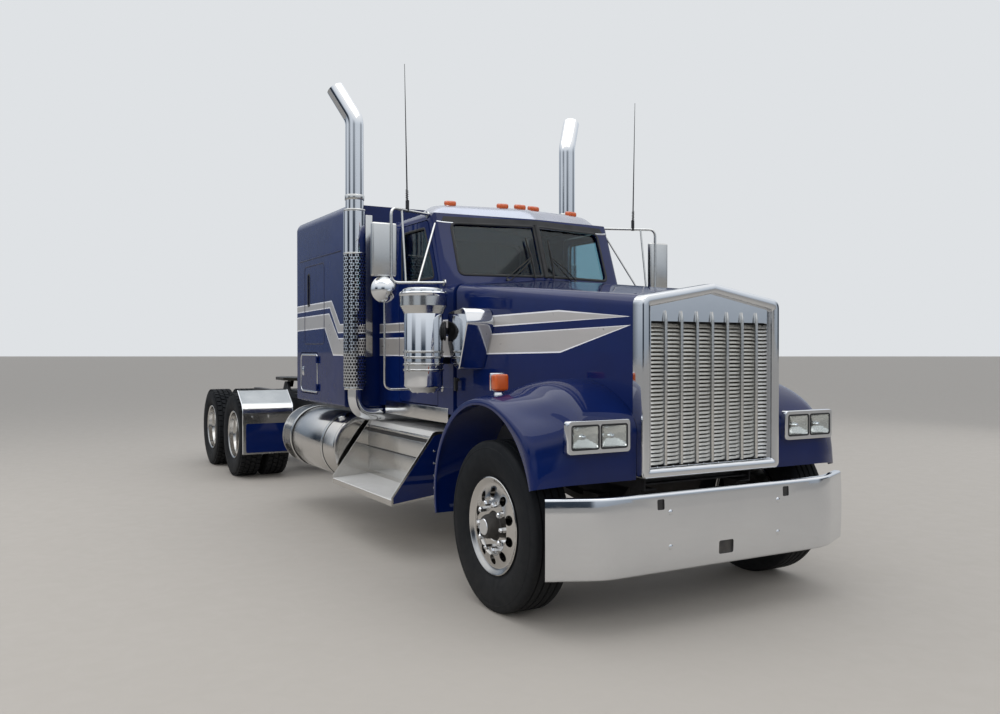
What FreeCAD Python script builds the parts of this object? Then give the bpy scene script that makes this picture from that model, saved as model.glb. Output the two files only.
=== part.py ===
"""Conventional long-nose tractor unit with a sleeper, as a parametric assembly.

Frame: +X forward, +Y to the vehicle's left, +Z up, millimetres.
The origin is on the ground under the middle of the vehicle's length.
Pieces are built on the vehicle's right side (negative Y) and mirrored where there is a pair.
"""

import FreeCAD, Part
import math
import os
import re

import Sketcher
from FreeCAD import Placement, Rotation, Vector

DOC = FreeCAD.newDocument("tractor_unit")
PIECES = {}
CLEARANCE = {}
DOOR_HINGES = ("door_low + 150", "window_low - 160")
LID_HINGES = ("locker_low + 60", "locker_top - 60")

# Driving dimensions in millimetres: name, value, what it sets
SIZES = [
    ("axle_x", 4050, "front axle ahead of the origin"),
    ("wheelbase", 7400, "front axle to the middle of the tandem"),
    ("tandem", 1320, "spacing of the two drive axles"),
    ("pin_gap", 0.2, "radial clearance of pins and spindles"),
    ("seat_gap", 0.3, "gap between pieces that seat on each other"),
    ("shut_gap", 8, "gap around doors, lids and the hood"),
    ("tyre_r", 525, "tyre radius, and so the axle height"),
    ("tyre_w", 280, "tyre section width"),
    ("bead_r", 286, "rim bead seat radius"),
    ("rim_w", 212, "rim width between its flanges"),
    ("flange_r", 301, "rim flange radius"),
    ("disc_t", 22, "wheel disc thickness"),
    ("stud_circle_r", 143, "radius of the ten wheel nuts' circle"),
    ("nut_r", 19, "wheel nut radius"),
    ("nut_l", 36, "wheel nut height"),
    ("hand_circle_r", 206, "radius of the ten hand holes' circle"),
    ("hand_r", 31, "hand hole radius"),
    ("front_track", 2100, "between the middles of the front tyres"),
    ("dual_y", 923.5, "middle of each pair of twin wheels from the centreline"),
    ("dual_gap", 343, "between the middles of twin tyres"),
    ("drum_r", 208, "brake drum radius"),
    ("hub_r", 90, "hub barrel radius"),
    ("bore_r", 41, "hub bore radius"),
    ("kingpin_y", 872, "kingpin from the centreline"),
    ("kingpin_r", 23, "kingpin radius"),
    ("rail_y", 430, "outer face of each frame rail from the centreline"),
    ("rail_w", 90, "frame rail flange width"),
    ("rail_t", 9, "frame rail thickness"),
    ("rail_bottom", 760, "underside of the frame rails"),
    ("rail_top", 1030, "top of the frame rails"),
    ("rail_nose", 560, "front end of the rails ahead of the front axle"),
    ("rail_tail", 8840, "rear end of the rails behind the front axle"),
    ("bumper_x", 800, "bumper face ahead of the front axle"),
    ("bumper_half", 1190, "half width of the bumper"),
    ("bumper_flat", 880, "half width of the bumper's flat face"),
    ("bumper_sweep", 150, "sweep of the bumper's ends"),
    ("bumper_bottom", 325, "lower edge of the bumper"),
    ("bumper_top", 785, "upper edge of the bumper"),
    ("bumper_t", 8, "bumper sheet thickness"),
    ("bumper_lip", 42, "depth of the bumper's folded lips"),
    ("hood_back", 1152, "rear edge of the hood behind the front axle"),
    ("hood_nose", 600, "front edge of the hood ahead of the front axle"),
    ("hood_back_half", 830, "half width of the hood at the cowl"),
    ("hood_nose_half", 540, "half width of the hood at the grille"),
    ("hood_back_top", 2095, "shoulder height of the hood at the cowl"),
    ("hood_nose_top", 1925, "shoulder height of the hood at the grille"),
    ("hood_crown", 70, "rise of the hood's middle over its shoulders"),
    ("hood_shoulder_r", 75, "radius of the hood's shoulders"),
    ("hood_back_low", 1180, "lower edge of the hood's side at the cowl"),
    ("hood_nose_low", 1000, "lower edge of the hood's side at the grille"),
    ("hood_t", 8, "hood panel thickness"),
    ("hinge_x", 620, "hood hinge ahead of the front axle"),
    ("hinge_z", 805, "hood hinge height"),
    ("arch_x", 80, "middle of the wheel arch behind the front axle"),
    ("arch_z", 640, "height of the wheel arch's middle"),
    ("arch_r", 625, "wheel arch inner radius"),
    ("fender_out", 1215, "outer face of the fenders from the centreline"),
    ("fender_top", 690, "fender's crest above the wheel arch's middle"),
    ("fender_t", 10, "fender thickness"),
    ("pod_low", 845, "lower edge of the fender's front apron"),
    ("pod_nose", 640, "front of the lamp pod ahead of the front axle"),
    ("grille_face", 700, "front of the grille shell ahead of the front axle"),
    ("grille_low", 850, "lower edge of the grille shell"),
    ("grille_shoulder", 1920, "shoulder height of the grille shell"),
    ("grille_peak", 2010, "peak of the grille shell"),
    ("grille_half", 552, "half width of the grille shell"),
    ("grille_rim", 62, "width of the grille shell's rim"),
    ("mesh_low", 915, "lower edge of the louvred part of the grille"),
    ("mesh_top", 1775, "upper edge of the louvred part of the grille"),
    ("fin_pitch", 122, "spacing of the grille's upright fins"),
    ("fin_w", 17, "width of an upright fin"),
    ("slat_pitch", 24, "spacing of the grille's slats"),
    ("lamp_low", 1020, "lower edge of the headlamp housing"),
    ("lamp_high", 1210, "upper edge of the headlamp housing"),
    ("lamp_in", 625, "inner side of the headlamp housing from the centreline"),
    ("lamp_out", 1060, "outer side of the headlamp housing from the centreline"),
    ("lamp_face", 680, "front of the headlamp housing ahead of the front axle"),
    ("cab_front", 1170, "front of the cowl behind the front axle"),
    ("cab_back", 2640, "back of the cab behind the front axle"),
    ("cab_half", 850, "half width of the cab"),
    ("cab_low", 1120, "underside of the cab"),
    ("cowl_z", 2165, "foot of the windscreen"),
    ("screen_x", 1215, "middle of the windscreen's foot behind the front axle"),
    ("screen_sweep", 170, "how far the windscreen's ends sit behind its middle"),
    ("screen_rake", 185, "how far the windscreen leans back"),
    ("screen_half", 700, "half width of the windscreen's opening"),
    ("screen_post", 44, "width of the post between the windscreen's panes"),
    ("brow_z", 2665, "front edge of the cab roof"),
    ("roof_z", 2800, "cab roof at its back"),
    ("wall", 40, "thickness of cab and sleeper walls"),
    ("door_front", 1440, "front edge of the door behind the front axle"),
    ("door_back", 2190, "rear edge of the door behind the front axle"),
    ("door_low", 1175, "lower edge of the door"),
    ("door_top", 2625, "upper edge of the door"),
    ("window_low", 2165, "lower edge of the door window"),
    ("window_edge", 55, "door frame around its window"),
    ("door_lean", 185, "how far the door's front edge leans back above its belt"),
    ("glass_t", 6, "glass thickness"),
    ("visor_half", 812, "half width of the sun visor"),
    ("visor_t", 8, "thickness of the sun visor"),
    ("seat_x", 2495, "rear of the seats behind the front axle"),
    ("sleeper_front", 2690, "front of the sleeper behind the front axle"),
    ("sleeper_back", 4110, "back of the sleeper behind the front axle"),
    ("sleeper_half", 1160, "half width of the sleeper"),
    ("sleeper_low", 1100, "underside of the sleeper"),
    ("sleeper_top", 2885, "roof of the sleeper"),
    ("sleeper_edge_r", 90, "rounding of the sleeper's long edges"),
    ("locker_front", 3440, "front edge of the luggage lid behind the front axle"),
    ("locker_back", 3990, "rear edge of the luggage lid behind the front axle"),
    ("locker_low", 1185, "lower edge of the luggage lid"),
    ("locker_top", 1570, "upper edge of the luggage lid"),
    ("slot_x", 3720, "middle of the sleeper's slot window behind the front axle"),
    ("slot_w", 62, "width of the sleeper's slot window"),
    ("slot_low", 2030, "lower edge of the slot window"),
    ("slot_top", 2340, "upper edge of the slot window"),
    ("stack_x", 2582, "exhaust stacks behind the front axle"),
    ("stack_y", 1105, "exhaust stacks from the centreline"),
    ("stack_r", 78, "radius of a stack"),
    ("stack_wall", 3, "wall of a stack"),
    ("shield_r", 96, "radius of the perforated heat shield"),
    ("elbow_r", 60, "radius of the lower exhaust pipe"),
    ("stack_top", 3600, "where the stack's tip turns out"),
    ("elbow_z", 1045, "height of the lower exhaust pipe"),
    ("tank_r", 312, "fuel tank radius"),
    ("tank_y", 868, "fuel tank's axis from the centreline"),
    ("tank_z", 700, "fuel tank's axis height"),
    ("tank_front", 2940, "front of the fuel tank behind the front axle"),
    ("tank_back", 4600, "rear of the fuel tank behind the front axle"),
    ("step_front", 1520, "front of the steps behind the front axle"),
    ("step_back", 2890, "rear of the steps behind the front axle"),
    ("step_out", 1200, "outer edge of the lower step from the centreline"),
    ("step_low", 410, "underside of the steps"),
    ("step_top", 965, "top of the upper step"),
    ("cleaner_x", 1085, "air cleaner behind the front axle"),
    ("cleaner_y", 1130, "air cleaner from the centreline"),
    ("cleaner_r", 140, "air cleaner radius"),
    ("cleaner_low", 1300, "foot of the air cleaner"),
    ("cleaner_top", 2050, "top of the air cleaner"),
    ("duct_back", 1010, "rear of the air duct's cover behind the front axle"),
    ("duct_front", 700, "front of the air duct's cover behind the front axle"),
    ("duct_out", 975, "outer face of the air duct's cover from the centreline"),
    ("duct_low", 1455, "lower edge of the air duct's cover"),
    ("duct_top", 1905, "top of the air duct's cover"),
    ("mirror_y", 1250, "mirror from the centreline"),
    ("mirror_x", 1400, "mirror behind the front axle"),
    ("mirror_low", 2150, "lower edge of the mirror"),
    ("mirror_h", 400, "mirror height"),
    ("mirror_w", 195, "mirror width"),
    ("grab_low", 1310, "lower end of the grab rod under the mirror"),
    ("arm_r", 11, "radius of the mirror's tubes"),
    ("aerial_top", 3780, "tip of the aerials"),
    ("fifth_x", 7200, "fifth wheel pivot behind the front axle"),
    ("fifth_top", 1225, "top of the fifth wheel plate"),
    ("fifth_pivot_z", 1130, "fifth wheel pivot height"),
    ("fifth_half", 455, "half width of the fifth wheel plate"),
    ("lock_r", 26, "radius of the kingpin lock"),
    ("deck_t", 6, "thickness of plate work"),
    ("bar_z", 905, "middle of the rear lamp bar"),
    ("bar_h", 130, "height of the rear lamp bar"),
    ("bar_half", 560, "half width of the rear lamp bar"),
    ("flap_in", 630, "inner edge of the mud flaps from the centreline"),
    ("flap_out", 1030, "outer edge of the mud flaps from the centreline"),
    ("flap_low", 240, "lower edge of the mud flaps"),
    ("flap_rod_r", 14, "radius of the rods that carry the mud flaps"),
]

SHEET = DOC.addObject("Spreadsheet::Sheet", "sizes")
for row, (alias, value, meaning) in enumerate(SIZES, 1):
    SHEET.set(f"A{row}", meaning)
    SHEET.set(f"B{row}", str(value))
    SHEET.setAlias(f"B{row}", alias)
DOC.recompute()
WORD = re.compile(r"\b(" + "|".join(alias for alias, _, _ in SIZES) + r")\b")

AXLE_1 = "(axle_x - wheelbase + tandem / 2)"
AXLE_2 = "(axle_x - wheelbase - tandem / 2)"


def num(text):
    """The value in millimetres of an expression over the sheet's names."""
    return float(SHEET.evalExpression(str(text)))


def bind(obj, prop, text):
    """Ties a property or a sketch constraint to an expression over the sheet's names."""
    obj.setExpression(prop, WORD.sub(r"sizes.\1", str(text)))


def keep(label, obj):
    """Names an object as a piece of the assembly."""
    obj.Label = label
    PIECES[label] = obj
    return obj


# Helpers for bodies, sketches and features


def body(name):
    """A PartDesign body whose features may stay apart until later ones join them."""
    made = DOC.addObject("PartDesign::Body", name)
    made.AllowCompound = True
    return made


def sketch(owner, plane, at=("0", "0", "0")):
    """A sketch on one of the body's origin planes, moved by at in the plane's own axes."""
    made = owner.newObject("Sketcher::SketchObject", owner.Name + "_sketch")
    support = [f for f in owner.Origin.OriginFeatures if f.Role == plane][0]
    made.AttachmentSupport = [(support, "")]
    made.MapMode = "FlatFace"
    for axis, text in zip("xyz", at):
        bind(made, f"AttachmentOffset.Base.{axis}", text)
    return made


def pin_down(made, element, point, x, y):
    """Fixes a sketch point at an expression's place."""
    for kind, text in (("DistanceX", x), ("DistanceY", y)):
        row = made.addConstraint(Sketcher.Constraint(kind, -1, 1, element, point, num(text)))
        bind(made, f"Constraints[{row}]", text)


def rounded_corner(before, here, after, radius):
    """The arc that rounds a corner, and whether it runs against the outline."""
    back, ahead = (before - here).normalize(), (after - here).normalize()
    half = back.getAngle(ahead) / 2
    reach = radius / math.tan(half)
    centre = here + (back + ahead).normalize() * (radius / math.sin(half))
    ends = [here + back * reach, here + ahead * reach]
    against = back.cross(ahead).z > 0
    angles = [math.atan2((end - centre).y, (end - centre).x) for end in ends]
    if against:
        angles.reverse()
    if angles[1] < angles[0]:
        angles[1] += 2 * math.pi
    arc = Part.ArcOfCircle(Part.Circle(centre, Vector(0, 0, 1), radius), *angles)
    return ends, arc, against


def outline(made, corners):
    """Adds a closed outline. A corner is (x, y) or (x, y, radius), each an expression."""
    corners = [(*c, "")[:3] for c in corners]
    spots = [Vector(num(x), num(y), 0) for x, y, _ in corners]
    turns = []
    for i, (x, y, r) in enumerate(corners):
        here, before, after = spots[i], spots[i - 1], spots[(i + 1) % len(spots)]
        turns.append(rounded_corner(before, here, after, num(r)) if r else ((here, here), None, False))
    lines = []
    for i, (ends, _, _) in enumerate(turns):
        line = Part.LineSegment(ends[1], turns[(i + 1) % len(turns)][0][0])
        lines.append(made.addGeometry(line))
    for i, (x, y, r) in enumerate(corners):
        before, after = lines[i - 1], lines[i]
        _, arc, against = turns[i]
        if not r:
            made.addConstraint(Sketcher.Constraint("Coincident", before, 2, after, 1))
            pin_down(made, after, 1, x, y)
            continue
        arc = made.addGeometry(arc)
        corner = made.addGeometry(Part.Point(spots[i]), True)
        start = 2 if against else 1
        made.addConstraint(Sketcher.Constraint("Tangent", before, 2, arc, start))
        made.addConstraint(Sketcher.Constraint("Tangent", after, 1, arc, 3 - start))
        made.addConstraint(Sketcher.Constraint("PointOnObject", corner, 1, before))
        made.addConstraint(Sketcher.Constraint("PointOnObject", corner, 1, after))
        row = made.addConstraint(Sketcher.Constraint("Radius", arc, num(r)))
        bind(made, f"Constraints[{row}]", r)
        pin_down(made, corner, 1, x, y)
    return made


def ring(made, x, y, r):
    """Adds a circle to a sketch."""
    circle = made.addGeometry(Part.Circle(Vector(num(x), num(y), 0), Vector(0, 0, 1), num(r)))
    row = made.addConstraint(Sketcher.Constraint("Radius", circle, num(r)))
    bind(made, f"Constraints[{row}]", r)
    pin_down(made, circle, 3, x, y)
    return made


def pad(owner, made, length, midplane=False, back=False):
    """Pads a sketch along its plane's normal, or both ways, or back."""
    feature = owner.newObject("PartDesign::Pad", owner.Name + "_pad")
    feature.Profile = made
    bind(feature, "Length", length)
    feature.Midplane = midplane
    feature.Reversed = back
    owner.Tip = feature
    return feature


def pocket(owner, made, length, midplane=False, back=False):
    """Cuts a sketch against its plane's normal, or both ways, or along it when back."""
    feature = owner.newObject("PartDesign::Pocket", owner.Name + "_pocket")
    feature.Profile = made
    bind(feature, "Length", length)
    feature.Midplane = midplane
    feature.Reversed = back
    owner.Tip = feature
    return feature


def revolve(owner, made, axis="H_Axis"):
    """Turns a sketch all the way round one of its own axes."""
    feature = owner.newObject("PartDesign::Revolution", owner.Name + "_turn")
    feature.Profile = made
    feature.ReferenceAxis = (made, [axis])
    feature.Angle = 360
    owner.Tip = feature
    return feature


def polar(owner, features, role, count):
    """Repeats features round one of the body's origin axes."""
    DOC.recompute()
    made = owner.newObject("PartDesign::PolarPattern", owner.Name + "_circle")
    made.Originals = features
    made.Axis = ([f for f in owner.Origin.OriginFeatures if f.Role == role][0], [""])
    made.Angle = 360
    made.Occurrences = count
    owner.Tip = made
    return made


def mirrored_feature(owner, features, role="XZ_Plane"):
    """Repeats features on the other side of one of the body's origin planes."""
    DOC.recompute()
    made = owner.newObject("PartDesign::Mirrored", owner.Name + "_mirror")
    made.Originals = features
    made.MirrorPlane = ([f for f in owner.Origin.OriginFeatures if f.Role == role][0], [""])
    owner.Tip = made
    return made


def row_of(owner, features, role, length, count):
    """Repeats features in a line along one of the body's origin axes."""
    DOC.recompute()
    made = owner.newObject("PartDesign::LinearPattern", owner.Name + "_row")
    made.Originals = features
    made.Direction = ([f for f in owner.Origin.OriginFeatures if f.Role == role][0], [""])
    bind(made, "Length", length)
    made.Occurrences = count
    owner.Tip = made
    return made


# Helpers for Part objects


def prism(name, plane, corners, start, length):
    """One outline on an origin plane, padded from a place along the plane's normal."""
    made = body(name)
    flip = "-" if plane == "XZ_Plane" else ""
    shape = outline(sketch(made, plane, ("0", "0", f"{flip}({start})")), corners)
    pad(made, shape, length, back=bool(flip))
    return made


def block(name, low, high):
    """A box between two corners, each three expressions."""
    made = DOC.addObject("Part::Box", name)
    for prop, a, b in zip(("Length", "Width", "Height"), low, high):
        bind(made, prop, f"({b}) - ({a})")
    for axis, a in zip("xyz", low):
        bind(made, f"Placement.Base.{axis}", a)
    return made


def rod(name, start, length, radius, along="z"):
    """A cylinder from a point along an axis."""
    made = DOC.addObject("Part::Cylinder", name)
    bind(made, "Radius", radius)
    bind(made, "Height", length)
    turn = {"x": Rotation(Vector(0, 1, 0), 90), "y": Rotation(Vector(1, 0, 0), -90)}
    made.Placement = Placement(Vector(), turn.get(along, Rotation()))
    for axis, a in zip("xyz", start):
        bind(made, f"Placement.Base.{axis}", a)
    return made


def fuse(name, parts):
    """Joins parts into one solid where they touch."""
    made = DOC.addObject("Part::MultiFuse", name)
    made.Shapes = parts
    made.Refine = True
    return made


def cut(name, base, tool):
    """Takes tool away from base."""
    made = DOC.addObject("Part::Cut", name)
    made.Base = base
    made.Tool = tool
    return made


def common(name, parts):
    """The space that all the parts share."""
    made = DOC.addObject("Part::MultiCommon", name)
    made.Shapes = parts
    return made


def mirror(name, source):
    """The left-hand twin of a right-hand piece."""
    made = DOC.addObject("Part::Mirroring", name)
    made.Source = source
    made.Base = Vector(0, 0, 0)
    made.Normal = Vector(0, 1, 0)
    return made


def group(name, parts):
    """Several solids that share a node without touching."""
    made = DOC.addObject("Part::Compound", name)
    made.Links = parts
    return made


def placed(name, source, x, y, z):
    """A copy of a piece that was built about its own centre."""
    made = group(name, [source])
    for axis, text in zip("xyz", (x, y, z)):
        bind(made, f"Placement.Base.{axis}", text)
    return made


def pair(label, source):
    """Keeps a right-hand piece and its mirror image as one node."""
    return keep(label, group(label, [source, mirror(label + "_left_side", source)]))


def solid_feature(name, shape):
    """An object whose shape was made by this script from the sheet's values."""
    made = DOC.addObject("Part::Feature", name)
    made.Shape = shape
    return made


def tube(name, points, bends, radius, bore=None):
    """A pipe along straight runs joined by tangent arcs. Points are in millimetres."""
    edges, start = [], points[0]
    for before, here, after, bend in zip(points, points[1:], points[2:], bends):
        back, ahead = (before - here).normalize(), (after - here).normalize()
        half = back.getAngle(ahead) / 2
        reach = bend / math.tan(half)
        centre = here + (back + ahead).normalize() * (bend / math.sin(half))
        middle = centre + (here - centre).normalize() * bend
        edges.append(Part.LineSegment(start, here + back * reach).toShape())
        edges.append(Part.Arc(here + back * reach, middle, here + ahead * reach).toShape())
        start = here + ahead * reach
    edges.append(Part.LineSegment(start, points[-1]).toShape())
    path = Part.Wire(edges)
    along = points[1] - points[0]
    shapes = []
    for r in (radius, bore):
        if r:
            section = Part.Wire(Part.makeCircle(r, points[0], along))
            shapes.append(path.makePipeShell([section], True, False))
    shape = shapes[0].cut(shapes[1]) if bore else shapes[0]
    return solid_feature(name, shape)


# Wheels


def rim_profile(side, disc_at):
    """One rim with its disc. side is 1 when the disc lies towards positive Y of the rim."""
    half = "rim_w / 2"
    def spot(y, r):
        return (f"{disc_at} + {side} * ({y})", r)
    return [
        spot(f"-{half} - 12", "flange_r"),
        spot(f"-{half} - 2", "flange_r"),
        spot(f"-{half}", "bead_r"),
        spot("-52", "bead_r"),
        spot("-38", "bead_r - 24"),
        spot("34", "bead_r - 24"),
        spot("48", "bead_r"),
        spot(f"{half}", "bead_r"),
        spot(f"{half} + 2", "flange_r"),
        spot(f"{half} + 12", "flange_r"),
    ]


def front_wheel():
    """The steered wheel: rim, outward disc, hub, brake drum and ten nuts as one piece."""
    made = body("front_wheel")
    turned = sketch(made, "YZ_Plane")
    outline(turned, rim_profile(1, "0") + [
        ("rim_w / 2 + 12", "flange_r - 12"),
        ("rim_w / 2 - 2", "bead_r - 10"),
        ("54", "bead_r - 10"),
        ("40", "bead_r - 34"),
        ("-44 + disc_t", "bead_r - 34"),
        ("-84 + disc_t", "160"),
        ("-84 + disc_t", "hub_r - 2"),
        ("-84", "hub_r - 2"),
        ("-84", "160"),
        ("-52", "bead_r - 34"),
        ("-62", "bead_r - 12"),
        ("-rim_w / 2", "bead_r - 10"),
        ("-rim_w / 2 - 12", "flange_r - 12"),
    ])
    revolve(made, turned)
    holes = ring(sketch(made, "XZ_Plane"), "0", "hand_circle_r", "hand_r")
    polar(made, [pocket(made, holes, "tyre_w", midplane=True)], "Y_Axis", 10)
    hub = sketch(made, "YZ_Plane")
    outline(hub, [
        ("-178", "0"), ("-178", "60"), ("-168", "70"), ("-110", "74"), ("-96", "hub_r"),
        ("-84 + disc_t", "hub_r"), ("-84 + disc_t", "drum_r"), ("90", "drum_r"),
        ("90", "drum_r - 14"), ("-46 + 8", "drum_r - 14"), ("-46 + 8", "hub_r"),
        ("60", "hub_r"), ("60", "bore_r"), ("-104", "bore_r"), ("-104", "0"),
    ])
    revolve(made, hub)
    nut = ring(sketch(made, "XZ_Plane", ("0", "0", "84 - 1")), "0", "stud_circle_r", "nut_r")
    polar(made, [pad(made, nut, "nut_l + 1")], "Y_Axis", 10)
    return made


def twin_wheels():
    """A pair of drive wheels on their hub, built about the plane where the discs meet."""
    made = body("twin_wheels")
    for side, place in ((1, "-dual_gap / 2"), (-1, "dual_gap / 2")):
        turned = sketch(made, "YZ_Plane")
        face = "dual_gap / 2"

        def spot(y, r, side=side, place=place):
            return (f"{place} + {side} * ({y})", r)

        outline(turned, rim_profile(side, place) + [
            spot("rim_w / 2 + 12", "flange_r - 12"),
            spot("rim_w / 2", "bead_r - 12"),
            spot("70", "bead_r - 12"),
            spot(face, "165"),
            spot(face, "hub_r - 2"),
            spot(f"{face} - disc_t", "hub_r - 2"),
            spot(f"{face} - disc_t", "160"),
            spot("44", "bead_r - 36"),
            spot("-40", "bead_r - 36"),
            spot("-56", "bead_r - 10"),
            spot("-rim_w / 2 + 2", "bead_r - 10"),
            spot("-rim_w / 2 - 12", "flange_r - 12"),
        ])
        revolve(made, turned)
    holes = ring(sketch(made, "XZ_Plane"), "0", "hand_circle_r", "hand_r")
    polar(made, [pocket(made, holes, "dual_gap - rim_w", midplane=True)], "Y_Axis", 10)
    hub = sketch(made, "YZ_Plane")
    outline(hub, [
        ("-150", "0"), ("-150", "66"), ("-142", "74"), ("-70", "76"), ("-56", "hub_r"),
        ("disc_t", "hub_r"), ("disc_t", "drum_r"), ("190", "drum_r"),
        ("190", "drum_r - 14"), ("disc_t + 18", "drum_r - 14"), ("disc_t + 18", "hub_r"),
        ("150", "hub_r"), ("150", "bore_r"), ("-60", "bore_r"), ("-60", "0"),
    ])
    revolve(made, hub)
    nut = ring(sketch(made, "XZ_Plane", ("0", "0", "disc_t - 1")), "0", "stud_circle_r", "nut_r")
    polar(made, [pad(made, nut, "nut_l + 1")], "Y_Axis", 10)
    return made


def tyre():
    """One tyre about its own centre, hollow, with its beads inside the rim's flanges."""
    made = body("tyre")
    turned = sketch(made, "YZ_Plane")
    half, bead = "tyre_w / 2", "rim_w / 2 - seat_gap"
    right = [
        (f"-({bead})", "bead_r + seat_gap"),
        (f"-({bead})", "flange_r + 8"),
        (f"-({half})", "tyre_r - 105"),
        (f"-({half}) + 10", "tyre_r - 22"),
        (f"-({half}) + 34", "tyre_r"),
    ]
    left = [(y.replace("-(", "(", 1).replace("+", "-") if "+" in y else y[1:], r)
            for y, r in reversed(right)]
    inner = [
        (f"{bead} - 24", "bead_r + seat_gap"),
        (f"{half} - 22", "tyre_r - 110"),
        (f"{half} - 50", "tyre_r - 26"),
        (f"-({half}) + 50", "tyre_r - 26"),
        (f"-({half}) + 22", "tyre_r - 110"),
        (f"-({bead}) + 24", "bead_r + seat_gap"),
    ]
    outline(turned, right + left + inner)
    revolve(made, turned)
    return made


def wheels():
    """Places the front wheels and the four pairs of twins, with their tyres."""
    steered, twins, round_tyre = front_wheel(), twin_wheels(), tyre()
    keep("wheel_front_right", placed("wheel_front_right", steered, "axle_x", "-front_track / 2", "tyre_r"))
    keep("tyre_front_right", placed("tyre_front_right", round_tyre, "axle_x", "-front_track / 2", "tyre_r"))
    for number, x in ((1, AXLE_1), (2, AXLE_2)):
        label = f"wheels_drive_{number}_right"
        keep(label, placed(label, twins, x, "-dual_y", "tyre_r"))
        two = [placed(f"twin_tyre_{number}_{end}", round_tyre, x, f"-dual_y {end} dual_gap / 2", "tyre_r")
               for end in ("-", "+")]
        label = f"tyres_drive_{number}_right"
        keep(label, group(label, two))
    for label in [name for name in PIECES if name.endswith("_right")]:
        twin = label.replace("_right", "_left")
        keep(twin, mirror(twin, PIECES[label]))


# Front axle and steering


def front_axle():
    """Drop-centre beam with an I section, spring seats, kingpin bosses and kingpins."""
    made = body("front_axle_beam")
    face = sketch(made, "YZ_Plane", ("0", "0", "axle_x"))
    upper = [("-kingpin_y", "tyre_r + 45"), ("-kingpin_y + 230", "tyre_r - 30", "60"),
             ("kingpin_y - 230", "tyre_r - 30", "60"), ("kingpin_y", "tyre_r + 45")]
    lower = [("kingpin_y", "tyre_r - 45"), ("kingpin_y - 260", "tyre_r - 125", "60"),
             ("-kingpin_y + 260", "tyre_r - 125", "60"), ("-kingpin_y", "tyre_r - 45")]
    outline(face, upper + lower)
    pad(made, face, "96", midplane=True)
    web = sketch(made, "YZ_Plane", ("0", "0", "axle_x + 14"))
    outline(web, [
        ("-kingpin_y + 225", "tyre_r - 50"), ("kingpin_y - 225", "tyre_r - 50"),
        ("kingpin_y - 255", "tyre_r - 107"), ("-kingpin_y + 255", "tyre_r - 107"),
    ])
    pocket(made, web, "60", back=True)
    web = sketch(made, "YZ_Plane", ("0", "0", "axle_x - 14"))
    outline(web, [
        ("-kingpin_y + 225", "tyre_r - 50"), ("kingpin_y - 225", "tyre_r - 50"),
        ("kingpin_y - 255", "tyre_r - 107"), ("-kingpin_y + 255", "tyre_r - 107"),
    ])
    pocket(made, web, "60")
    seat = sketch(made, "XY_Plane", ("0", "0", "tyre_r - 40"))
    outline(seat, [
        ("axle_x - 90", "-rail_y"), ("axle_x + 90", "-rail_y"),
        ("axle_x + 90", "-rail_y + rail_w"), ("axle_x - 90", "-rail_y + rail_w"),
    ])
    seats = pad(made, seat, "90")
    mirrored_feature(made, [seats])
    boss = ring(sketch(made, "XY_Plane", ("0", "0", "tyre_r - 75")), "axle_x", "-kingpin_y", "50")
    bosses = pad(made, boss, "150")
    mirrored_feature(made, [bosses])
    pin = ring(sketch(made, "XY_Plane", ("0", "0", "tyre_r - 140")), "axle_x", "-kingpin_y", "kingpin_r")
    pins = pad(made, pin, "280")
    mirrored_feature(made, [pins])
    keep("front_axle", made)


def knuckles():
    """Steering knuckles: two ears on the kingpin, a spindle and a steering arm."""
    made = body("knuckle")
    side = sketch(made, "YZ_Plane", ("0", "0", "axle_x"))
    outline(side, [
        ("-kingpin_y + 45", "tyre_r + 82"), ("-kingpin_y + 45", "tyre_r + 128"),
        ("-kingpin_y - 88", "tyre_r + 128"), ("-kingpin_y - 88", "tyre_r - 128"),
        ("-kingpin_y + 45", "tyre_r - 128"), ("-kingpin_y + 45", "tyre_r - 82"),
        ("-kingpin_y - 60", "tyre_r - 82"), ("-kingpin_y - 60", "tyre_r + 82"),
    ])
    pad(made, side, "100", midplane=True)
    hole = ring(sketch(made, "XY_Plane"), "axle_x", "-kingpin_y", "kingpin_r + pin_gap")
    pocket(made, hole, "4 * tyre_r", midplane=True)
    spindle = sketch(made, "YZ_Plane", ("0", "tyre_r", "axle_x"))
    outline(spindle, [
        ("-kingpin_y - 80", "0"), ("-kingpin_y - 80", "62"),
        ("-front_track / 2 + 60 + 8", "62"),
        ("-front_track / 2 + 60 + 8", "bore_r - pin_gap"),
        ("-front_track / 2 - 96", "bore_r - pin_gap"), ("-front_track / 2 - 96", "0"),
    ])
    revolve(made, spindle)
    arm = sketch(made, "XY_Plane", ("0", "0", "tyre_r - 128"))
    outline(arm, [
        ("axle_x - 40", "-kingpin_y - 40"), ("axle_x + 40", "-kingpin_y - 40"),
        ("axle_x + 40", "-kingpin_y + 38"), ("axle_x - 190", "-kingpin_y + 95"),
        ("axle_x - 230", "-kingpin_y + 60"), ("axle_x - 200", "-kingpin_y + 20"),
    ])
    pad(made, arm, "26")
    hole = ring(sketch(made, "XY_Plane"), "axle_x", "-kingpin_y", "kingpin_r + pin_gap")
    pocket(made, hole, "4 * tyre_r", midplane=True)
    keep("knuckle_right", made)
    keep("knuckle_left", mirror("knuckle_left", made))


def tie_rod():
    """Track rod behind the axle, its ends just under the steering arms."""
    bar = rod("track_bar", ("axle_x - 200", "-kingpin_y + 60", "tyre_r - 128 - 32"),
              "2 * kingpin_y - 120", "17", "y")
    ends = []
    for name, y in (("right", "-kingpin_y + 60"), ("left", "kingpin_y - 60")):
        ends.append(rod(f"track_eye_{name}", ("axle_x - 200", y, "tyre_r - 128 - 54"), "54 - seat_gap", "28"))
    keep("tie_rod", fuse("tie_rod", [bar, *ends]))


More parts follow.
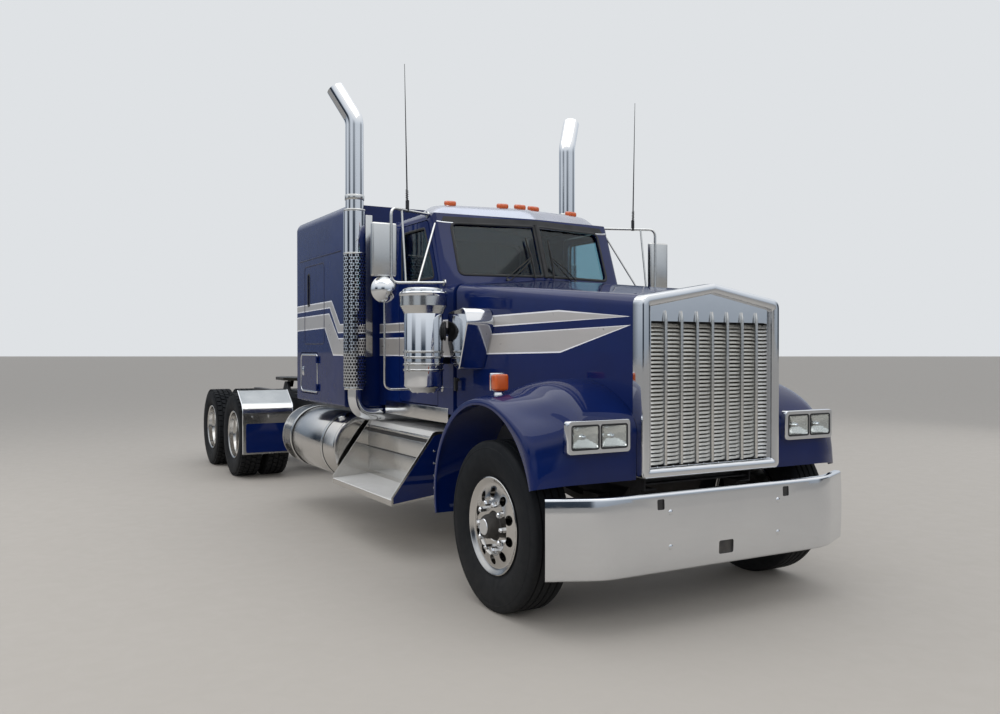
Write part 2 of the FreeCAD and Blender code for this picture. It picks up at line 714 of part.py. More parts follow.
def front_springs():
    """Leaf springs under the rails with their hangers."""
    made = body("front_spring")
    side = sketch(made, "XZ_Plane", ("0", "0", "rail_y - rail_w"))
    outline(side, [
        ("axle_x - 690", "rail_bottom - 70"), ("axle_x", "tyre_r + 50", "1100"),
        ("axle_x + 470", "rail_bottom - 70"), ("axle_x + 470", "rail_bottom - 40"),
        ("axle_x", "tyre_r + 105", "1100"), ("axle_x - 690", "rail_bottom - 40"),
    ])
    pad(made, side, "rail_w")
    clamp = sketch(made, "XZ_Plane", ("0", "0", "rail_y - rail_w"))
    outline(clamp, [
        ("axle_x - 85", "tyre_r + 50"), ("axle_x + 85", "tyre_r + 50"),
        ("axle_x + 85", "tyre_r + 150"), ("axle_x - 85", "tyre_r + 150"),
    ])
    pad(made, clamp, "rail_w")
    for x in ("470", "-690"):
        hanger = sketch(made, "XZ_Plane", ("0", "0", "rail_y - rail_w"))
        outline(hanger, [
            (f"axle_x + {x} - 45", "rail_bottom - 60", "12"), (f"axle_x + {x}", "rail_bottom - 90", "12"),
            (f"axle_x + {x} + 45", "rail_bottom - 60", "12"), (f"axle_x + {x} + 60", "rail_bottom"),
            (f"axle_x + {x} - 60", "rail_bottom"),
        ])
        pad(made, hanger, "rail_w")
    pair("front_springs", made)


# Frame, engine and rear axles


def frame():
    """Two channel rails joined by crossmembers."""
    made = body("frame_rails")
    section = sketch(made, "YZ_Plane", ("0", "0", "axle_x - rail_tail"))
    inner = "-rail_y + rail_w"
    outline(section, [
        ("-rail_y", "rail_bottom"), (inner, "rail_bottom"), (inner, "rail_bottom + rail_t"),
        ("-rail_y + rail_t", "rail_bottom + rail_t"), ("-rail_y + rail_t", "rail_top - rail_t"),
        (inner, "rail_top - rail_t"), (inner, "rail_top"), ("-rail_y", "rail_top"),
    ])
    rail = pad(made, section, "rail_nose + rail_tail")
    mirrored_feature(made, [rail])

    def crossmember(x):
        """A channel across the frame with its web at x."""
        across = sketch(made, "XZ_Plane")
        low, high = "rail_bottom + 30", "rail_top - 30"
        outline(across, [
            (x, low), (f"{x} + 70", low), (f"{x} + 70", f"{low} + rail_t"),
            (f"{x} + rail_t", f"{low} + rail_t"), (f"{x} + rail_t", f"{high} - rail_t"),
            (f"{x} + 70", f"{high} - rail_t"), (f"{x} + 70", high), (x, high),
        ])
        return pad(made, across, "2 * rail_y - rail_t", midplane=True)

    crossmember("axle_x + rail_nose - 90")
    crossmember("axle_x - 2350")
    passing = sketch(made, "YZ_Plane", ("0", "0", "axle_x - 2360"))
    pocket(made, ring(passing, "0", "(rail_bottom + rail_top) / 2 - 20", "85"), "40", midplane=True)
    crossmember("axle_x - 4300")
    crossmember("axle_x - 5900")
    crossmember(f"{AXLE_2} + tandem / 2 - 35")
    crossmember("axle_x - rail_tail")
    keep("frame", made)


def engine():
    """The engine and gearbox as one plain block on its mounts."""
    made = body("engine_mass")
    side = sketch(made, "XZ_Plane")
    outline(side, [
        ("axle_x + 300", "1540"), ("axle_x + 300", "rail_bottom + 40"), ("axle_x + 180", "640"),
        ("axle_x - 700", "600"), ("axle_x - 1100", "rail_bottom"), ("axle_x - 1100", "1480"),
        ("axle_x - 1000", "1590"), ("axle_x + 200", "1590"),
    ])
    pad(made, side, "620", midplane=True)
    box = sketch(made, "XZ_Plane")
    outline(box, [
        ("axle_x - 1080", "rail_bottom - 20"), ("axle_x - 2080", "rail_bottom + 10"),
        ("axle_x - 2080", "rail_top - 60"), ("axle_x - 1080", "rail_top - 20"),
    ])
    pad(made, box, "400", midplane=True)
    for x in ("60", "-1000"):
        foot = sketch(made, "XZ_Plane")
        outline(foot, [
            (f"axle_x + {x} - 60", "rail_bottom + 90"), (f"axle_x + {x} + 60", "rail_bottom + 90"),
            (f"axle_x + {x} + 60", "rail_top - 60"), (f"axle_x + {x} - 60", "rail_top - 60"),
        ])
        pad(made, foot, "2 * (rail_y - rail_t - seat_gap)", midplane=True)
    keep("engine_block", made)


def radiator():
    """Radiator core between side tanks, standing on the rails."""
    made = body("radiator_core")
    face = sketch(made, "YZ_Plane", ("0", "0", "axle_x + 400"))
    outline(face, [
        ("-rail_y + 5", "rail_top"), ("rail_y - 5", "rail_top"),
        ("rail_y - 5", "grille_shoulder - 140", "40"), ("-rail_y + 5", "grille_shoulder - 140", "40"),
    ])
    pad(made, face, "120")
    core = sketch(made, "YZ_Plane", ("0", "0", "axle_x + 520"))
    outline(core, [
        ("-rail_y + 60", "rail_top + 60"), ("rail_y - 60", "rail_top + 60"),
        ("rail_y - 60", "grille_shoulder - 200"), ("-rail_y + 60", "grille_shoulder - 200"),
    ])
    pocket(made, core, "14")
    keep("radiator", made)


def drive_axles():
    """Both drive axle housings with the shafts that join them to the gearbox."""
    made = body("axle_housings")
    for x in (AXLE_1, AXLE_2):
        turned = sketch(made, "YZ_Plane", ("0", "tyre_r", x))
        outline(turned, [
            ("-dual_y + 60 + 1", "0"), ("-dual_y + 60 + 1", "bore_r - pin_gap"),
            ("-dual_y - 55 + 213", "bore_r - pin_gap"), ("-dual_y - 55 + 213", "70"),
            ("-290", "72"), ("-170", "190", "60"), ("170", "190", "60"), ("290", "72"),
            ("dual_y + 55 - 213", "70"), ("dual_y + 55 - 213", "bore_r - pin_gap"),
            ("dual_y - 61", "bore_r - pin_gap"), ("dual_y - 61", "0"),
        ])
        revolve(made, turned)
        nose = ring(sketch(made, "YZ_Plane", ("0", "0", x)), "0", "tyre_r + 60", "95")
        pad(made, nose, "300")
    shaft = ring(sketch(made, "YZ_Plane", ("0", "0", AXLE_2)), "0", "tyre_r + 60", "48")
    pad(made, shaft, "tandem")
    keep("drive_axles", made)
    DOC.recompute()
    start = Vector(num(AXLE_1) + 300, 0, num("tyre_r + 60"))
    end = Vector(num("axle_x - 2080"), 0, num("(rail_bottom + rail_top) / 2"))
    shape = Part.makeCylinder(44, (end - start).Length, start, end - start)
    for neighbour, step in ((PIECES["drive_axles"], num("seat_gap")), (PIECES["engine_block"], -num("seat_gap"))):
        near = neighbour.Shape.copy()
        near.translate(Vector(step, 0, 0))
        shape = shape.cut(near)
    keep("driveshaft", solid_feature("driveshaft", shape.Solids[0]))


def rear_suspension():
    """Trailing arms, hangers and air springs of the tandem."""
    made = body("trailing_arm")
    for x in (AXLE_1, AXLE_2):
        arm = sketch(made, "XZ_Plane", ("0", "0", "rail_y - rail_w"))
        outline(arm, [
            (f"{x} + 420", "rail_bottom"), (f"{x} + 420", "rail_bottom - 170", "30"),
            (f"{x} + 300", "tyre_r + 60"), (f"{x} + 110", "tyre_r + 72 + seat_gap"),
            (f"{x} - 110", "tyre_r + 72 + seat_gap"), (f"{x} - 200", "tyre_r - 30"),
            (f"{x} - 440", "tyre_r - 60"), (f"{x} - 440", "tyre_r - 10"),
            (f"{x} - 230", "tyre_r + 30"), (f"{x} - 110", "tyre_r + 150"),
            (f"{x} + 240", "tyre_r + 150"), (f"{x} + 300", "rail_bottom"),
        ])
        pad(made, arm, "rail_w")
        bag = sketch(made, "XZ_Plane", (f"{x} - 335", "0", "rail_y - rail_w / 2"))
        outline(bag, [
            ("0", "tyre_r - 20"), ("90", "tyre_r - 20"), ("112", "tyre_r + 40", "20"),
            ("112", "tyre_r + 100", "20"), ("96", "tyre_r + 115"), ("112", "tyre_r + 130", "20"),
            ("112", "rail_bottom - 25", "20"), ("90", "rail_bottom"), ("0", "rail_bottom"),
        ])
        revolve(made, bag, "V_Axis")
    pair("rear_suspension", made)


def fifth_wheel():
    """The coupling plate on its pivot and the base that carries it."""
    x = "(axle_x - fifth_x)"
    base = body("coupling_base")
    foot = sketch(base, "XY_Plane", ("0", "0", "rail_top"))
    outline(foot, [
        (f"{x} - 330", "-rail_y", "20"), (f"{x} + 330", "-rail_y", "20"),
        (f"{x} + 330", "rail_y", "20"), (f"{x} - 330", "rail_y", "20"),
    ])
    pad(base, foot, "16")
    ear = sketch(base, "XZ_Plane", ("0", "0", "rail_y - 60"))
    outline(ear, [
        (f"{x} - 150", "rail_top + 16"), (f"{x} + 150", "rail_top + 16"),
        (f"{x} + 52", "fifth_pivot_z + 42", "40"), (f"{x} - 52", "fifth_pivot_z + 42", "40"),
    ])
    ears = pad(base, ear, "36")
    mirrored_feature(base, [ears])
    hole = ring(sketch(base, "XZ_Plane"), x, "fifth_pivot_z", "20 + pin_gap")
    pocket(base, hole, "4 * rail_y", midplane=True)
    keep("fifth_wheel_base", base)

    plate = body("coupling_plate")
    top = sketch(plate, "XY_Plane", ("0", "0", "fifth_top - 38"))
    half = "fifth_half"
    outline(top, [
        (f"{x} + 330", f"-{half} + 130", "140"), (f"{x} + 330", f"{half} - 130", "140"),
        (f"{x} + 60", half, "120"), (f"{x} - 330", half, "60"),
        (f"{x} - 500", f"{half} - 60", "50"), (f"{x} - 500", "190", "30"),
        (f"{x} - 150", "lock_r + 2"), (f"{x} - 150", "-lock_r - 2"),
        (f"{x} - 500", "-190", "30"), (f"{x} - 500", f"-{half} + 60", "50"),
        (f"{x} - 330", f"-{half}", "60"), (f"{x} + 60", f"-{half}", "120"),
    ])
    pad(plate, top, "38")
    throat = sketch(plate, "XY_Plane", ("0", "0", "fifth_top - 40"))
    outline(throat, [
        (f"{x} - 160", "-lock_r"), (x, "-lock_r"), (x, "lock_r"), (f"{x} - 160", "lock_r"),
    ])
    pocket(plate, throat, "60", back=True)
    lock = ring(sketch(plate, "XY_Plane", ("0", "0", "fifth_top - 40")), x, "0", "lock_r")
    pocket(plate, lock, "60", back=True)
    lug = sketch(plate, "XZ_Plane", ("0", "0", "rail_y - 60 - 14"))
    outline(lug, [
        (f"{x} - 90", "fifth_top - 37"), (f"{x} - 34", "fifth_pivot_z - 34", "30"),
        (f"{x} + 34", "fifth_pivot_z - 34", "30"), (f"{x} + 90", "fifth_top - 37"),
    ])
    lugs = pad(plate, lug, "40", back=True)
    mirrored_feature(plate, [lugs])
    pin = ring(sketch(plate, "XZ_Plane", ("0", "0", "rail_y - 60 - 30")), x, "fifth_pivot_z", "20")
    pins = pad(plate, pin, "70")
    mirrored_feature(plate, [pins])
    keep("fifth_wheel_plate", plate)


def rear_bar():
    """Lamp bar across the frame's end with the rods that the mud flaps hang from."""
    made = body("lamp_bar")
    across = sketch(made, "YZ_Plane", ("0", "0", "axle_x - rail_tail - 60"))
    low, high = "bar_z - bar_h / 2", "bar_z + bar_h / 2"
    outline(across, [
        ("-bar_half", low, "14"), ("bar_half", low, "14"), ("bar_half", high, "14"), ("-bar_half", high, "14"),
    ])
    pad(made, across, "54")
    mount = sketch(made, "YZ_Plane", ("0", "0", "axle_x - rail_tail - 10"))
    outline(mount, [
        ("-rail_y", low), ("rail_y", low), ("rail_y", high), ("-rail_y", high),
    ])
    pad(made, mount, "10")
    hanger = ring(sketch(made, "XZ_Plane"), "axle_x - rail_tail - 31", "bar_z", "flap_rod_r")
    pad(made, hanger, "2 * (flap_out + 10)", midplane=True)
    for y in ("-330", "-190", "190", "330"):
        lamp = ring(sketch(made, "YZ_Plane", ("0", "0", "axle_x - rail_tail - 72")), y, "bar_z", "52")
        pad(made, lamp, "14")
    keep("rear_bar", made)
    flap = block("flap", ("axle_x - rail_tail - 36", "-flap_out", "flap_low"),
                 ("axle_x - rail_tail - 26", "-flap_in", "bar_z - flap_rod_r - seat_gap"))
    pair("mud_flaps", flap)


# Bodywork


def bumper():
    """Bumper with swept ends, folded lips, tow openings and brackets to the rails."""
    made = body("bumper_shell")
    nose = "axle_x + bumper_x"

    def plan(depth):
        """The bumper's outline from above, as deep as asked."""
        return [
            (f"{nose} - bumper_sweep", "-bumper_half"), (nose, "-bumper_flat", "420"),
            (nose, "bumper_flat", "420"), (f"{nose} - bumper_sweep", "bumper_half"),
            (f"{nose} - bumper_sweep - {depth}", "bumper_half"),
            (f"{nose} - {depth}", "bumper_flat", "420"), (f"{nose} - {depth}", "-bumper_flat", "420"),
            (f"{nose} - bumper_sweep - {depth}", "-bumper_half"),
        ]

    shell = sketch(made, "XY_Plane", ("0", "0", "bumper_bottom"))
    outline(shell, plan("bumper_t"))
    pad(made, shell, "bumper_top - bumper_bottom")
    for z in ("bumper_bottom", "bumper_top - bumper_t"):
        lip = sketch(made, "XY_Plane", ("0", "0", z))
        outline(lip, plan("bumper_lip"))
        pad(made, lip, "bumper_t")
    for y in ("-500", "500"):
        hole = sketch(made, "YZ_Plane", ("0", "0", nose))
        outline(hole, [
            (f"{y} - 26", "bumper_top - 95", "8"), (f"{y} + 26", "bumper_top - 95", "8"),
            (f"{y} + 26", "bumper_top - 35", "8"), (f"{y} - 26", "bumper_top - 35", "8"),
        ])
        pocket(made, hole, "2 * bumper_t", midplane=True)
    hole = sketch(made, "YZ_Plane", ("0", "0", nose))
    outline(hole, [
        ("-58", "bumper_bottom + 62", "8"), ("58", "bumper_bottom + 62", "8"),
        ("58", "bumper_bottom + 142", "8"), ("-58", "bumper_bottom + 142", "8"),
    ])
    pocket(made, hole, "2 * bumper_t", midplane=True)
    arm = sketch(made, "XZ_Plane", ("0", "0", "rail_y + seat_gap"))
    outline(arm, [
        ("axle_x + rail_nose - 260", "rail_bottom + 20"), ("axle_x + rail_nose + 30", "rail_bottom - 160"),
        (f"{nose} - bumper_t / 2", "bumper_bottom + 140"), (f"{nose} - bumper_t / 2", "rail_bottom - 5"),
        ("axle_x + rail_nose + 30", "rail_bottom - 5", "20"), ("axle_x + rail_nose + 20", "rail_top - 60", "20"),
        ("axle_x + rail_nose - 260", "rail_top - 60"),
    ])
    arms = pad(made, arm, "16")
    ear = sketch(made, "XZ_Plane", ("0", "0", "rail_y + seat_gap"))
    outline(ear, [
        ("axle_x + hinge_x - 32", "rail_bottom - 8"), ("axle_x + hinge_x + 32", "rail_bottom - 8"),
        ("axle_x + hinge_x + 24", "hinge_z + 26", "22"), ("axle_x + hinge_x - 24", "hinge_z + 26", "22"),
    ])
    ears = pad(made, ear, "16")
    pin = ring(sketch(made, "XZ_Plane", ("0", "0", "rail_y + seat_gap + 4")), "axle_x + hinge_x", "hinge_z", "10")
    pins = pad(made, pin, "40")
    mirrored_feature(made, [arms, ears, pins])
    keep("bumper", made)


def hood_section(owner, x, half, top, low, grow="0"):
    """A sketch of the hood's section at a station, grown outwards by grow, walls inside."""
    made = sketch(owner, "YZ_Plane", ("0", "0", x))
    outer, inner = f"({half} + {grow})", f"({half} - hood_t)"
    shoulder = f"({top} + {grow})"
    under = f"({top} - hood_t)"
    outline(made, [
        (f"-{outer}", low), (f"-{outer}", shoulder, "hood_shoulder_r"),
        ("0", f"{shoulder} + hood_crown", "2600"),
        (outer, shoulder, "hood_shoulder_r"), (outer, low), (inner, low),
        (inner, under, "hood_shoulder_r - hood_t"), ("0", f"{under} + hood_crown", "2600"),
        (f"-{inner}", under, "hood_shoulder_r - hood_t"), (f"-{inner}", low),
    ])
    return made


def hood():
    """The hood's top and sides as one tapering panel."""
    made = body("hood_shell")
    back = hood_section(made, "axle_x - hood_back", "hood_back_half", "hood_back_top", "hood_back_low")
    nose = hood_section(made, "axle_x + hood_nose", "hood_nose_half", "hood_nose_top", "hood_nose_low")
    loft = made.newObject("PartDesign::AdditiveLoft", "hood_loft")
    loft.Profile = back
    loft.Sections = [nose]
    loft.Ruled = True
    made.Tip = loft
    keep("hood_panel", made)


def hood_envelope(clear):
    """The space between the hood's two sides and a clearance beyond, as a solid."""
    back, nose = num("axle_x - hood_back"), num("axle_x + hood_nose")
    rear, front = num("hood_back_half") + clear, num("hood_nose_half") + clear
    taper = 100 * (rear - front) / (nose - back)
    back, nose, rear, front = back - 100, nose + 100, rear + taper, front - taper
    plan = [Vector(back, -rear, 400), Vector(nose, -front, 400), Vector(nose, front, 400), Vector(back, rear, 400)]
    return Part.Face(Part.makePolygon([*plan, plan[0]])).extrude(Vector(0, 0, 2200))


def fender_stations():
    """The fender's radial stations: angle, radius by the hood, on the catwalk, crest and side, side's place."""
    top, out = num("fender_top"), num("fender_out")
    nose = num("pod_nose + arch_x - 6")
    face = {angle: nose / math.cos(math.radians(angle)) for angle in (37, 28, 16)}
    return [
        (193, top - 14, top - 13, top - 12, top - 28, out - 22),
        (160, top - 3, top - 2, top, top - 20, out - 22),
        (125, top + 2, top + 3, top, top - 20, out - 22),
        (100, top + 28, top + 20, top, top - 22, out - 24),
        (82, top + 95, top + 85, top + 18, top - 15, out - 34),
        (66, top + 158, top + 152, top + 75, top + 10, out - 60),
        (52, top + 188, top + 186, top + 145, top + 60, out - 100),
        (37, face[37] - 6, face[37] - 6, face[37] - 12, face[37] - 40, out - 200),
        (28, face[28], face[28], face[28], face[28] - 26, out - 130),
        (16, face[16], face[16], face[16], face[16] - 58, out - 30),
    ]


def halfway(stations):
    """The stations with a smooth one between each two."""
    ends = [stations[0], *stations, stations[-1]]
    dense = []
    for before, here, after, last in zip(ends, ends[1:], ends[2:], ends[3:]):
        dense += [here, tuple((9 * (b + c) - a - d) / 16 for a, b, c, d in zip(before, here, after, last))]
    return [*dense, stations[-1]]


def fender_section(station):
    """One closed section of the fender's sheet at its angle about the wheel arch's middle."""
    angle, by_hood, catwalk, crest, side, side_y = station
    centre, turn = Vector(num("axle_x - arch_x"), 0, num("arch_z")), math.radians(angle)
    root, out, lip = num("hood_nose_half") - 40, num("fender_out"), num("arch_r")
    skin = [(root, by_hood), (850, catwalk), ((850 + side_y) / 2 + 20, crest), (side_y, side),
            (out, (side + lip) / 2), (out, lip)]
    under = []
    for (y0, r0), (y, r), (y1, r1) in zip([skin[0], *skin], skin, [*skin[1:], skin[-1]]):
        scale = num("fender_t") / math.hypot(y1 - y0, r1 - r0)
        under.append((y + (r1 - r0) * scale, r - (y1 - y0) * scale))
    rows = [[centre + Vector(r * math.cos(turn), -y, r * math.sin(turn)) for y, r in row] for row in (skin, under)]
    curves = []
    for row in rows:
        curve = Part.BSplineCurve()
        curve.interpolate(row)
        curves.append(curve.toShape())
    edge = Part.makeLine(rows[0][-1], rows[1][-1])
    return Part.Wire(Part.__sortEdges__([curves[0], edge, curves[1], Part.makeLine(rows[1][0], rows[0][0])]))


def fenders():
    """Each front fender: one shell from the arch's rear, over the catwalk, to the lamp pod's front."""
    shell = Part.makeLoft([fender_section(station) for station in halfway(fender_stations())], True, True)
    beside = num("grille_half + seat_gap")
    grille_room = Part.makeBox(400, 2 * beside, 2000, Vector(num("axle_x + hood_nose"), -beside, 0))
    shape = shell.cut([hood_envelope(num("seat_gap")), grille_room])
    pair("fenders", solid_feature("fender_right", shape.Solids[0]))


def grille():
    """Grille shell with its peaked rim, and the louvred grille inside it."""
    made = body("grille_frame")

    def face(inset):
        """The shell's outline, inset all round."""
        return [
            (f"-(grille_half - {inset})", f"grille_low + {inset}"),
            (f"grille_half - {inset}", f"grille_low + {inset}"),
            (f"grille_half - {inset}", f"grille_shoulder - {inset}", "60"),
            ("0", f"grille_peak - {inset}", "900"),
            (f"-(grille_half - {inset})", f"grille_shoulder - {inset}", "60"),
        ]

    shell = outline(sketch(made, "YZ_Plane", ("0", "0", "axle_x + hood_nose + seat_gap")), face("0"))
    pad(made, shell, "grille_face - hood_nose - seat_gap")
    recess = outline(sketch(made, "YZ_Plane", ("0", "0", "axle_x + grille_face")), face("grille_rim"))
    pocket(made, recess, "36")
    opening = sketch(made, "YZ_Plane", ("0", "0", "axle_x + grille_face"))
    side = "(grille_half - grille_rim - 22)"
    outline(opening, [
        (f"-{side}", "mesh_low"), (side, "mesh_low"), (side, "mesh_top"), (f"-{side}", "mesh_top"),
    ])
    pocket(made, opening, "400", midplane=True)
    lug = sketch(made, "XZ_Plane", ("0", "0", "rail_y + 24"))
    outline(lug, [
        ("axle_x + hinge_x - 24", "hinge_z - 24", "20"), ("axle_x + hinge_x + 24", "hinge_z - 24", "20"),
        ("axle_x + hinge_x + 40", "grille_low + 2"), ("axle_x + hinge_x - 15", "grille_low + 2"),
    ])
    lugs = pad(made, lug, "16")
    mirrored_feature(made, [lugs])
    bore = ring(sketch(made, "XZ_Plane"), "axle_x + hinge_x", "hinge_z", "10 + pin_gap")
    pocket(made, bore, "4 * rail_y", midplane=True)
    keep("grille_shell", made)

    bars = body("grille_louvres")
    slat_x = "axle_x + grille_face - 90"
    slat = sketch(bars, "XZ_Plane")
    outline(slat, [
        (slat_x, "mesh_low + 8"), (f"{slat_x} + 26", "mesh_low + 13"),
        (f"{slat_x} + 26", "mesh_low + 16"), (slat_x, "mesh_low + 11"),
    ])
    slats = pad(bars, slat, f"2 * ({side} - seat_gap)", midplane=True)
    row_of(bars, [slats], "Z_Axis", "slat_pitch * 34", 35)
    fin = sketch(bars, "XZ_Plane", ("0", "0", "3 * fin_pitch"))
    outline(fin, [
        (f"{slat_x} + 2", "mesh_low + seat_gap"), (f"{slat_x} + 78", "mesh_low + seat_gap"),
        (f"{slat_x} + 78", "mesh_top - 30"), (f"{slat_x} + 55", "mesh_top + 60"),
        (f"{slat_x} + 55", "mesh_top - seat_gap"), (f"{slat_x} + 2", "mesh_top - seat_gap"),
    ])
    fins = pad(bars, fin, "fin_w", midplane=True)
    row_of(bars, [fins], "Y_Axis", "6 * fin_pitch", 7)
    keep("grille_bars", bars)


def lamps():
    """Headlamp housings and turn signals of both sides, seated on the fenders."""
    made = body("headlamp")
    back = sketch(made, "YZ_Plane", ("0", "0", "axle_x + pod_nose - 4"))
    outline(back, [
        ("-lamp_out", "lamp_low", "24"), ("-lamp_in", "lamp_low", "24"),
        ("-lamp_in", "lamp_high", "24"), ("-lamp_out", "lamp_high", "24"),
    ])
    pad(made, back, "lamp_face - pod_nose + 4")
    for name, low, high in (("outer", "-lamp_out + 26", "-(lamp_in + lamp_out) / 2 - 7"),
                            ("inner", "-(lamp_in + lamp_out) / 2 + 7", "-lamp_in - 26")):
        glass = sketch(made, "YZ_Plane", ("0", "0", "axle_x + lamp_face"))
        outline(glass, [
            (low, "lamp_low + 28", "12"), (high, "lamp_low + 28", "12"),
            (high, "lamp_high - 28", "12"), (low, "lamp_high - 28", "12"),
        ])
        pocket(made, glass, "22")
    pair("headlamps", cut("headlamp_seated", made, PIECES["fenders"]))

    signal = block("signal", ("axle_x - 112", "-1130", "arch_z + fender_top + 4"),
                   ("axle_x - 12", "-1030", "arch_z + fender_top + 130"))
    signal = cut("signal_seated", signal, PIECES["fenders"])
    pair("turn_signals", signal)


def cab_space(name, inset):
    """The cab's outer space, inset all round: the cowl and the glazed part above it."""
    back, edge = f"axle_x - cab_back + {inset}", f"(cab_half - {inset})"
    front, lean = f"axle_x - cab_front - {inset}", "screen_rake / (brow_z - cowl_z)"
    upper, low = body(name + "_upper"), "(hood_back_top - 160)"
    plan = sketch(upper, "XY_Plane", ("0", "0", low))
    nose = f"axle_x - screen_x - {inset} + {lean} * (cowl_z - {low})"
    outline(plan, [
        (back, f"-{edge}"), (f"{nose} - screen_sweep", f"-{edge}", f"60 - {inset} / 2"), (nose, "0"),
        (f"{nose} - screen_sweep", edge, f"60 - {inset} / 2"), (back, edge),
    ])
    raked = pad(upper, plan, "roof_z - hood_back_top + 210")
    raked.UseCustomVector = True
    raked.AlongSketchNormal = True
    raked.Direction = Vector(-num(lean), 0, 1)
    bind(raked, "Direction.x", f"-{lean}")
    cowl = prism(name + "_cowl", "YZ_Plane", [
        (f"-{edge}", f"cab_low + {inset}"), (edge, f"cab_low + {inset}"),
        (edge, f"hood_back_top - {inset}", "hood_shoulder_r"), ("0", f"hood_back_top + hood_crown - {inset}", "2600"),
        (f"-{edge}", f"hood_back_top - {inset}", "hood_shoulder_r"),
    ], f"{back} - 40", "cab_back - cab_front + 80")
    slope = "(roof_z - brow_z) / (cab_back - screen_x - screen_rake)"
    side = prism(name + "_side", "XZ_Plane", [
        (front, "cab_low - 50"), (front, f"brow_z - {inset} - (screen_x + screen_rake - cab_front) * {slope}"),
        (back, f"roof_z - {inset}"), (back, "cab_low - 50"),
    ], "-cab_half - 40", "2 * cab_half + 80")
    section = prism(name + "_section", "YZ_Plane", [
        (f"-{edge}", f"cab_low + {inset}"), (edge, f"cab_low + {inset}"),
        (edge, f"roof_z - 90 - {inset}", f"120 - {inset}"), ("0", f"roof_z + 10 - {inset}", "2600"),
        (f"-{edge}", f"roof_z - 90 - {inset}", f"120 - {inset}"),
    ], f"{back} - 40", "cab_back")
    return common(name, [fuse(name + "_whole", [upper, cowl]), side, section])


def screen_outline(side, gap):
    """One windscreen pane's outline seen from ahead, on the side given by its sign."""
    inner, outer = f"{side} * (screen_post / 2 + {gap})", f"{side} * (screen_half - {gap})"
    low, high = f"cowl_z + 22 + {gap}", f"brow_z - 62 - {gap}"
    return [(inner, low, "30"), (outer, low, "45"), (outer, high, "60"), (inner, high, "30")]


def cab():
    """The cab shell with its door, windscreen and sleeper openings."""
    back = "axle_x - cab_back"
    front, deep = "axle_x - screen_x - screen_rake - screen_sweep", "screen_rake + screen_sweep"
    openings = [
        cab_space("cab_room", "wall"),
        prism("door_opening", "XZ_Plane", door_outline("-shut_gap"), "-2 * cab_half", "4 * cab_half"),
        prism("screen_right", "YZ_Plane", screen_outline("-1", "0"), front, deep),
        prism("screen_left", "YZ_Plane", screen_outline("1", "0"), front, deep),
        prism("cab_passage", "YZ_Plane", passage_outline("0"), f"{back} - wall", "3 * wall"),
    ]
    shell = cab_space("cab_outside", "0")
    for opening in openings:
        shell = cut(f"cab_less_{opening.Name}", shell, opening)
    sills = [block(f"cab_sill_{i}", (f"axle_x - ({x}) - 90", "-rail_y", "rail_top"),
                   (f"axle_x - ({x})", "rail_y", "cab_low + 1"))
             for i, x in enumerate(("cab_front + 150", "cab_back - 250"))]
    keep("cab_shell", fuse("cab_shell", [shell, *sills, *hinge_pins("door", "cab_half", "door_front", DOOR_HINGES)]))
    CLEARANCE["cab"] = cab_space("cab_near", "-seat_gap")


def hinge_pins(name, side, front, heights):
    """Hinge pins with their lugs on a wall's outer face, just ahead of a door's front edge."""
    x, y = f"axle_x - {front} + shut_gap / 2", f"-({side}) - 13"
    parts = []
    for i, z in enumerate(heights):
        parts.append(rod(f"{name}_pin_{i}", (x, y, f"{z} - 34"), "68", "6"))
        for end, low in (("low", f"{z} - 34"), ("high", f"{z} + 20")):
            parts.append(rod(f"{name}_lug_{i}_{end}", (x, y, low), "14", "12"))
            parts.append(block(f"{name}_leaf_{i}_{end}", (f"{x} + 4", y, low), (f"{x} + 34", f"-({side}) + 2", f"{low} + 14")))
    right = fuse(f"{name}_hinge_pins", parts)
    return [right, mirror(f"{name}_hinge_pins_left", right)]


def hinge_knuckles(name, side, front, heights):
    """The knuckles that turn on the hinge pins, with leaves onto the door's outer face."""
    x, y = f"axle_x - {front} + shut_gap / 2", f"-({side}) - 13"
    knuckles, bores = [], []
    for i, z in enumerate(heights):
        knuckles.append(rod(f"{name}_knuckle_{i}", (x, y, f"{z} - 18"), "36", "12"))
        knuckles.append(block(f"{name}_strap_{i}", (f"{x} - 60", f"{y} - 2", f"{z} - 18"),
                              (f"{x} - 6", f"-({side}) + 2", f"{z} + 18")))
        bores.append(rod(f"{name}_bore_{i}", (x, y, f"{z} - 19"), "38", "6 + pin_gap"))
    return knuckles, fuse(f"{name}_bores", bores)


def passage_outline(grow):
    """The opening between cab and sleeper, grown all round."""
    return [
        (f"-(620 + {grow})", f"cab_low + 120 - {grow}", "60"), (f"620 + {grow}", f"cab_low + 120 - {grow}", "60"),
        (f"620 + {grow}", f"roof_z - 190 + {grow}", "90"), (f"-(620 + {grow})", f"roof_z - 190 + {grow}", "90"),
    ]


def door_outline(gap):
    """The door's side outline, smaller by gap or larger where gap is negative."""
    front, back = "axle_x - door_front", "axle_x - door_back"
    return [
        (f"{front} - ({gap})", f"door_low + ({gap})"), (f"{front} - ({gap})", "window_low"),
        (f"{front} - ({gap}) - door_lean", f"door_top - ({gap})", "50"),
        (f"{back} + ({gap})", f"door_top - ({gap})", "50"), (f"{back} + ({gap})", f"door_low + ({gap})", "50"),
    ]


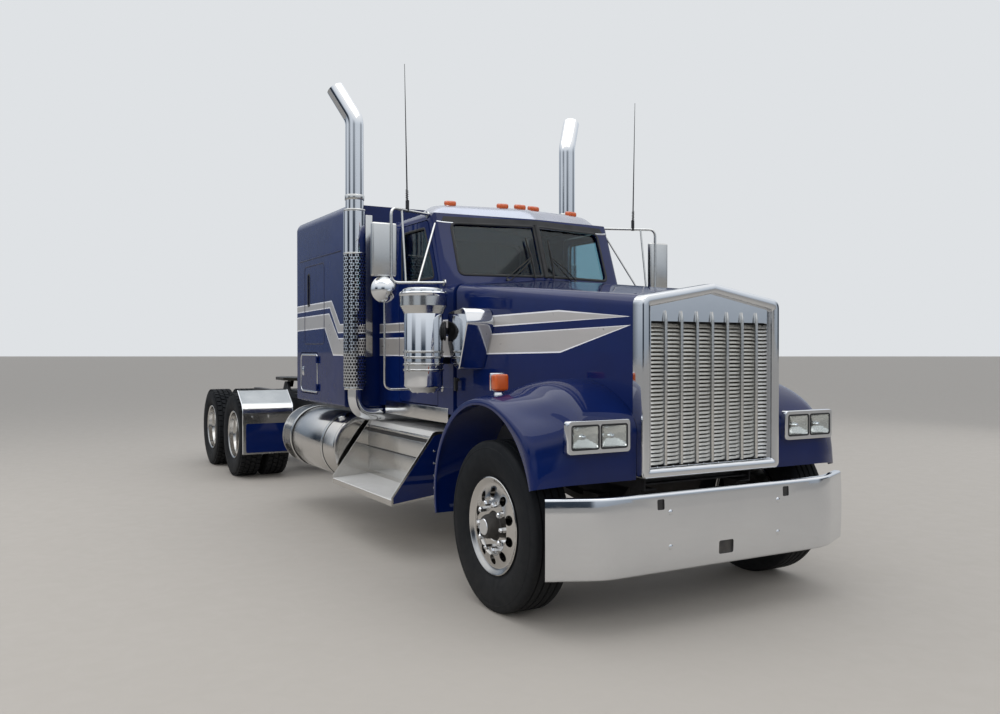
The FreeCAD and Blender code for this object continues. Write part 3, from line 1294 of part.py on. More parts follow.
def doors():
    """Each door with its window, glass and handle."""
    made = body("door")
    shape = sketch(made, "XZ_Plane", ("0", "0", "cab_half - wall"))
    outline(shape, door_outline("0"))
    pad(made, shape, "wall")
    window = sketch(made, "XZ_Plane", ("0", "0", "cab_half - wall"))
    front, back = "axle_x - door_front", "axle_x - door_back"
    outline(window, [
        (f"{front} - window_edge", "window_low", "30"),
        (f"{front} - window_edge - door_lean", "door_top - window_edge", "40"),
        (f"{back} + window_edge", "door_top - window_edge", "40"),
        (f"{back} + window_edge", "window_low", "30"),
    ])
    pocket(made, window, "3 * wall", midplane=True)
    grip = sketch(made, "XZ_Plane", ("0", "0", "cab_half"))
    outline(grip, [
        (f"{back} + 60", "window_low - 150", "10"), (f"{back} + 230", "window_low - 150", "10"),
        (f"{back} + 230", "window_low - 110", "10"), (f"{back} + 60", "window_low - 110", "10"),
    ])
    pad(made, grip, "24")
    knuckles, bores = hinge_knuckles("door", "cab_half", "door_front", DOOR_HINGES)
    made = cut("door_right", fuse("door_parts", [made, *knuckles]), bores)
    keep("door_right", made)
    keep("door_left", mirror("door_left", made))
    pane = body("door_glass")
    sheet = sketch(pane, "XZ_Plane", ("0", "0", "cab_half - wall / 2"))
    gap = "seat_gap"
    outline(sheet, [
        (f"{front} - window_edge - {gap}", f"window_low + {gap}", "30"),
        (f"{front} - window_edge - door_lean - {gap}", f"door_top - window_edge - {gap}", "40"),
        (f"{back} + window_edge + {gap}", f"door_top - window_edge - {gap}", "40"),
        (f"{back} + window_edge + {gap}", f"window_low + {gap}", "30"),
    ])
    pad(pane, sheet, "glass_t", midplane=True)
    keep("door_glass_right", pane)
    keep("door_glass_left", mirror("door_glass_left", pane))


def fixed_glass():
    """The two windscreen panes and the sleeper's slot windows."""
    gap, t = num("seat_gap"), num("glass_t")
    lean = num("screen_rake / (brow_z - cowl_z)")
    panes = []
    for name, side in (("right", -1), ("left", 1)):
        sweep = num("screen_sweep / cab_half")
        foot = Vector(num("axle_x - screen_x") - num("wall") / 2, 0, num("cowl_z"))
        along, up = Vector(-sweep, side, 0) * 2000, Vector(-lean, 0, 1) * 2000
        normal = up.cross(along).normalize() * t
        corners = [foot - up / 2, foot - up / 2 + along, foot + up + along, foot + up]
        slab = Part.Face(Part.makePolygon([*corners, corners[0]])).extrude(normal)
        opening = prism(f"pane_{name}", "YZ_Plane", screen_outline(str(side), "seat_gap"),
                        "axle_x - 2 * screen_x", "2 * screen_x")
        DOC.recompute()
        panes.append(slab.common(opening.Shape))
    slots = []
    for side in (-1, 1):
        y = side * num("sleeper_half - wall / 2")
        slots.append(Part.makeBox(
            num("slot_w") - 2 * gap, t, num("slot_top - slot_low") - 2 * gap,
            Vector(num("axle_x - slot_x - slot_w / 2") + gap, y - t / 2, num("slot_low") + gap)))
    keep("fixed_glass", solid_feature("fixed_glass", Part.makeCompound(panes + slots)))


def interior():
    """Dashboard with the steering wheel, and the two seats."""
    dash = body("dash")
    front = "axle_x - cab_front - wall"
    side = sketch(dash, "XZ_Plane")
    outline(side, [
        (f"{front} - seat_gap", "cowl_z - 170"), (f"{front} - seat_gap", "1500"),
        (f"{front} - 370", "1560", "40"), (f"{front} - 460", "1960", "60"),
        (f"{front} - 330", "cowl_z - 70", "40"),
    ])
    pad(dash, side, "2 * (cab_half - wall - seat_gap)", midplane=True)
    dash = common("dashboard", [dash, cab_space("dash_space", "(wall + seat_gap)")])
    keep("dashboard", dash)
    DOC.recompute()
    centre = Vector(num(front) - 560, 400, num("cowl_z") - 130)
    wheel = Part.makeTorus(225, 15, centre, Vector(-0.55, 0, 0.83))
    hub = Part.makeCylinder(60, 40, centre - Vector(-0.55, 0, 0.83) * 20, Vector(-0.55, 0, 0.83))
    bars = []
    for turn in (90, 210, 330):
        bar = Part.makeBox(230, 30, 12, Vector(0, -15, -6))
        bar.rotate(Vector(), Vector(0, 0, 1), turn)
        bar.Placement = Placement(centre, Rotation(Vector(0, 0, 1), Vector(-0.55, 0, 0.83))).multiply(bar.Placement)
        bars.append(bar)
    column = Part.makeCylinder(30, 330, centre, Vector(0.80, 0, -0.60))
    shape = wheel.multiFuse([hub, *bars, column])
    near = dash.Shape.copy()
    near.translate(Vector(-1.5 * num("seat_gap"), 0, 0))
    shape = shape.cut([dash.Shape, near])
    shape = sorted(shape.Solids, key=lambda s: -s.Volume)[0]
    keep("steering_wheel", solid_feature("steering_wheel", shape))
    seats = []
    for y in (-430, 430):
        x = num("axle_x - seat_x") + 130
        z = num("cab_low + wall") + 0.3
        base = Part.makeBox(380, 380, 330, Vector(x + 40, y - 190, z))
        cushion = Part.makeBox(500, 500, 130, Vector(x, y - 250, z + 330))
        back = Part.makeBox(130, 500, 720, Vector(x - 100, y - 250, z + 400))
        back.rotate(Vector(x, y, z + 400), Vector(0, 1, 0), -8)
        seats.append(base.multiFuse([cushion, back]).removeSplitter())
    keep("seats", solid_feature("seats", Part.makeCompound(seats)))


def sleeper():
    """The sleeper shell with lid openings, slot windows and its opening to the cab."""
    made = body("sleeper_box")
    front, back = "axle_x - sleeper_front", "axle_x - sleeper_back"

    def section(inset, radius):
        """The sleeper's cross section, inset all round."""
        return [
            (f"-(sleeper_half - {inset})", f"sleeper_low + {inset}", "20"),
            (f"sleeper_half - {inset}", f"sleeper_low + {inset}", "20"),
            (f"sleeper_half - {inset}", f"sleeper_top - {inset}", radius),
            (f"-(sleeper_half - {inset})", f"sleeper_top - {inset}", radius),
        ]

    outer = outline(sketch(made, "YZ_Plane", ("0", "0", back)), section("0", "sleeper_edge_r"))
    pad(made, outer, "sleeper_back - sleeper_front")
    room = outline(sketch(made, "YZ_Plane", ("0", "0", f"{front} - wall")),
                   section("wall", "sleeper_edge_r - wall + 10"))
    pocket(made, room, "sleeper_back - sleeper_front - 2 * wall")
    lid = sketch(made, "XZ_Plane")
    outline(lid, locker_outline("-shut_gap"))
    pocket(made, lid, "4 * sleeper_half", midplane=True)
    slot = sketch(made, "XZ_Plane")
    outline(slot, [
        ("axle_x - slot_x - slot_w / 2", "slot_low"), ("axle_x - slot_x + slot_w / 2", "slot_low"),
        ("axle_x - slot_x + slot_w / 2", "slot_top"), ("axle_x - slot_x - slot_w / 2", "slot_top"),
    ])
    pocket(made, slot, "4 * sleeper_half", midplane=True)
    opening = sketch(made, "YZ_Plane", ("0", "0", front))
    outline(opening, [
        ("-620", "cab_low + 120", "60"), ("620", "cab_low + 120", "60"),
        ("620", "roof_z - 190", "90"), ("-620", "roof_z - 190", "90"),
    ])
    pocket(made, opening, "3 * wall", midplane=True)
    for x in ("sleeper_front + 200", "sleeper_back - 300"):
        sill = sketch(made, "XY_Plane", ("0", "0", "rail_top"))
        outline(sill, [
            (f"axle_x - ({x})", "-rail_y"), (f"axle_x - ({x}) - 90", "-rail_y"),
            (f"axle_x - ({x}) - 90", "rail_y"), (f"axle_x - ({x})", "rail_y"),
        ])
        pad(made, sill, "sleeper_low - rail_top + 1")
    boot = sketch(made, "YZ_Plane", ("0", "0", front))
    outline(boot, [
        ("-700", "cab_low + 50", "60"), ("700", "cab_low + 50", "60"),
        ("700", "roof_z - 110", "90"), ("-700", "roof_z - 110", "90"),
    ])
    outline(boot, [
        ("-640", "cab_low + 110", "60"), ("640", "cab_low + 110", "60"),
        ("640", "roof_z - 170", "90"), ("-640", "roof_z - 170", "90"),
    ])
    pad(made, boot, "sleeper_front - cab_back - seat_gap")
    pins = hinge_pins("lid", "sleeper_half", "locker_front", LID_HINGES)
    keep("sleeper_shell", fuse("sleeper_shell", [made, *pins]))
    door = body("locker_lid")
    shape = sketch(door, "XZ_Plane", ("0", "0", "sleeper_half - wall"))
    outline(shape, locker_outline("0"))
    pad(door, shape, "wall")
    knuckles, bores = hinge_knuckles("lid", "sleeper_half", "locker_front", LID_HINGES)
    door = cut("locker_lid_right", fuse("lid_parts", [door, *knuckles]), bores)
    keep("locker_lid_right", door)
    keep("locker_lid_left", mirror("locker_lid_left", door))


def locker_outline(gap):
    """The luggage lid's outline, smaller by gap or larger where gap is negative."""
    front, back = "axle_x - locker_front", "axle_x - locker_back"
    return [
        (f"{back} + ({gap})", f"locker_low + ({gap})", "40"), (f"{front} - ({gap})", f"locker_low + ({gap})", "40"),
        (f"{front} - ({gap})", f"locker_top - ({gap})", "40"), (f"{back} + ({gap})", f"locker_top - ({gap})", "40"),
    ]


def visor():
    """The sun visor: a swept sheet on three feet over the windscreen's head, with the marker lamps on it."""
    made = body("visor_blade")
    root = "axle_x - screen_x - screen_rake"
    stations = []
    for y, lip, mid, high in (("-visor_half", "-50", "-14", "20"), ("-visor_half + 170", "-60", "90", "125"),
                              ("0", "-65", "90", "125"), ("visor_half - 170", "-60", "90", "125"),
                              ("visor_half", "-50", "-14", "20")):
        swept = f"{root} - screen_sweep / cab_half * abs({y})"
        section = sketch(made, "XZ_Plane", ("0", "0", f"-({y})"))
        outline(section, [
            (f"{swept} + 20", f"brow_z + ({lip})"), (f"{swept} - 130", f"brow_z + ({mid})"),
            (f"{swept} - 320", f"brow_z + ({high})"), (f"{swept} - 320", f"brow_z + ({high}) - visor_t"),
            (f"{swept} - 127", f"brow_z + ({mid}) - visor_t"), (f"{swept} + 14", f"brow_z + ({lip}) - visor_t"),
        ])
        stations.append(section)
    loft = made.newObject("PartDesign::AdditiveLoft", "visor_loft")
    loft.Profile = stations[0]
    loft.Sections = stations[1:]
    loft.Ruled = True
    made.Tip = loft
    feet = [block(f"visor_foot_{i}", (f"{root} - 300 - {back}", y, "brow_z - 20"),
                  (f"{root} - 270 - {back}", f"{y} + 50", "brow_z + 121 - visor_t"))
            for i, (y, back) in enumerate((("-600", "120"), ("-25", "0"), ("550", "120")))]
    blade = cut("visor_on_roof", fuse("visor_parts", [made, *feet]), CLEARANCE["cab"])
    DOC.recompute()
    keep("visor", solid_feature("visor", max(blade.Shape.Solids, key=lambda part: part.Volume)))
    DOC.recompute()
    roof = body("roof_lamp")
    pod = sketch(roof, "XZ_Plane")
    top, sheet = f"{root} - 130", "brow_z + 90 + {} * 35 / 190"
    outline(pod, [
        (f"{top} - 140", sheet.format("140") + " - 2"), (f"{top} - 50", sheet.format("50") + " - 2"),
        (f"{top} - 62", sheet.format("62") + " + 46", "16"), (f"{top} - 130", sheet.format("130") + " + 44", "16"),
    ])
    pad(roof, pod, "100", midplane=True)
    lampset = []
    for i, y in enumerate(("-590", "-150", "0", "150", "590")):
        lamp = placed(f"roof_lamp_{i}", roof, f"-screen_sweep / cab_half * abs({y})", y, "0")
        lampset.append(cut(f"roof_lamp_seated_{i}", lamp, PIECES["visor"]))
    keep("marker_lamps", group("marker_lamps", lampset))


# Pieces on the sides


def stacks():
    """Exhaust stacks with turned-out tips, heat shields and lower elbows."""
    x, y = num("axle_x - stack_x"), -num("stack_y")
    low, top, wall = num("elbow_z"), num("stack_top"), num("stack_wall")
    r, er = num("stack_r"), num("elbow_r")
    upper = tube("stack_pipe", [Vector(x, y, low + 330), Vector(x, y, top), Vector(x - 120, y - 130, top + 280)],
                 [190], r, r - wall)
    lower = tube("stack_elbow", [Vector(x, y, low + 340), Vector(x, y, low), Vector(x, -num("rail_y") - 190, low),
                                 Vector(x + 480, -num("rail_y") - 90, low)], [170, 150], er)
    shield = Part.makeCylinder(num("shield_r"), 1330, Vector(x, y, low + 240))
    shield = shield.cut(Part.makeCylinder(r + 0.2, 1330, Vector(x, y, low + 240)))
    lower_cap = Part.makeCylinder(r, 12, Vector(x, y, low + 330))
    shape = upper.Shape.multiFuse([lower.Shape, shield, lower_cap])
    bracket = Part.makeBox(num("sleeper_front - stack_x"), 60, 40,
                           Vector(num("axle_x - sleeper_front"), y - 30, 2250))
    shape = shape.fuse(bracket.cut(Part.makeCylinder(r - wall / 2, 4000, Vector(x, y, 0))))
    for leftover in ("stack_pipe", "stack_elbow"):
        DOC.removeObject(leftover)
    pair("exhaust_stacks", solid_feature("exhaust_stack_right", shape.removeSplitter()))


def tanks():
    """Fuel tanks with domed ends, straps and rail brackets."""
    made = body("tank")
    turned = sketch(made, "XY_Plane", ("0", "-tank_y", "tank_z"))
    front, back = "axle_x - tank_front", "axle_x - tank_back"
    outline(turned, [
        (f"{back} + 0", "0"), (back, "tank_r - 90"), (f"{back} + 30", "tank_r - 22", "60"),
        (f"{back} + 60", "tank_r"), (f"{front} - 60", "tank_r"), (f"{front} - 30", "tank_r - 22", "60"),
        (front, "tank_r - 90"), (front, "0"),
    ])
    revolve(made, turned)
    for x in (f"{back} + 330", f"{front} - 330"):
        strap = sketch(made, "XY_Plane", ("0", "-tank_y", "tank_z"))
        outline(strap, [(f"{x} - 32", "tank_r - 5"), (f"{x} + 32", "tank_r - 5"),
                        (f"{x} + 32", "tank_r + 6"), (f"{x} - 32", "tank_r + 6")])
        revolve(made, strap)
        bracket = sketch(made, "XY_Plane", ("0", "0", "tank_z - tank_r + 90"))
        outline(bracket, [(f"{x} - 32", "-rail_y"), (f"{x} + 32", "-rail_y"),
                          (f"{x} + 32", "-tank_y + tank_r / 2"), (f"{x} - 32", "-tank_y + tank_r / 2")])
        pad(made, bracket, "rail_top - 50 - (tank_z - tank_r + 90)")
    pair("fuel_tanks", made)


def steps():
    """Two-level steps under each door, closed by sloping end plates."""
    made = body("step_box")
    side = sketch(made, "YZ_Plane", ("0", "0", "axle_x - step_back"))
    outline(side, [
        ("-rail_y", "step_top"), ("-rail_y - 400", "step_top", "12"), ("-rail_y - 425", "step_top - 60"),
        ("-rail_y - 425", "step_low + 70"), ("-step_out", "step_low + 50", "8"), ("-step_out", "step_low"),
        ("-rail_y", "step_low + 100"),
    ])
    pad(made, side, "step_back - step_front")
    for x in ("axle_x - step_back", "axle_x - step_front - deck_t"):
        end = sketch(made, "YZ_Plane", ("0", "0", x))
        outline(end, [
            ("-rail_y - 400", "step_top"), ("-rail_y - 425", "step_top - 10"), ("-step_out", "step_low + 70"),
            ("-step_out", "step_low"), ("-rail_y", "step_low + 100"), ("-rail_y", "step_top"),
        ])
        pad(made, end, "deck_t")
    pair("side_steps", made)


def air_cleaners():
    """Outside air cleaner canisters with lids, bands, ducts and cowl brackets."""
    made = body("canister")
    turned = sketch(made, "XZ_Plane", ("axle_x - cleaner_x", "0", "cleaner_y"))
    low, top = "cleaner_low", "cleaner_top"
    rows = [
        ("0", low), ("cleaner_r - 45", low), ("cleaner_r - 20", f"{low} + 30"), ("cleaner_r", f"{low} + 40"),
        ("cleaner_r", f"{low} + 150"), ("cleaner_r + 7", f"{low} + 152"), ("cleaner_r + 7", f"{low} + 170"),
        ("cleaner_r", f"{low} + 172"), ("cleaner_r", f"{low} + 240"), ("cleaner_r + 7", f"{low} + 242"),
        ("cleaner_r + 7", f"{low} + 260"), ("cleaner_r", f"{low} + 262"), ("cleaner_r", f"{top} - 190"),
        ("cleaner_r + 30", f"{top} - 130"), ("cleaner_r + 30", f"{top} - 36"),
        ("cleaner_r + 10", f"{top} - 30"), ("cleaner_r + 10", f"{top} - 8"), ("cleaner_r - 20", top), ("0", top),
    ]
    outline(turned, rows)
    revolve(made, turned, "V_Axis")
    for z in ("cleaner_low + 200", "cleaner_top - 330"):
        arm = sketch(made, "XY_Plane", ("0", "0", z))
        outline(arm, [
            ("axle_x - cab_front - 60", "-cab_half + 10"), ("axle_x - cab_front - 120", "-cab_half + 10"),
            ("axle_x - cleaner_x - 20", "-cleaner_y + 20"), ("axle_x - cleaner_x + 40", "-cleaner_y + 20"),
        ])
        pad(made, arm, "50")
    centre = Vector(num("axle_x - cleaner_x"), -num("cleaner_y"), num("cleaner_low") + 440)
    mouth = Vector(num("axle_x - duct_back") + 30, -num("duct_out") + 75, centre.z)
    neck = solid_feature("duct_neck", Part.makeCylinder(68, (mouth - centre).Length, centre, mouth - centre))
    ahead = block("duct_room", ("axle_x - duct_back - 6", "-cleaner_y", "duct_low"),
                  ("axle_x - duct_front", "-hood_nose_half", "duct_top"))
    parts = fuse("air_cleaner_parts", [made, cut("duct_neck_trimmed", neck, ahead)])
    pair("air_cleaners", cut("air_cleaner_right", parts, CLEARANCE["cab"]))


def intake_covers():
    """Covers on the hood's sides that take air to the cleaners."""
    cover = prism("duct_cover", "XZ_Plane", [
        ("axle_x - duct_back", "duct_top - 30", "30"), ("axle_x - duct_front - 40", "duct_top", "60"),
        ("axle_x - duct_front", "duct_top - 110", "60"), ("axle_x - duct_front - 130", "duct_low", "30"),
        ("axle_x - duct_back + 60", "duct_low + 60", "30"), ("axle_x - duct_back", "duct_low + 200", "60"),
    ], "-duct_out", "duct_out - hood_nose_half")
    inside = solid_feature("duct_clearance", hood_envelope(num("seat_gap")))
    pair("intake_covers", cut("duct_trimmed", cover, inside))


def mirrors():
    """Mirror brackets on the cab's front pillars with flat and round mirrors and aerials."""
    x, y, r = num("axle_x - mirror_x"), -num("mirror_y"), num("arm_r")
    low, high = num("mirror_low"), num("mirror_low + mirror_h")
    side, pillar = -num("cab_half"), num("axle_x - screen_x - screen_rake - screen_sweep")
    roof, foot = Vector(pillar - 70, side + 30, num("door_top") + 48), Vector(x + 70, side + 6, low - 35)
    top, bottom = Vector(x, y, num("door_top") + 38), Vector(x, y, low - 45)
    loop = tube("arm_loop", [roof, top, bottom, foot], [60, 60], r)

    def between(a, b, radius):
        """A straight tube from point to point."""
        return Part.makeCylinder(radius, (b - a).Length, a, b - a)

    inner_top, inner_low = top + (roof - top) * 0.26, bottom + (foot - bottom) * 0.27
    brace = between(bottom + (foot - bottom) * 0.5, Vector(pillar + 20, side + 30, high + 45), r - 3)
    post = between(inner_low, inner_top, r - 3)
    width, depth = num("mirror_w"), 50
    head = Part.makeBox(depth, width, high - low, Vector(x - depth, y - 50 - width / 2, low))
    head = head.makeFillet(14, head.Edges)
    eye = Vector(x - 30, y - 50, low - 95)
    bowl = Part.makeSphere(100, eye, Vector(1, 0, 0), 0, 90, 360)
    stub = between(eye + Vector(40, 0, 0), bottom, 9)
    grab = tube("grab_rod", [eye + Vector(20, 0, -60), Vector(x - 10, y - 50, num("grab_low")),
                             Vector(x + 40, side + 6, num("grab_low"))], [60], 8)
    base = inner_top + (roof - top) * 0.14 + Vector(0, 0, 8)
    tall = num("aerial_top") - base.z
    aerial = Part.makeCone(7, 2.5, tall, base, Vector(0, -0.02, 1))
    socket = Part.makeCylinder(14, 90, base - Vector(0, 0, 20))
    shape = loop.Shape.multiFuse([brace, post, head, bowl, stub, grab.Shape, aerial, socket])
    for leftover in ("arm_loop", "grab_rod"):
        DOC.removeObject(leftover)
    solids = sorted(shape.cut(CLEARANCE["cab"].Shape).Solids, key=lambda part: -part.Volume)
    pair("mirrors", solid_feature("mirror_right", solids[0]))


def quarter_fenders():
    """Plates that guard the first drive tyres, bent over at the top, on rail brackets."""
    made = body("quarter_fender")
    face = f"{AXLE_1} + tyre_r + 70"
    side = sketch(made, "XZ_Plane", ("0", "0", "dual_y - dual_gap / 2 - tyre_w / 2"))
    outline(side, [
        (face, "bumper_bottom"), (f"{face} + 3", "bumper_bottom"), (f"{face} + 3", "2 * tyre_r - 150", "170"),
        (f"{face} - 260", "2 * tyre_r + 45"), (f"{face} - 260", "2 * tyre_r + 42"),
        (face, "2 * tyre_r - 153", "167"),
    ])
    pad(made, side, "dual_gap + tyre_w")
    arm = sketch(made, "YZ_Plane", ("0", "0", f"{face} + 3"))
    outline(arm, [
        ("-rail_y - seat_gap", "rail_bottom + 2"), ("-rail_y - seat_gap", "rail_bottom + 48"),
        ("-dual_y", "rail_bottom + 48"), ("-dual_y", "rail_bottom + 2"),
    ])
    pad(made, arm, "40")
    pair("quarter_fenders", made)


def build():
    """Builds every piece in order."""
    wheels()
    front_axle()
    knuckles()
    tie_rod()
    front_springs()
    frame()
    engine()
    radiator()
    drive_axles()
    rear_suspension()
    fifth_wheel()
    rear_bar()
    bumper()
    hood()
    fenders()
    grille()
    cab()
    lamps()
    doors()
    DOC.recompute()
    fixed_glass()
    interior()
    sleeper()
    visor()
    stacks()
    tanks()
    steps()
    air_cleaners()
    intake_covers()
    mirrors()
    quarter_fenders()
    DOC.recompute()


def check_and_write():
    """Stops on any failed object, then writes each piece."""
    failed = [o.Name for o in DOC.Objects if {"Invalid", "Error"} & set(o.State)]
    failed += [label for label, o in PIECES.items() if o.Shape.isNull() or not o.Shape.isValid()]
    if failed:
        raise SystemExit(f"failed: {failed}")
    os.makedirs("parts", exist_ok=True)
    for label, piece in PIECES.items():
        piece.Shape.exportStep(f"parts/{label}.step")
        print(label, len(piece.Shape.Solids), round(piece.Shape.Volume / 1e6, 2))


build()
check_and_write()
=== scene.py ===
"""A long-nose highway tractor with a box sleeper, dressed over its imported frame."""

import logging
import math
from dataclasses import dataclass, field
from enum import Enum
from typing import Any, Callable, Sequence

import bmesh
import bpy
from mathutils import Matrix, Vector


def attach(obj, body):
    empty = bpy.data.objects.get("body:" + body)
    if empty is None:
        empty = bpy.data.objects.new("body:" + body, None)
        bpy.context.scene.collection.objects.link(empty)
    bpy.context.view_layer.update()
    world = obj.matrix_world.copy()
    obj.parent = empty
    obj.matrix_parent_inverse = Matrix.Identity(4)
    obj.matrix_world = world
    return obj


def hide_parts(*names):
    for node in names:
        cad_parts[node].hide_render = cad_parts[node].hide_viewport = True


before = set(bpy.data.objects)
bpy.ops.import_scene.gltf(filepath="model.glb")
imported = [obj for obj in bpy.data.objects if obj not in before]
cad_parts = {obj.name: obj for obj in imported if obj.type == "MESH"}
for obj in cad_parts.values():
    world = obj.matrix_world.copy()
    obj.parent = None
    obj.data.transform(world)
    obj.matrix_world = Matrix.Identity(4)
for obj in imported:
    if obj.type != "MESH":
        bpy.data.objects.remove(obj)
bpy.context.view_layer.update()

LOG = logging.getLogger("tractor")
SIDES = {"right": -1, "left": 1}
Point = tuple[float, float]
Place = Callable[[float, float, float], Vector]
Object = bpy.types.Object
BMesh = bmesh.types.BMesh
Tree = bpy.types.NodeTree
Socket = bpy.types.NodeSocket
# Edges sharper than this angle in degrees stay sharp, where a piece doesn't give its own.
CREASE = 32.0
# Turns for a part that is made standing on the origin along Z.
UPRIGHT = Matrix()
FORWARD = Matrix.Rotation(math.pi / 2, 4, "Y")


# Colours and materials


def linear(code: str) -> tuple[float, float, float, float]:
    """Turns an sRGB hex colour into linear light.

    Args:
        code: Six hex digits with a leading hash.

    Returns:
        Red, green, blue and alpha in linear light.
    """
    channels = [int(code[i : i + 2], 16) / 255 for i in (1, 3, 5)]
    bent = [c / 12.92 if c <= 0.04045 else ((c + 0.055) / 1.055) ** 2.4 for c in channels]
    return (*bent, 1.0)


def add_node(tree: Tree, kind: str, settings: dict[str | int, Any] | None = None,
             links: dict[str | int, Socket] | None = None) -> bpy.types.Node:
    """Adds a node with its settings and links.

    Args:
        tree: The tree that gets the node.
        kind: The node's type name.
        settings: Attributes of the node, or values of its inputs by name or number.
        links: Output sockets to join to its inputs by name or number.

    Returns:
        The new node.
    """
    made = tree.nodes.new(kind)
    for key, value in (settings or {}).items():
        if isinstance(key, str) and hasattr(made, key):
            setattr(made, key, value)
        else:
            made.inputs[key].default_value = value
    for key, socket in (links or {}).items():
        tree.links.new(socket, made.inputs[key])
    return made


class Surface(Enum):
    """How a surface was made, which sets its fine pattern."""

    SPRAYED = "sprayed"
    PLATED = "plated"
    BRUSHED = "brushed"
    CAST = "cast"
    MOULDED = "moulded"
    WOVEN = "woven"


@dataclass(frozen=True)
class Finish:
    """One finish: its colours, its shine and the pattern its making leaves."""

    name: str
    slot: str
    colour: str
    second: str
    surface: Surface
    metallic: float = 0.0
    roughness: float = 0.5
    spread: float = 0.08
    pattern_mm: float = 1.0
    bump_mm: float = 0.1
    blend: float = 0.35
    coat: float = 0.0
    coat_ior: float = 1.5
    clear: float = 0.0
    ior: float = 1.5
    glow: float = 0.0
    dust: float = 0.0

    def material(self) -> bpy.types.Material:
        """Builds the finish's material once and hands it out again after that.

        Returns:
            The material.
        """
        known = bpy.data.materials.get(self.name)
        if known:
            return known
        made = bpy.data.materials.new(self.name)
        made.use_nodes = True
        tree = made.node_tree
        tree.nodes.clear()
        place = add_node(tree, "ShaderNodeTexCoord").outputs["Object"]
        shader = add_node(tree, "ShaderNodeBsdfPrincipled", {
            "Metallic": self.metallic, "Coat Weight": self.coat, "Coat Roughness": 0.03,
            "Coat IOR": self.coat_ior, "Transmission Weight": self.clear,
        })
        if not self.metallic:
            shader.inputs["IOR"].default_value = self.ior
        if self.glow:
            shader.inputs["Emission Color"].default_value = linear(self.colour)
            shader.inputs["Emission Strength"].default_value = self.glow
        tree.links.new(self._colour(tree, place), shader.inputs["Base Color"])
        tree.links.new(self._roughness(tree, place), shader.inputs["Roughness"])
        tree.links.new(self._bump(tree, place), shader.inputs["Normal"])
        add_node(tree, "ShaderNodeOutputMaterial", links={"Surface": shader.outputs["BSDF"]})
        return made

    def _colour(self, tree: Tree, place: Socket) -> Socket:
        """Blends the two colours in soft patches, and greys the lowest parts where road dust lies.

        Args:
            tree: The material's tree.
            place: The place on the object.

        Returns:
            The colour.
        """
        patches = add_node(tree, "ShaderNodeTexNoise", {"Scale": 2.5, "Detail": 5.0, "Roughness": 0.6},
                           {"Vector": place})
        amount = add_node(tree, "ShaderNodeMapRange",
                          {"From Min": 0.35, "From Max": 0.75, "To Max": self.blend},
                          {"Value": patches.outputs["Fac"]})
        colours = {"data_type": "RGBA", 6: linear(self.colour), 7: linear(self.second)}
        mixed = add_node(tree, "ShaderNodeMix", colours, {0: amount.outputs["Result"]})
        if not self.dust:
            return mixed.outputs[2]
        height = add_node(tree, "ShaderNodeSeparateXYZ", links={"Vector": place})
        low = add_node(tree, "ShaderNodeMapRange", {"From Min": 0.95, "From Max": 0.15, "To Max": self.dust},
                       {"Value": height.outputs["Z"]})
        grit = add_node(tree, "ShaderNodeTexNoise", {"Scale": 30.0, "Detail": 4.0}, {"Vector": place})
        film = add_node(tree, "ShaderNodeMath", {"operation": "MULTIPLY"},
                        {0: low.outputs["Result"], 1: grit.outputs["Fac"]})
        return add_node(tree, "ShaderNodeMix", {"data_type": "RGBA", 7: linear("#7d766c")},
                        {0: film.outputs["Value"], 6: mixed.outputs[2]}).outputs[2]

    def _roughness(self, tree: Tree, place: Socket) -> Socket:
        """Varies the roughness in smears, as wiping and weather leave it.

        Args:
            tree: The material's tree.
            place: The place on the object.

        Returns:
            The roughness.
        """
        smears = add_node(tree, "ShaderNodeTexNoise", {"Scale": 7.0, "Detail": 6.0, "Distortion": 0.6},
                          {"Vector": place})
        low, high = max(0.02, self.roughness - self.spread), min(1.0, self.roughness + self.spread)
        return add_node(tree, "ShaderNodeMapRange",
                        {"From Min": 0.3, "From Max": 0.7, "To Min": low, "To Max": high},
                        {"Value": smears.outputs["Fac"]}).outputs["Result"]

    def _bump(self, tree: Tree, place: Socket) -> Socket:
        """Makes the relief that the surface's making leaves, sized from millimetres.

        Args:
            tree: The material's tree.
            place: The place on the object.

        Returns:
            The bent normal.
        """
        scale = 1000 / self.pattern_mm
        if self.surface is Surface.WOVEN:
            across = add_node(tree, "ShaderNodeTexWave", {"Scale": scale / 6.3, "bands_direction": "X"},
                              {"Vector": place})
            along = add_node(tree, "ShaderNodeTexWave", {"Scale": scale / 6.3, "bands_direction": "Z"},
                             {"Vector": place})
            height = add_node(tree, "ShaderNodeMath", {"operation": "MAXIMUM"},
                              {0: across.outputs["Fac"], 1: along.outputs["Fac"]}).outputs["Value"]
        elif self.surface is Surface.BRUSHED:
            drawn = add_node(tree, "ShaderNodeMapping", {"Scale": (0.04, 1.0, 1.0)}, {"Vector": place})
            height = add_node(tree, "ShaderNodeTexNoise", {"Scale": scale, "Detail": 2.0},
                              {"Vector": drawn.outputs["Vector"]}).outputs["Fac"]
        elif self.surface is Surface.MOULDED:
            cells = add_node(tree, "ShaderNodeTexVoronoi", {"Scale": scale}, {"Vector": place})
            height = cells.outputs["Distance"]
        else:
            detail = 8.0 if self.surface is Surface.CAST else 1.0
            height = add_node(tree, "ShaderNodeTexNoise", {"Scale": scale, "Detail": detail},
                              {"Vector": place}).outputs["Fac"]
        return add_node(tree, "ShaderNodeBump", {"Strength": 0.6, "Distance": self.bump_mm / 1000},
                        {"Height": height}).outputs["Normal"]


# The fine patterns, such as orange peel, brushed grain and casting pits, are drawn coarser than real ones,
# as coarse as they need to show.

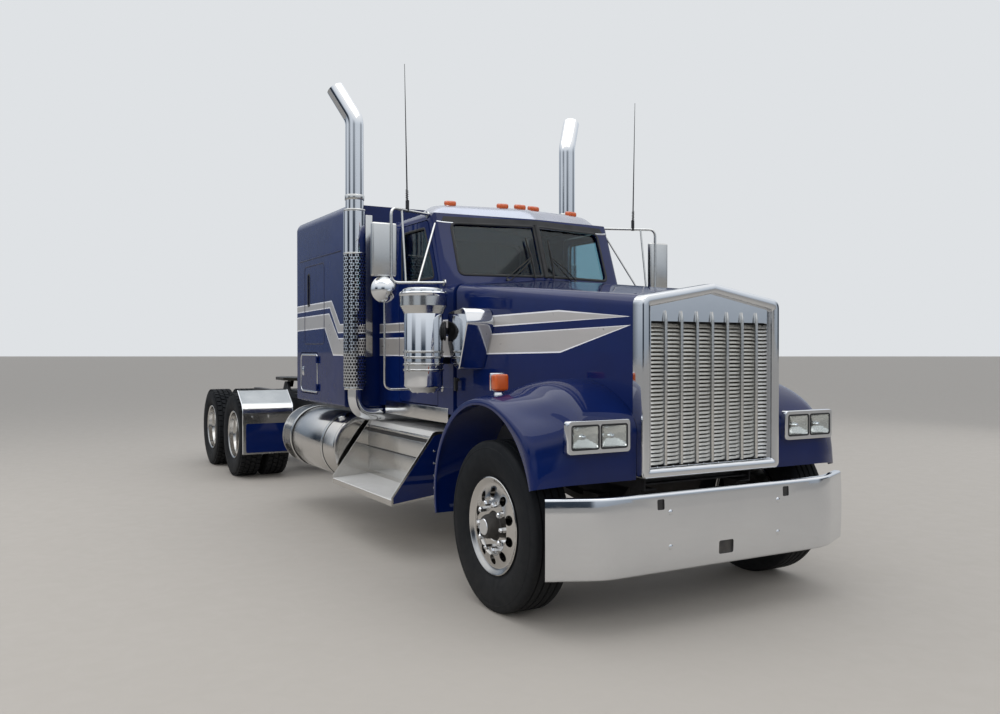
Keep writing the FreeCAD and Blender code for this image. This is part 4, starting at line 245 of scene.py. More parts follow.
# Deep blue base coat under lacquer: dark face on, bright at its glossy edges, with a faint orange peel.
PAINT = Finish("Navy base coat under lacquer", "paint", "#04194e", "#041139", Surface.SPRAYED, 0.0, 0.5,
               pattern_mm=14, bump_mm=0.05, coat=0.8, coat_ior=1.42, ior=1.12, blend=0.5)
# Warm silver stripe paint: a soft metallic glint that stays paler than the blue in any light.
STRIPE = Finish("Warm silver stripe paint", "paint", "#b2aeab", "#a19d9b", Surface.SPRAYED, 0.35, 0.34,
                pattern_mm=14, bump_mm=0.04, coat=1.0)
# White pinstripe paint: the crisp pale line round each stripe.
PINSTRIPE = Finish("White pinstripe enamel", "paint", "#e6e6ea", "#d9d9de", Surface.SPRAYED, 0.0, 0.3,
                   pattern_mm=14, bump_mm=0.03, coat=1.0)
# Chrome plate: a dark-and-bright mirror of the room with only the faintest haze.
CHROME = Finish("Chrome plate on steel", "chrome", "#dfe1e4", "#cfd2d6", Surface.PLATED, 1.0, 0.07, 0.04,
                pattern_mm=60, bump_mm=0.12)
# Polished aluminium: softer than chrome, with a warm grey cast and fine buffing lines.
ALUMINIUM = Finish("Polished aluminium", "aluminium", "#cfcdca", "#b9b6b2", Surface.BRUSHED, 1.0, 0.16, 0.07,
                   pattern_mm=2.5, bump_mm=0.02, dust=0.35)
# Stainless sheet: brighter and flatter than the aluminium, with long drawn grain.
STAINLESS = Finish("Brushed stainless sheet", "chrome", "#d2d2d0", "#bdbdbb", Surface.BRUSHED, 1.0, 0.2, 0.06,
                   pattern_mm=1.6, bump_mm=0.03)
# Bright tread plate: blasted to a pale, matt grip that scatters the light.
TREAD = Finish("Blasted aluminium tread plate", "aluminium", "#dcdbd8", "#cbc9c6", Surface.CAST, 0.35, 0.46,
               0.08, pattern_mm=6, bump_mm=0.25, dust=0.1)
# Visor sheet: satin stainless, its colour tinted lilac as a painted reflection of the sky and darkened so
# that it stays duller than the plated trim.
VISOR_SHEET = Finish("Satin stainless visor sheet", "chrome", "#a9acb6", "#9a9da8", Surface.BRUSHED, 1.0,
                     0.26, 0.06, pattern_mm=1.6, bump_mm=0.03)
# Chassis enamel: satin black with a dusty grey film near the road.
CHASSIS_BLACK = Finish("Satin black chassis enamel", "black", "#15161a", "#202126", Surface.SPRAYED, 0.0,
                       0.45, pattern_mm=9, bump_mm=0.15, dust=0.5)
# Cast iron in oil and dust: dull, dark and pitted.
IRON = Finish("Cast iron under road dust", "iron", "#2a2a2c", "#3b3834", Surface.CAST, 0.55, 0.62, 0.12,
              pattern_mm=7, bump_mm=0.8, dust=0.55)
# Tyre tread and sidewall: nearly black, matt, slightly brown with dust toward the road.
TYRE = Finish("Vulcanised tyre rubber", "tyre", "#0d1014", "#15171b", Surface.CAST, 0.0, 0.7, 0.08,
              pattern_mm=5, bump_mm=0.3, dust=0.07, ior=1.28)
# Black rubber of flaps, seals and bellows: smoother than the tyres.
RUBBER = Finish("Moulded black rubber", "rubber", "#17181a", "#222326", Surface.MOULDED, 0.0, 0.58,
                pattern_mm=3, bump_mm=0.1, dust=0.3)
# Laminated safety glass: clear with a faint green-grey tint.
GLASS = Finish("Laminated safety glass", "glass", "#a6c6d0", "#98b8c2", Surface.PLATED, 0.0, 0.03, 0.015,
               pattern_mm=400, bump_mm=0.02, clear=1.0, ior=1.32)
# Pressed lamp glass: clear with a slight ripple.
LAMP_GLASS = Finish("Pressed clear lamp glass", "glass", "#eef2f4", "#e2e8ea", Surface.PLATED, 0.0, 0.05,
                    0.02, pattern_mm=30, bump_mm=0.4, clear=1.0, ior=1.49)
# Amber acrylic: saturated orange that glows where light passes.
AMBER = Finish("Amber acrylic lens", "amber", "#cf5a14", "#b2450e", Surface.MOULDED, 0.0, 0.16, 0.04,
               pattern_mm=7, bump_mm=0.5, coat=0.5, clear=0.3, glow=0.03)
# Vacuum-silvered reflector bowl: a warm bright mirror with the faint waves of pressed glass.
REFLECTOR = Finish("Silvered lamp reflector", "chrome", "#f0eee8", "#e6e4de", Surface.MOULDED, 1.0, 0.1, 0.04,
                   pattern_mm=16, bump_mm=0.8)
# Mirror glass: a near-perfect reflection.
MIRROR = Finish("Silvered mirror glass", "chrome", "#eceff0", "#e2e6e8", Surface.PLATED, 1.0, 0.02, 0.01,
                pattern_mm=500, bump_mm=0.02)
# Soot inside the pipes: soft black. It also paints the shade in the pipes' mouths and behind the shields'
# holes.
SOOT_AND_SHADE = Finish("Soot and painted shade on steel", "iron", "#0c0b0b", "#161412", Surface.CAST, 0.1, 0.9, 0.06,
              pattern_mm=6, bump_mm=0.6)
# Greased steel of the coupling plate: dark, wet-looking streaks.
GREASED = Finish("Greased coupling steel", "iron", "#26241f", "#3a362e", Surface.CAST, 0.8, 0.36, 0.14,
                 pattern_mm=11, bump_mm=0.5)
# Dark joint sealant between the sleeper's panels.
SEAM = Finish("Joint sealant under paint", "paint", "#0c1236", "#080d28", Surface.SPRAYED, 0.1, 0.4,
              pattern_mm=12, bump_mm=0.05)
# Grained dark vinyl of the dashboard and the door linings.
VINYL = Finish("Grained dark vinyl", "trim", "#2a2826", "#221f1e", Surface.MOULDED, 0.0, 0.6,
               pattern_mm=2.2, bump_mm=0.15)
# Woven seat cloth in a warm grey.
SEAT_CLOTH = Finish("Woven seat cloth", "cloth", "#4a4642", "#3c3936", Surface.WOVEN, 0.0, 0.9,
                    pattern_mm=3, bump_mm=0.4)


# Meshes


def mesh_object(name: str, mesh: bpy.types.Mesh) -> Object:
    """Links a new object at the origin that shows a mesh."""
    made = bpy.data.objects.new(name, mesh)
    bpy.context.scene.collection.objects.link(made)
    return made


def weld(bm: BMesh, distance: float = 1e-6) -> None:
    """Joins the points that lie closer together than a distance."""
    bmesh.ops.remove_doubles(bm, verts=bm.verts, dist=distance)


def shade(bm: BMesh, crease: float = CREASE) -> None:
    """Smooths every face and keeps sharp edges.

    Args:
        bm: The mesh.
        crease: Edges sharper than this angle in degrees stay sharp.
    """
    limit = math.radians(crease)
    for face in bm.faces:
        face.smooth = True
    for edge in bm.edges:
        edge.smooth = len(edge.link_faces) == 2 and edge.calc_face_angle(0.0) < limit


def finished(name: str, bm: BMesh, crease: float = CREASE, outward: bool = True) -> Object:
    """Turns a finished bmesh into an object.

    Args:
        name: The object's name.
        bm: The mesh, which is freed here.
        crease: Edges sharper than this angle in degrees stay sharp.
        outward: Whether the normals are worked out again.

    Returns:
        The new object.
    """
    if outward:
        weld(bm)
        bmesh.ops.recalc_face_normals(bm, faces=bm.faces)
    shade(bm, crease)
    mesh = bpy.data.meshes.new(name)
    bm.to_mesh(mesh)
    bm.free()
    return mesh_object(name, mesh)


def skin(rings: Sequence[Sequence[Vector]], loop: bool = True, caps: bool = True) -> BMesh:
    """Joins rings of equal length by quads.

    Args:
        rings: The rings of points, in order.
        loop: Whether each ring closes on itself.
        caps: Whether the first and last rings are filled.

    Returns:
        The new bmesh.
    """
    bm = bmesh.new()
    rows = [[bm.verts.new(point) for point in ring] for ring in rings]
    count = len(rows[0])
    for low, high in zip(rows, rows[1:]):
        for i in range(count if loop else count - 1):
            j = (i + 1) % count
            bm.faces.new((low[i], low[j], high[j], high[i]))
    if caps:
        bm.faces.new(rows[0])
        bm.faces.new(rows[-1])
    return bm


def lathe(profile: Sequence[Point], centre: Vector, axis: str, steps: int = 64,
          closed: bool = False) -> BMesh:
    """Turns a profile of (along, radius) points about an axis.

    Args:
        profile: Places along the axis and radii, in metres.
        centre: The point on the axis where along is zero.
        axis: "X", "Y" or "Z".
        steps: How many segments one turn has.
        closed: Whether the last point joins the first, as on a tyre.

    Returns:
        The turned bmesh, with its poles closed.
    """
    rings = []
    for i in range(steps):
        turn = 2 * math.pi * i / steps
        c, s = math.cos(turn), math.sin(turn)
        places = {"X": lambda a, r: (a, r * c, r * s), "Y": lambda a, r: (r * c, a, r * s),
                  "Z": lambda a, r: (r * c, r * s, a)}[axis]
        rings.append([centre + Vector(places(a, r)) for a, r in profile])
    bm = skin([*rings, rings[0]], loop=closed, caps=False)
    weld(bm, 1e-5)
    ends = [edge for edge in bm.edges if edge.is_boundary]
    if ends:
        bmesh.ops.holes_fill(bm, edges=ends)
    return bm


def curve_through(points: Sequence[Sequence[float]], between: int = 6) -> list[tuple[float, ...]]:
    """Runs a smooth line through points of any dimension.

    Args:
        points: The points it goes through.
        between: How many steps there are from each point to the next.

    Returns:
        The line's points.
    """
    ends = [points[0], *points, points[-1]]
    line: list[tuple[float, ...]] = []
    for four in zip(ends, ends[1:], ends[2:], ends[3:]):
        for i in range(between):
            t = i / between
            line.append(tuple(0.5 * (2 * b + (c - a) * t + (2 * a - 5 * b + 4 * c - d) * t**2
                                     + (3 * b - a - 3 * c + d) * t**3) for a, b, c, d in zip(*four)))
    return [*line, tuple(points[-1])]


def rounded_path(points: Sequence[Vector], radius: float, steps: int = 8) -> list[Vector]:
    """Runs straight from point to point and rounds the corners.

    Args:
        points: The ends and corners.
        radius: The corners' radius, or less where a run is short.
        steps: How many segments a corner has.

    Returns:
        The path's points.
    """
    path = [points[0]]
    for before, here, after in zip(points, points[1:], points[2:]):
        back, ahead = (before - here).normalized(), (after - here).normalized()
        half = back.angle(ahead) / 2
        reach = min(radius / math.tan(half), 0.48 * (before - here).length, 0.48 * (after - here).length)
        start, end = here + back * reach, here + ahead * reach
        for i in range(steps + 1):
            t = i / steps
            path.append(start * (1 - t) ** 2 + here * 2 * t * (1 - t) + end * t * t)
    return [*path, points[-1]]


def sweep(path: Sequence[Vector], radius: float | Callable[[float], float],
          sides: int = 16) -> BMesh:
    """Sweeps a circle along a path.

    Args:
        path: The points of the centreline.
        radius: One radius, or a radius for each share of the way from 0 to 1.
        sides: How many sides the circle has.

    Returns:
        The closed tube.
    """
    rings, normal = [], None
    for i, here in enumerate(path):
        ahead = (path[min(i + 1, len(path) - 1)] - path[max(i - 1, 0)]).normalized()
        if normal is None:
            normal = ahead.orthogonal().normalized()
        normal = (normal - ahead * normal.dot(ahead)).normalized()
        other = ahead.cross(normal)
        r = radius(i / (len(path) - 1)) if callable(radius) else radius
        rings.append([here + (normal * math.cos(a) + other * math.sin(a)) * r
                      for a in (2 * math.pi * k / sides for k in range(sides))])
    return skin(rings)


def soft_box(low: Sequence[float], high: Sequence[float], radius: float, segments: int = 3) -> BMesh:
    """A box with rounded edges.

    Args:
        low: Its lowest corner.
        high: Its highest corner.
        radius: The edges' radius.
        segments: How many segments an edge has.

    Returns:
        The closed box.
    """
    bm = bmesh.new()
    bmesh.ops.create_cube(bm, size=1.0)
    size, middle = Vector(high) - Vector(low), (Vector(high) + Vector(low)) / 2
    for vert in bm.verts:
        vert.co = Vector(c * s for c, s in zip(vert.co, size)) + middle
    if radius:
        bmesh.ops.bevel(bm, geom=bm.edges[:], offset=radius, segments=segments, profile=0.5,
                        affect="EDGES")
    return bm


def rounded_outline(corners: Sequence[tuple[float, float, float]], steps: int = 6) -> list[Point]:
    """A closed outline with rounded corners.

    Args:
        corners: The corners as (a, b, radius).
        steps: How many segments a corner has.

    Returns:
        The outline's points.
    """
    line: list[Point] = []
    count = len(corners)
    for i, (a, b, radius) in enumerate(corners):
        here = Vector((a, b))
        back = (Vector(corners[i - 1][:2]) - here).normalized()
        ahead = (Vector(corners[(i + 1) % count][:2]) - here).normalized()
        if radius <= 0:
            line.append((a, b))
            continue
        reach = radius / math.tan(max(back.angle(ahead), 0.05) / 2)
        start, end = here + back * reach, here + ahead * reach
        for k in range(steps + 1):
            t = k / steps
            spot = start * (1 - t) ** 2 + here * 2 * t * (1 - t) + end * t * t
            line.append((spot.x, spot.y))
    return line


def oblong(a0: float, a1: float, b0: float, b1: float, radius: float, steps: int = 6) -> list[Point]:
    """The outline of a rectangle with rounded corners, from a0 to a1 and from b0 to b1."""
    return rounded_outline([(a0, b0, radius), (a1, b0, radius), (a1, b1, radius), (a0, b1, radius)], steps)


def hoop(start: float, width: float, radii: tuple[float, float, float], soft: float) -> list[Point]:
    """A strap's section as (along, radius) points.

    Args:
        start: Where the strap begins along its axis.
        width: How wide it is.
        radii: The radii of its inside, its edges and its crown.
        soft: How far in from its edges the crown begins.

    Returns:
        The section's points.
    """
    (inner, edge, crown), end = radii, start + width
    return [(start, inner), (start, edge), (start + soft, crown), (end - soft, crown), (end, edge),
            (end, inner)]


def from_front(a: float, b: float, x: float) -> Vector:
    """Puts an outline seen from the front at a place along the truck."""
    return Vector((x, a, b))


def from_above(a: float, b: float, z: float) -> Vector:
    """Puts an outline seen from above at a height."""
    return Vector((a, b, z))


def sideways(side: int) -> Matrix:
    """The turn that points a part from the centreline out to a side."""
    return Matrix.Rotation(-side * math.pi / 2, 4, "X")


def plate(line: Sequence[Point], place: Place, low: float, high: float) -> BMesh:
    """A flat plate of an outline, from one depth to another.

    Args:
        line: The outline's points.
        place: Puts (a, b, depth) into the room.
        low: The first depth.
        high: The second depth.

    Returns:
        The closed plate.
    """
    return skin([[place(a, b, depth) for a, b in line] for depth in (low, high)])


def merge(*parts: BMesh) -> BMesh:
    """Puts the later meshes into the first and frees them.

    Args:
        parts: The meshes.

    Returns:
        The first mesh, which now holds all of them.
    """
    for extra in parts[1:]:
        mesh = bpy.data.meshes.new("part")
        extra.to_mesh(mesh)
        extra.free()
        parts[0].from_mesh(mesh)
        bpy.data.meshes.remove(mesh)
    return parts[0]


def both(bm: BMesh, outward: bool = True) -> BMesh:
    """Adds a right-hand mesh's twin on the left.

    Args:
        bm: The right-hand mesh.
        outward: Whether its normals are worked out again first.

    Returns:
        The same mesh with both sides in it.
    """
    if outward:
        bmesh.ops.recalc_face_normals(bm, faces=bm.faces)
    mesh = bpy.data.meshes.new("twin")
    bm.to_mesh(mesh)
    twin = bmesh.new()
    twin.from_mesh(mesh)
    bpy.data.meshes.remove(mesh)
    for vert in twin.verts:
        vert.co.y = -vert.co.y
    bmesh.ops.reverse_faces(twin, faces=twin.faces)
    return merge(bm, twin)


def bead(path: Sequence[Vector], out: Vector, width: float, height: float, sides: int = 10) -> BMesh:
    """A rounded bead laid along a closed path on a surface.

    Args:
        path: The points of the closed path.
        out: The direction that points out of the surface.
        width: Half the bead's width on the surface.
        height: How far it stands out, and reaches in.
        sides: How many sides its section has.

    Returns:
        The closed bead.
    """
    rings, count = [], len(path)
    for i, here in enumerate(path):
        ahead = (path[(i + 1) % count] - path[i - 1]).normalized()
        across = ahead.cross(out).normalized()
        rings.append([here + across * width * math.cos(a) + out * height * math.sin(a)
                      for a in (2 * math.pi * k / sides for k in range(sides))])
    bm = skin([*rings, rings[0]], caps=False)
    weld(bm)
    return bm


def side_bead(line: Sequence[Point], y: float, width: float, height: float) -> BMesh:
    """A bead along an outline seen from the side, on the outside at a distance from the centreline."""
    return bead([Vector((a, y, b)) for a, b in line], Vector((0, math.copysign(1, y), 0)), width, height)


def frame_plate(outlines: Sequence[tuple[Sequence[Point], float]], place: Place) -> BMesh:
    """A ring-shaped plate whose section runs through several outlines.

    Args:
        outlines: Outlines with as many points each, and their depths.
        place: Puts (a, b, depth) into the room.

    Returns:
        The closed ring.
    """
    rings = [[place(a, b, depth) for a, b in line] for line, depth in outlines]
    bm = skin([*rings, rings[0]], caps=False)
    weld(bm)
    return bm


def cad_mesh(node: str) -> BMesh:
    """A merged copy of a CAD node's mesh, with flat areas in one face each.

    Args:
        node: The node's name.

    Returns:
        The copy.
    """
    bm = bmesh.new()
    bm.from_mesh(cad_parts[node].data)
    weld(bm, 2e-5)
    bmesh.ops.dissolve_limit(bm, angle_limit=math.radians(0.5), verts=bm.verts, edges=bm.edges)
    return bm


def soften(piece: Object, width_mm: float = 1.5) -> None:
    """Breaks a piece's sharp edges by a small rounded chamfer.

    Args:
        piece: The piece.
        width_mm: How wide the chamfer is.
    """
    bevel = piece.modifiers.new("broken edges", "BEVEL")
    bevel.width = width_mm / 1000
    bevel.segments = 2
    bevel.limit_method = "ANGLE"
    bevel.angle_limit = math.radians(40)
    bevel.use_clamp_overlap = True
    bevel.harden_normals = True


def carve(piece: Object, cutter: Object) -> None:
    """Takes one object's volume out of another and applies the result.

    Args:
        piece: The object that is cut.
        cutter: What is taken out, which is used up.
    """
    modifier = piece.modifiers.new("holes", "BOOLEAN")
    modifier.operation = "DIFFERENCE"
    modifier.solver = "EXACT"
    modifier.object = cutter
    view = bpy.context.evaluated_depsgraph_get()
    mesh = bpy.data.meshes.new_from_object(piece.evaluated_get(view))
    piece.modifiers.remove(modifier)
    old, piece.data = piece.data, mesh
    bpy.data.meshes.remove(old)
    bpy.data.objects.remove(cutter)
    bm = bmesh.new()
    bm.from_mesh(piece.data)
    shade(bm)
    bm.to_mesh(piece.data)
    bm.free()


def paint_band(bm: BMesh, outline: Sequence[Point], index: int, least: float) -> None:
    """Cuts a stripe's outline into the side faces and gives it a material number.

    Args:
        bm: The mesh of the panel.
        outline: The stripe's corners as (x, z) in metres.
        index: The material number of the faces inside.
        least: Faces nearer the centreline than this are left alone.
    """
    xs, zs = [x for x, _ in outline], [z for _, z in outline]

    def beside(face: bmesh.types.BMFace) -> bool:
        """Whether a face is on the panel's outside near the stripe.

        Args:
            face: The face.

        Returns:
            True where it is.
        """
        spot = face.calc_center_median()
        if abs(face.normal.y) < 0.6 or abs(spot.y) < least or face.normal.y * spot.y < 0:
            return False
        fx, fz = [v.co.x for v in face.verts], [v.co.z for v in face.verts]
        return max(fx) > min(xs) and min(fx) < max(xs) and max(fz) > min(zs) and min(fz) < max(zs)

    for (x0, z0), (x1, z1) in zip(outline, [*outline[1:], outline[0]]):
        faces = [face for face in bm.faces if beside(face)]
        around = {*faces, *(e for f in faces for e in f.edges), *(v for f in faces for v in f.verts)}
        bmesh.ops.bisect_plane(bm, geom=list(around), dist=1e-5, plane_co=(x0, 0, z0),
                               plane_no=Vector((z1 - z0, 0, x0 - x1)).normalized())
    for face in bm.faces:
        if beside(face):
            spot = face.calc_center_median()
            if inside(outline, spot.x, spot.z):
                face.material_index = index


def inside(outline: Sequence[Point], x: float, z: float) -> bool:
    """Whether a point lies in an outline.

    Args:
        outline: The outline's corners.
        x: The point's place along the truck.
        z: Its height.

    Returns:
        True where it does.
    """
    odd = False
    for (x0, z0), (x1, z1) in zip(outline, [*outline[1:], outline[0]]):
        if (z0 > z) != (z1 > z) and x < (x1 - x0) * (z - z0) / (z1 - z0) + x0:
            odd = not odd
    return odd


def grown(outline: Sequence[Point], edge: float) -> list[Point]:
    """Moves an outline outwards, corner by corner.

    Args:
        outline: The outline's corners.
        edge: How far, or less than zero for inwards.

    Returns:
        The new corners.
    """
    area = sum(x0 * z1 - x1 * z0 for (x0, z0), (x1, z1) in zip(outline, [*outline[1:], outline[0]]))
    turn = 1 if area > 0 else -1
    moved = []
    for i, here in enumerate(outline):
        before, after = Vector(outline[i - 1]), Vector(outline[(i + 1) % len(outline)])
        spot = Vector(here)
        a, b = (spot - before).normalized(), (after - spot).normalized()
        na, nb = Vector((a.y, -a.x)) * turn, Vector((b.y, -b.x)) * turn
        lift = (na + nb).normalized()
        reach = edge * min(1 / max(lift.dot(na), 0.2), 3.0)
        moved.append(tuple(spot + lift * reach))
    return moved


# Repeats by Geometry Nodes


@dataclass(frozen=True)
class Repeat:
    """Copies of an item in rings or rows, made by a Geometry Nodes tree with named inputs."""

    name: str
    count: int
    rows: int = 1
    rise: Vector = field(default_factory=Vector)
    radius: float = 0.0
    step: Vector = field(default_factory=Vector)

    def tree(self) -> Tree:
        """Builds the tree that sets items in a ring, or in a line where the radius is zero.

        Returns:
            The tree, which is built once for each form.
        """
        title = f"repeat in a {'ring' if self.radius else 'line'}"
        known = bpy.data.node_groups.get(title)
        if known:
            return known
        tree = bpy.data.node_groups.new(title, "GeometryNodeTree")
        tree.interface.new_socket("Geometry", in_out="OUTPUT", socket_type="NodeSocketGeometry")
        for label, sort in (("Item", "Object"), ("Count", "Int"), ("Radius", "Float"), ("Step", "Vector"),
                            ("Rows", "Int"), ("Rise", "Vector"), ("Finish", "Material")):
            tree.interface.new_socket(label, in_out="INPUT", socket_type=f"NodeSocket{sort}")
        given = add_node(tree, "NodeGroupInput").outputs
        item = add_node(tree, "GeometryNodeObjectInfo", links={"Object": given["Item"]}).outputs["Geometry"]
        if self.radius:
            line = add_node(tree, "GeometryNodeMeshCircle",
                            links={"Vertices": given["Count"], "Radius": given["Radius"]})
            share = add_node(tree, "ShaderNodeMath", {"operation": "DIVIDE", 0: 2 * math.pi},
                             {1: given["Count"]})
            index = add_node(tree, "GeometryNodeInputIndex").outputs["Index"]
            angle = add_node(tree, "ShaderNodeMath", {"operation": "MULTIPLY"},
                             {0: index, 1: share.outputs["Value"]})
            turn = add_node(tree, "ShaderNodeCombineXYZ", links={"Z": angle.outputs["Value"]})
            turned = {"Rotation": turn.outputs["Vector"]}
        else:
            line = add_node(tree, "GeometryNodeMeshLine", {"mode": "OFFSET"},
                            {"Count": given["Count"], "Offset": given["Step"]})
            turned = {}
        first = add_node(tree, "GeometryNodeInstanceOnPoints",
                         links={"Points": line.outputs["Mesh"], "Instance": item, **turned})
        rows = add_node(tree, "GeometryNodeMeshLine", {"mode": "OFFSET"},
                        {"Count": given["Rows"], "Offset": given["Rise"]})
        again = add_node(tree, "GeometryNodeInstanceOnPoints",
                         links={"Points": rows.outputs["Mesh"], "Instance": first.outputs["Instances"]})
        real = add_node(tree, "GeometryNodeRealizeInstances", links={"Geometry": again.outputs["Instances"]})
        dressed = add_node(tree, "GeometryNodeSetMaterial",
                           links={"Geometry": real.outputs["Geometry"], "Material": given["Finish"]})
        add_node(tree, "NodeGroupOutput", links={"Geometry": dressed.outputs["Geometry"]})
        return tree

    def mesh(self, item: Object, finish: Finish, place: Matrix) -> bpy.types.Mesh:
        """Runs the tree on an item, which is used up, and puts the result in its place.

        Args:
            item: One copy, at the origin.
            finish: The copies' finish.
            place: Where the pattern's own axes lie in the row frame.

        Returns:
            The plain mesh of all the copies.
        """
        carrier = mesh_object("carrier", bpy.data.meshes.new("carrier"))
        modifier = carrier.modifiers.new("repeat", "NODES")
        modifier.node_group = self.tree()
        values = {"Item": item, "Count": self.count, "Radius": self.radius, "Step": self.step,
                  "Rows": self.rows, "Rise": self.rise, "Finish": finish.material()}
        for socket in modifier.node_group.interface.items_tree:
            if socket.in_out == "INPUT":
                modifier[socket.identifier] = values[socket.name]
        view = bpy.context.evaluated_depsgraph_get()
        made = bpy.data.meshes.new_from_object(carrier.evaluated_get(view))
        made.transform(place)
        made.name = self.name
        bpy.data.objects.remove(carrier)
        bpy.data.objects.remove(item)
        return made


def stud(levels: Sequence[Point], sides: int, turn: Matrix) -> Object:
    """A nut's or rivet's head, which stands on the origin along Z before it is turned.

    Args:
        levels: Its rings as (height, radius), from the foot up.
        sides: How many sides it has.
        turn: The turn that it gets.

    Returns:
        The head.
    """
    angles = [2 * math.pi * i / sides for i in range(sides)]
    rings = [[Vector((r * math.cos(a), r * math.sin(a), z)) for a in angles] for z, r in levels]
    made = finished("stud", skin(rings))
    made.data.transform(turn)
    return made


def hex_nut(radius: float, height: float, turn: Matrix = UPRIGHT) -> Object:
    """A capped hexagonal nut."""
    levels = ((0.0, 1.0), (0.7, 1.0), (0.86, 0.86), (1.0, 0.5))
    return stud([(height * z, radius * r) for z, r in levels], 6, turn)


def dome(radius: float, height: float, sides: int = 10, turn: Matrix = UPRIGHT) -> Object:
    """A low round rivet head."""
    levels = ((0.0, 1.0), (0.6, 0.86), (1.0, 0.4))
    return stud([(height * z, radius * r) for z, r in levels], sides, turn)


# Sub-assemblies


@dataclass
class SubAssembly:
    """What every sub-assembly does with its finished pieces."""

    body: str = "chassis"
    pieces: list[Object] = field(default_factory=list)

    def keep(self, piece: Object, finish: Finish | Sequence[Finish], *nodes: str, body: str = "") -> Object:
        """Dresses a piece, lets it ride and hides the CAD nodes that it stands for.

        Args:
            piece: The finished piece.
            finish: Its finish, or one for each material number.
            nodes: The CAD nodes that it stands for.
            body: The CAD body it moves with, where that isn't the sub-assembly's own.

        Returns:
            The piece.
        """
        finishes = [finish] if isinstance(finish, Finish) else list(finish)
        slots = piece.data.materials
        for number, one in enumerate(finishes):
            if number < len(slots):
                slots[number] = one.material()
            else:
                slots.append(one.material())
        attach(piece, body or self.body)
        if nodes:
            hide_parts(*nodes)
        self.pieces.append(piece)
        return piece

    def add(self, name: str, bm: BMesh, finish: Finish, *nodes: str, body: str = "",
            crease: float = CREASE) -> Object:
        """Keeps a mesh as one piece.

        Args:
            name: The piece's name.
            bm: Its mesh, which is freed here.
            finish: Its finish.
            nodes: The CAD nodes that it stands for.
            body: The CAD body it moves with, where that isn't the sub-assembly's own.
            crease: Edges sharper than this angle in degrees stay sharp.

        Returns:
            The piece.
        """
        return self.keep(finished(name, bm, crease), finish, *nodes, body=body)

    def pair(self, name: str, bm: BMesh, finish: Finish, *nodes: str) -> Object:
        """Keeps a right-hand mesh and its twin on the left as one piece."""
        return self.add(name, both(bm), finish, *nodes)

    def copy(self, node: str, finish: Finish | Sequence[Finish], edge_mm: float = 1.5,
             paint: Callable[[BMesh], None] | None = None, body: str = "") -> Object:
        """A smooth-shaded copy of a CAD node with broken edges, which stands for it.

        Args:
            node: The node's name.
            finish: Its finish, or one for each material number.
            edge_mm: How wide its broken edges are.
            paint: What gives its faces their material numbers.
            body: The CAD body it moves with, where that isn't the sub-assembly's own.

        Returns:
            The piece.
        """
        bm = cad_mesh(node)
        if paint:
            paint(bm)
        piece = finished(f"{node}_dressed", bm, outward=False)
        if edge_mm:
            soften(piece, edge_mm)
        return self.keep(piece, finish, node, body=body)

    def repeat(self, pattern: Repeat, item: Object, finish: Finish, place: Matrix, *nodes: str,
               body: str = "") -> Object:
        """Keeps a pattern's copies as one piece.

        Args:
            pattern: How the copies are set.
            item: One copy, which is used up.
            finish: The copies' finish.
            place: Where the pattern's own axes lie in the row frame.
            nodes: The CAD nodes that they stand for.
            body: The CAD body they move with, where that isn't the sub-assembly's own.

        Returns:
            The piece.
        """
        piece = mesh_object(pattern.name, pattern.mesh(item, finish, place))
        return self.keep(piece, finish, *nodes, body=body)

    def report(self) -> None:
        """Logs each piece by name."""
        for piece in self.pieces:
            LOG.info("%s: %s", type(self).__name__, piece.name)


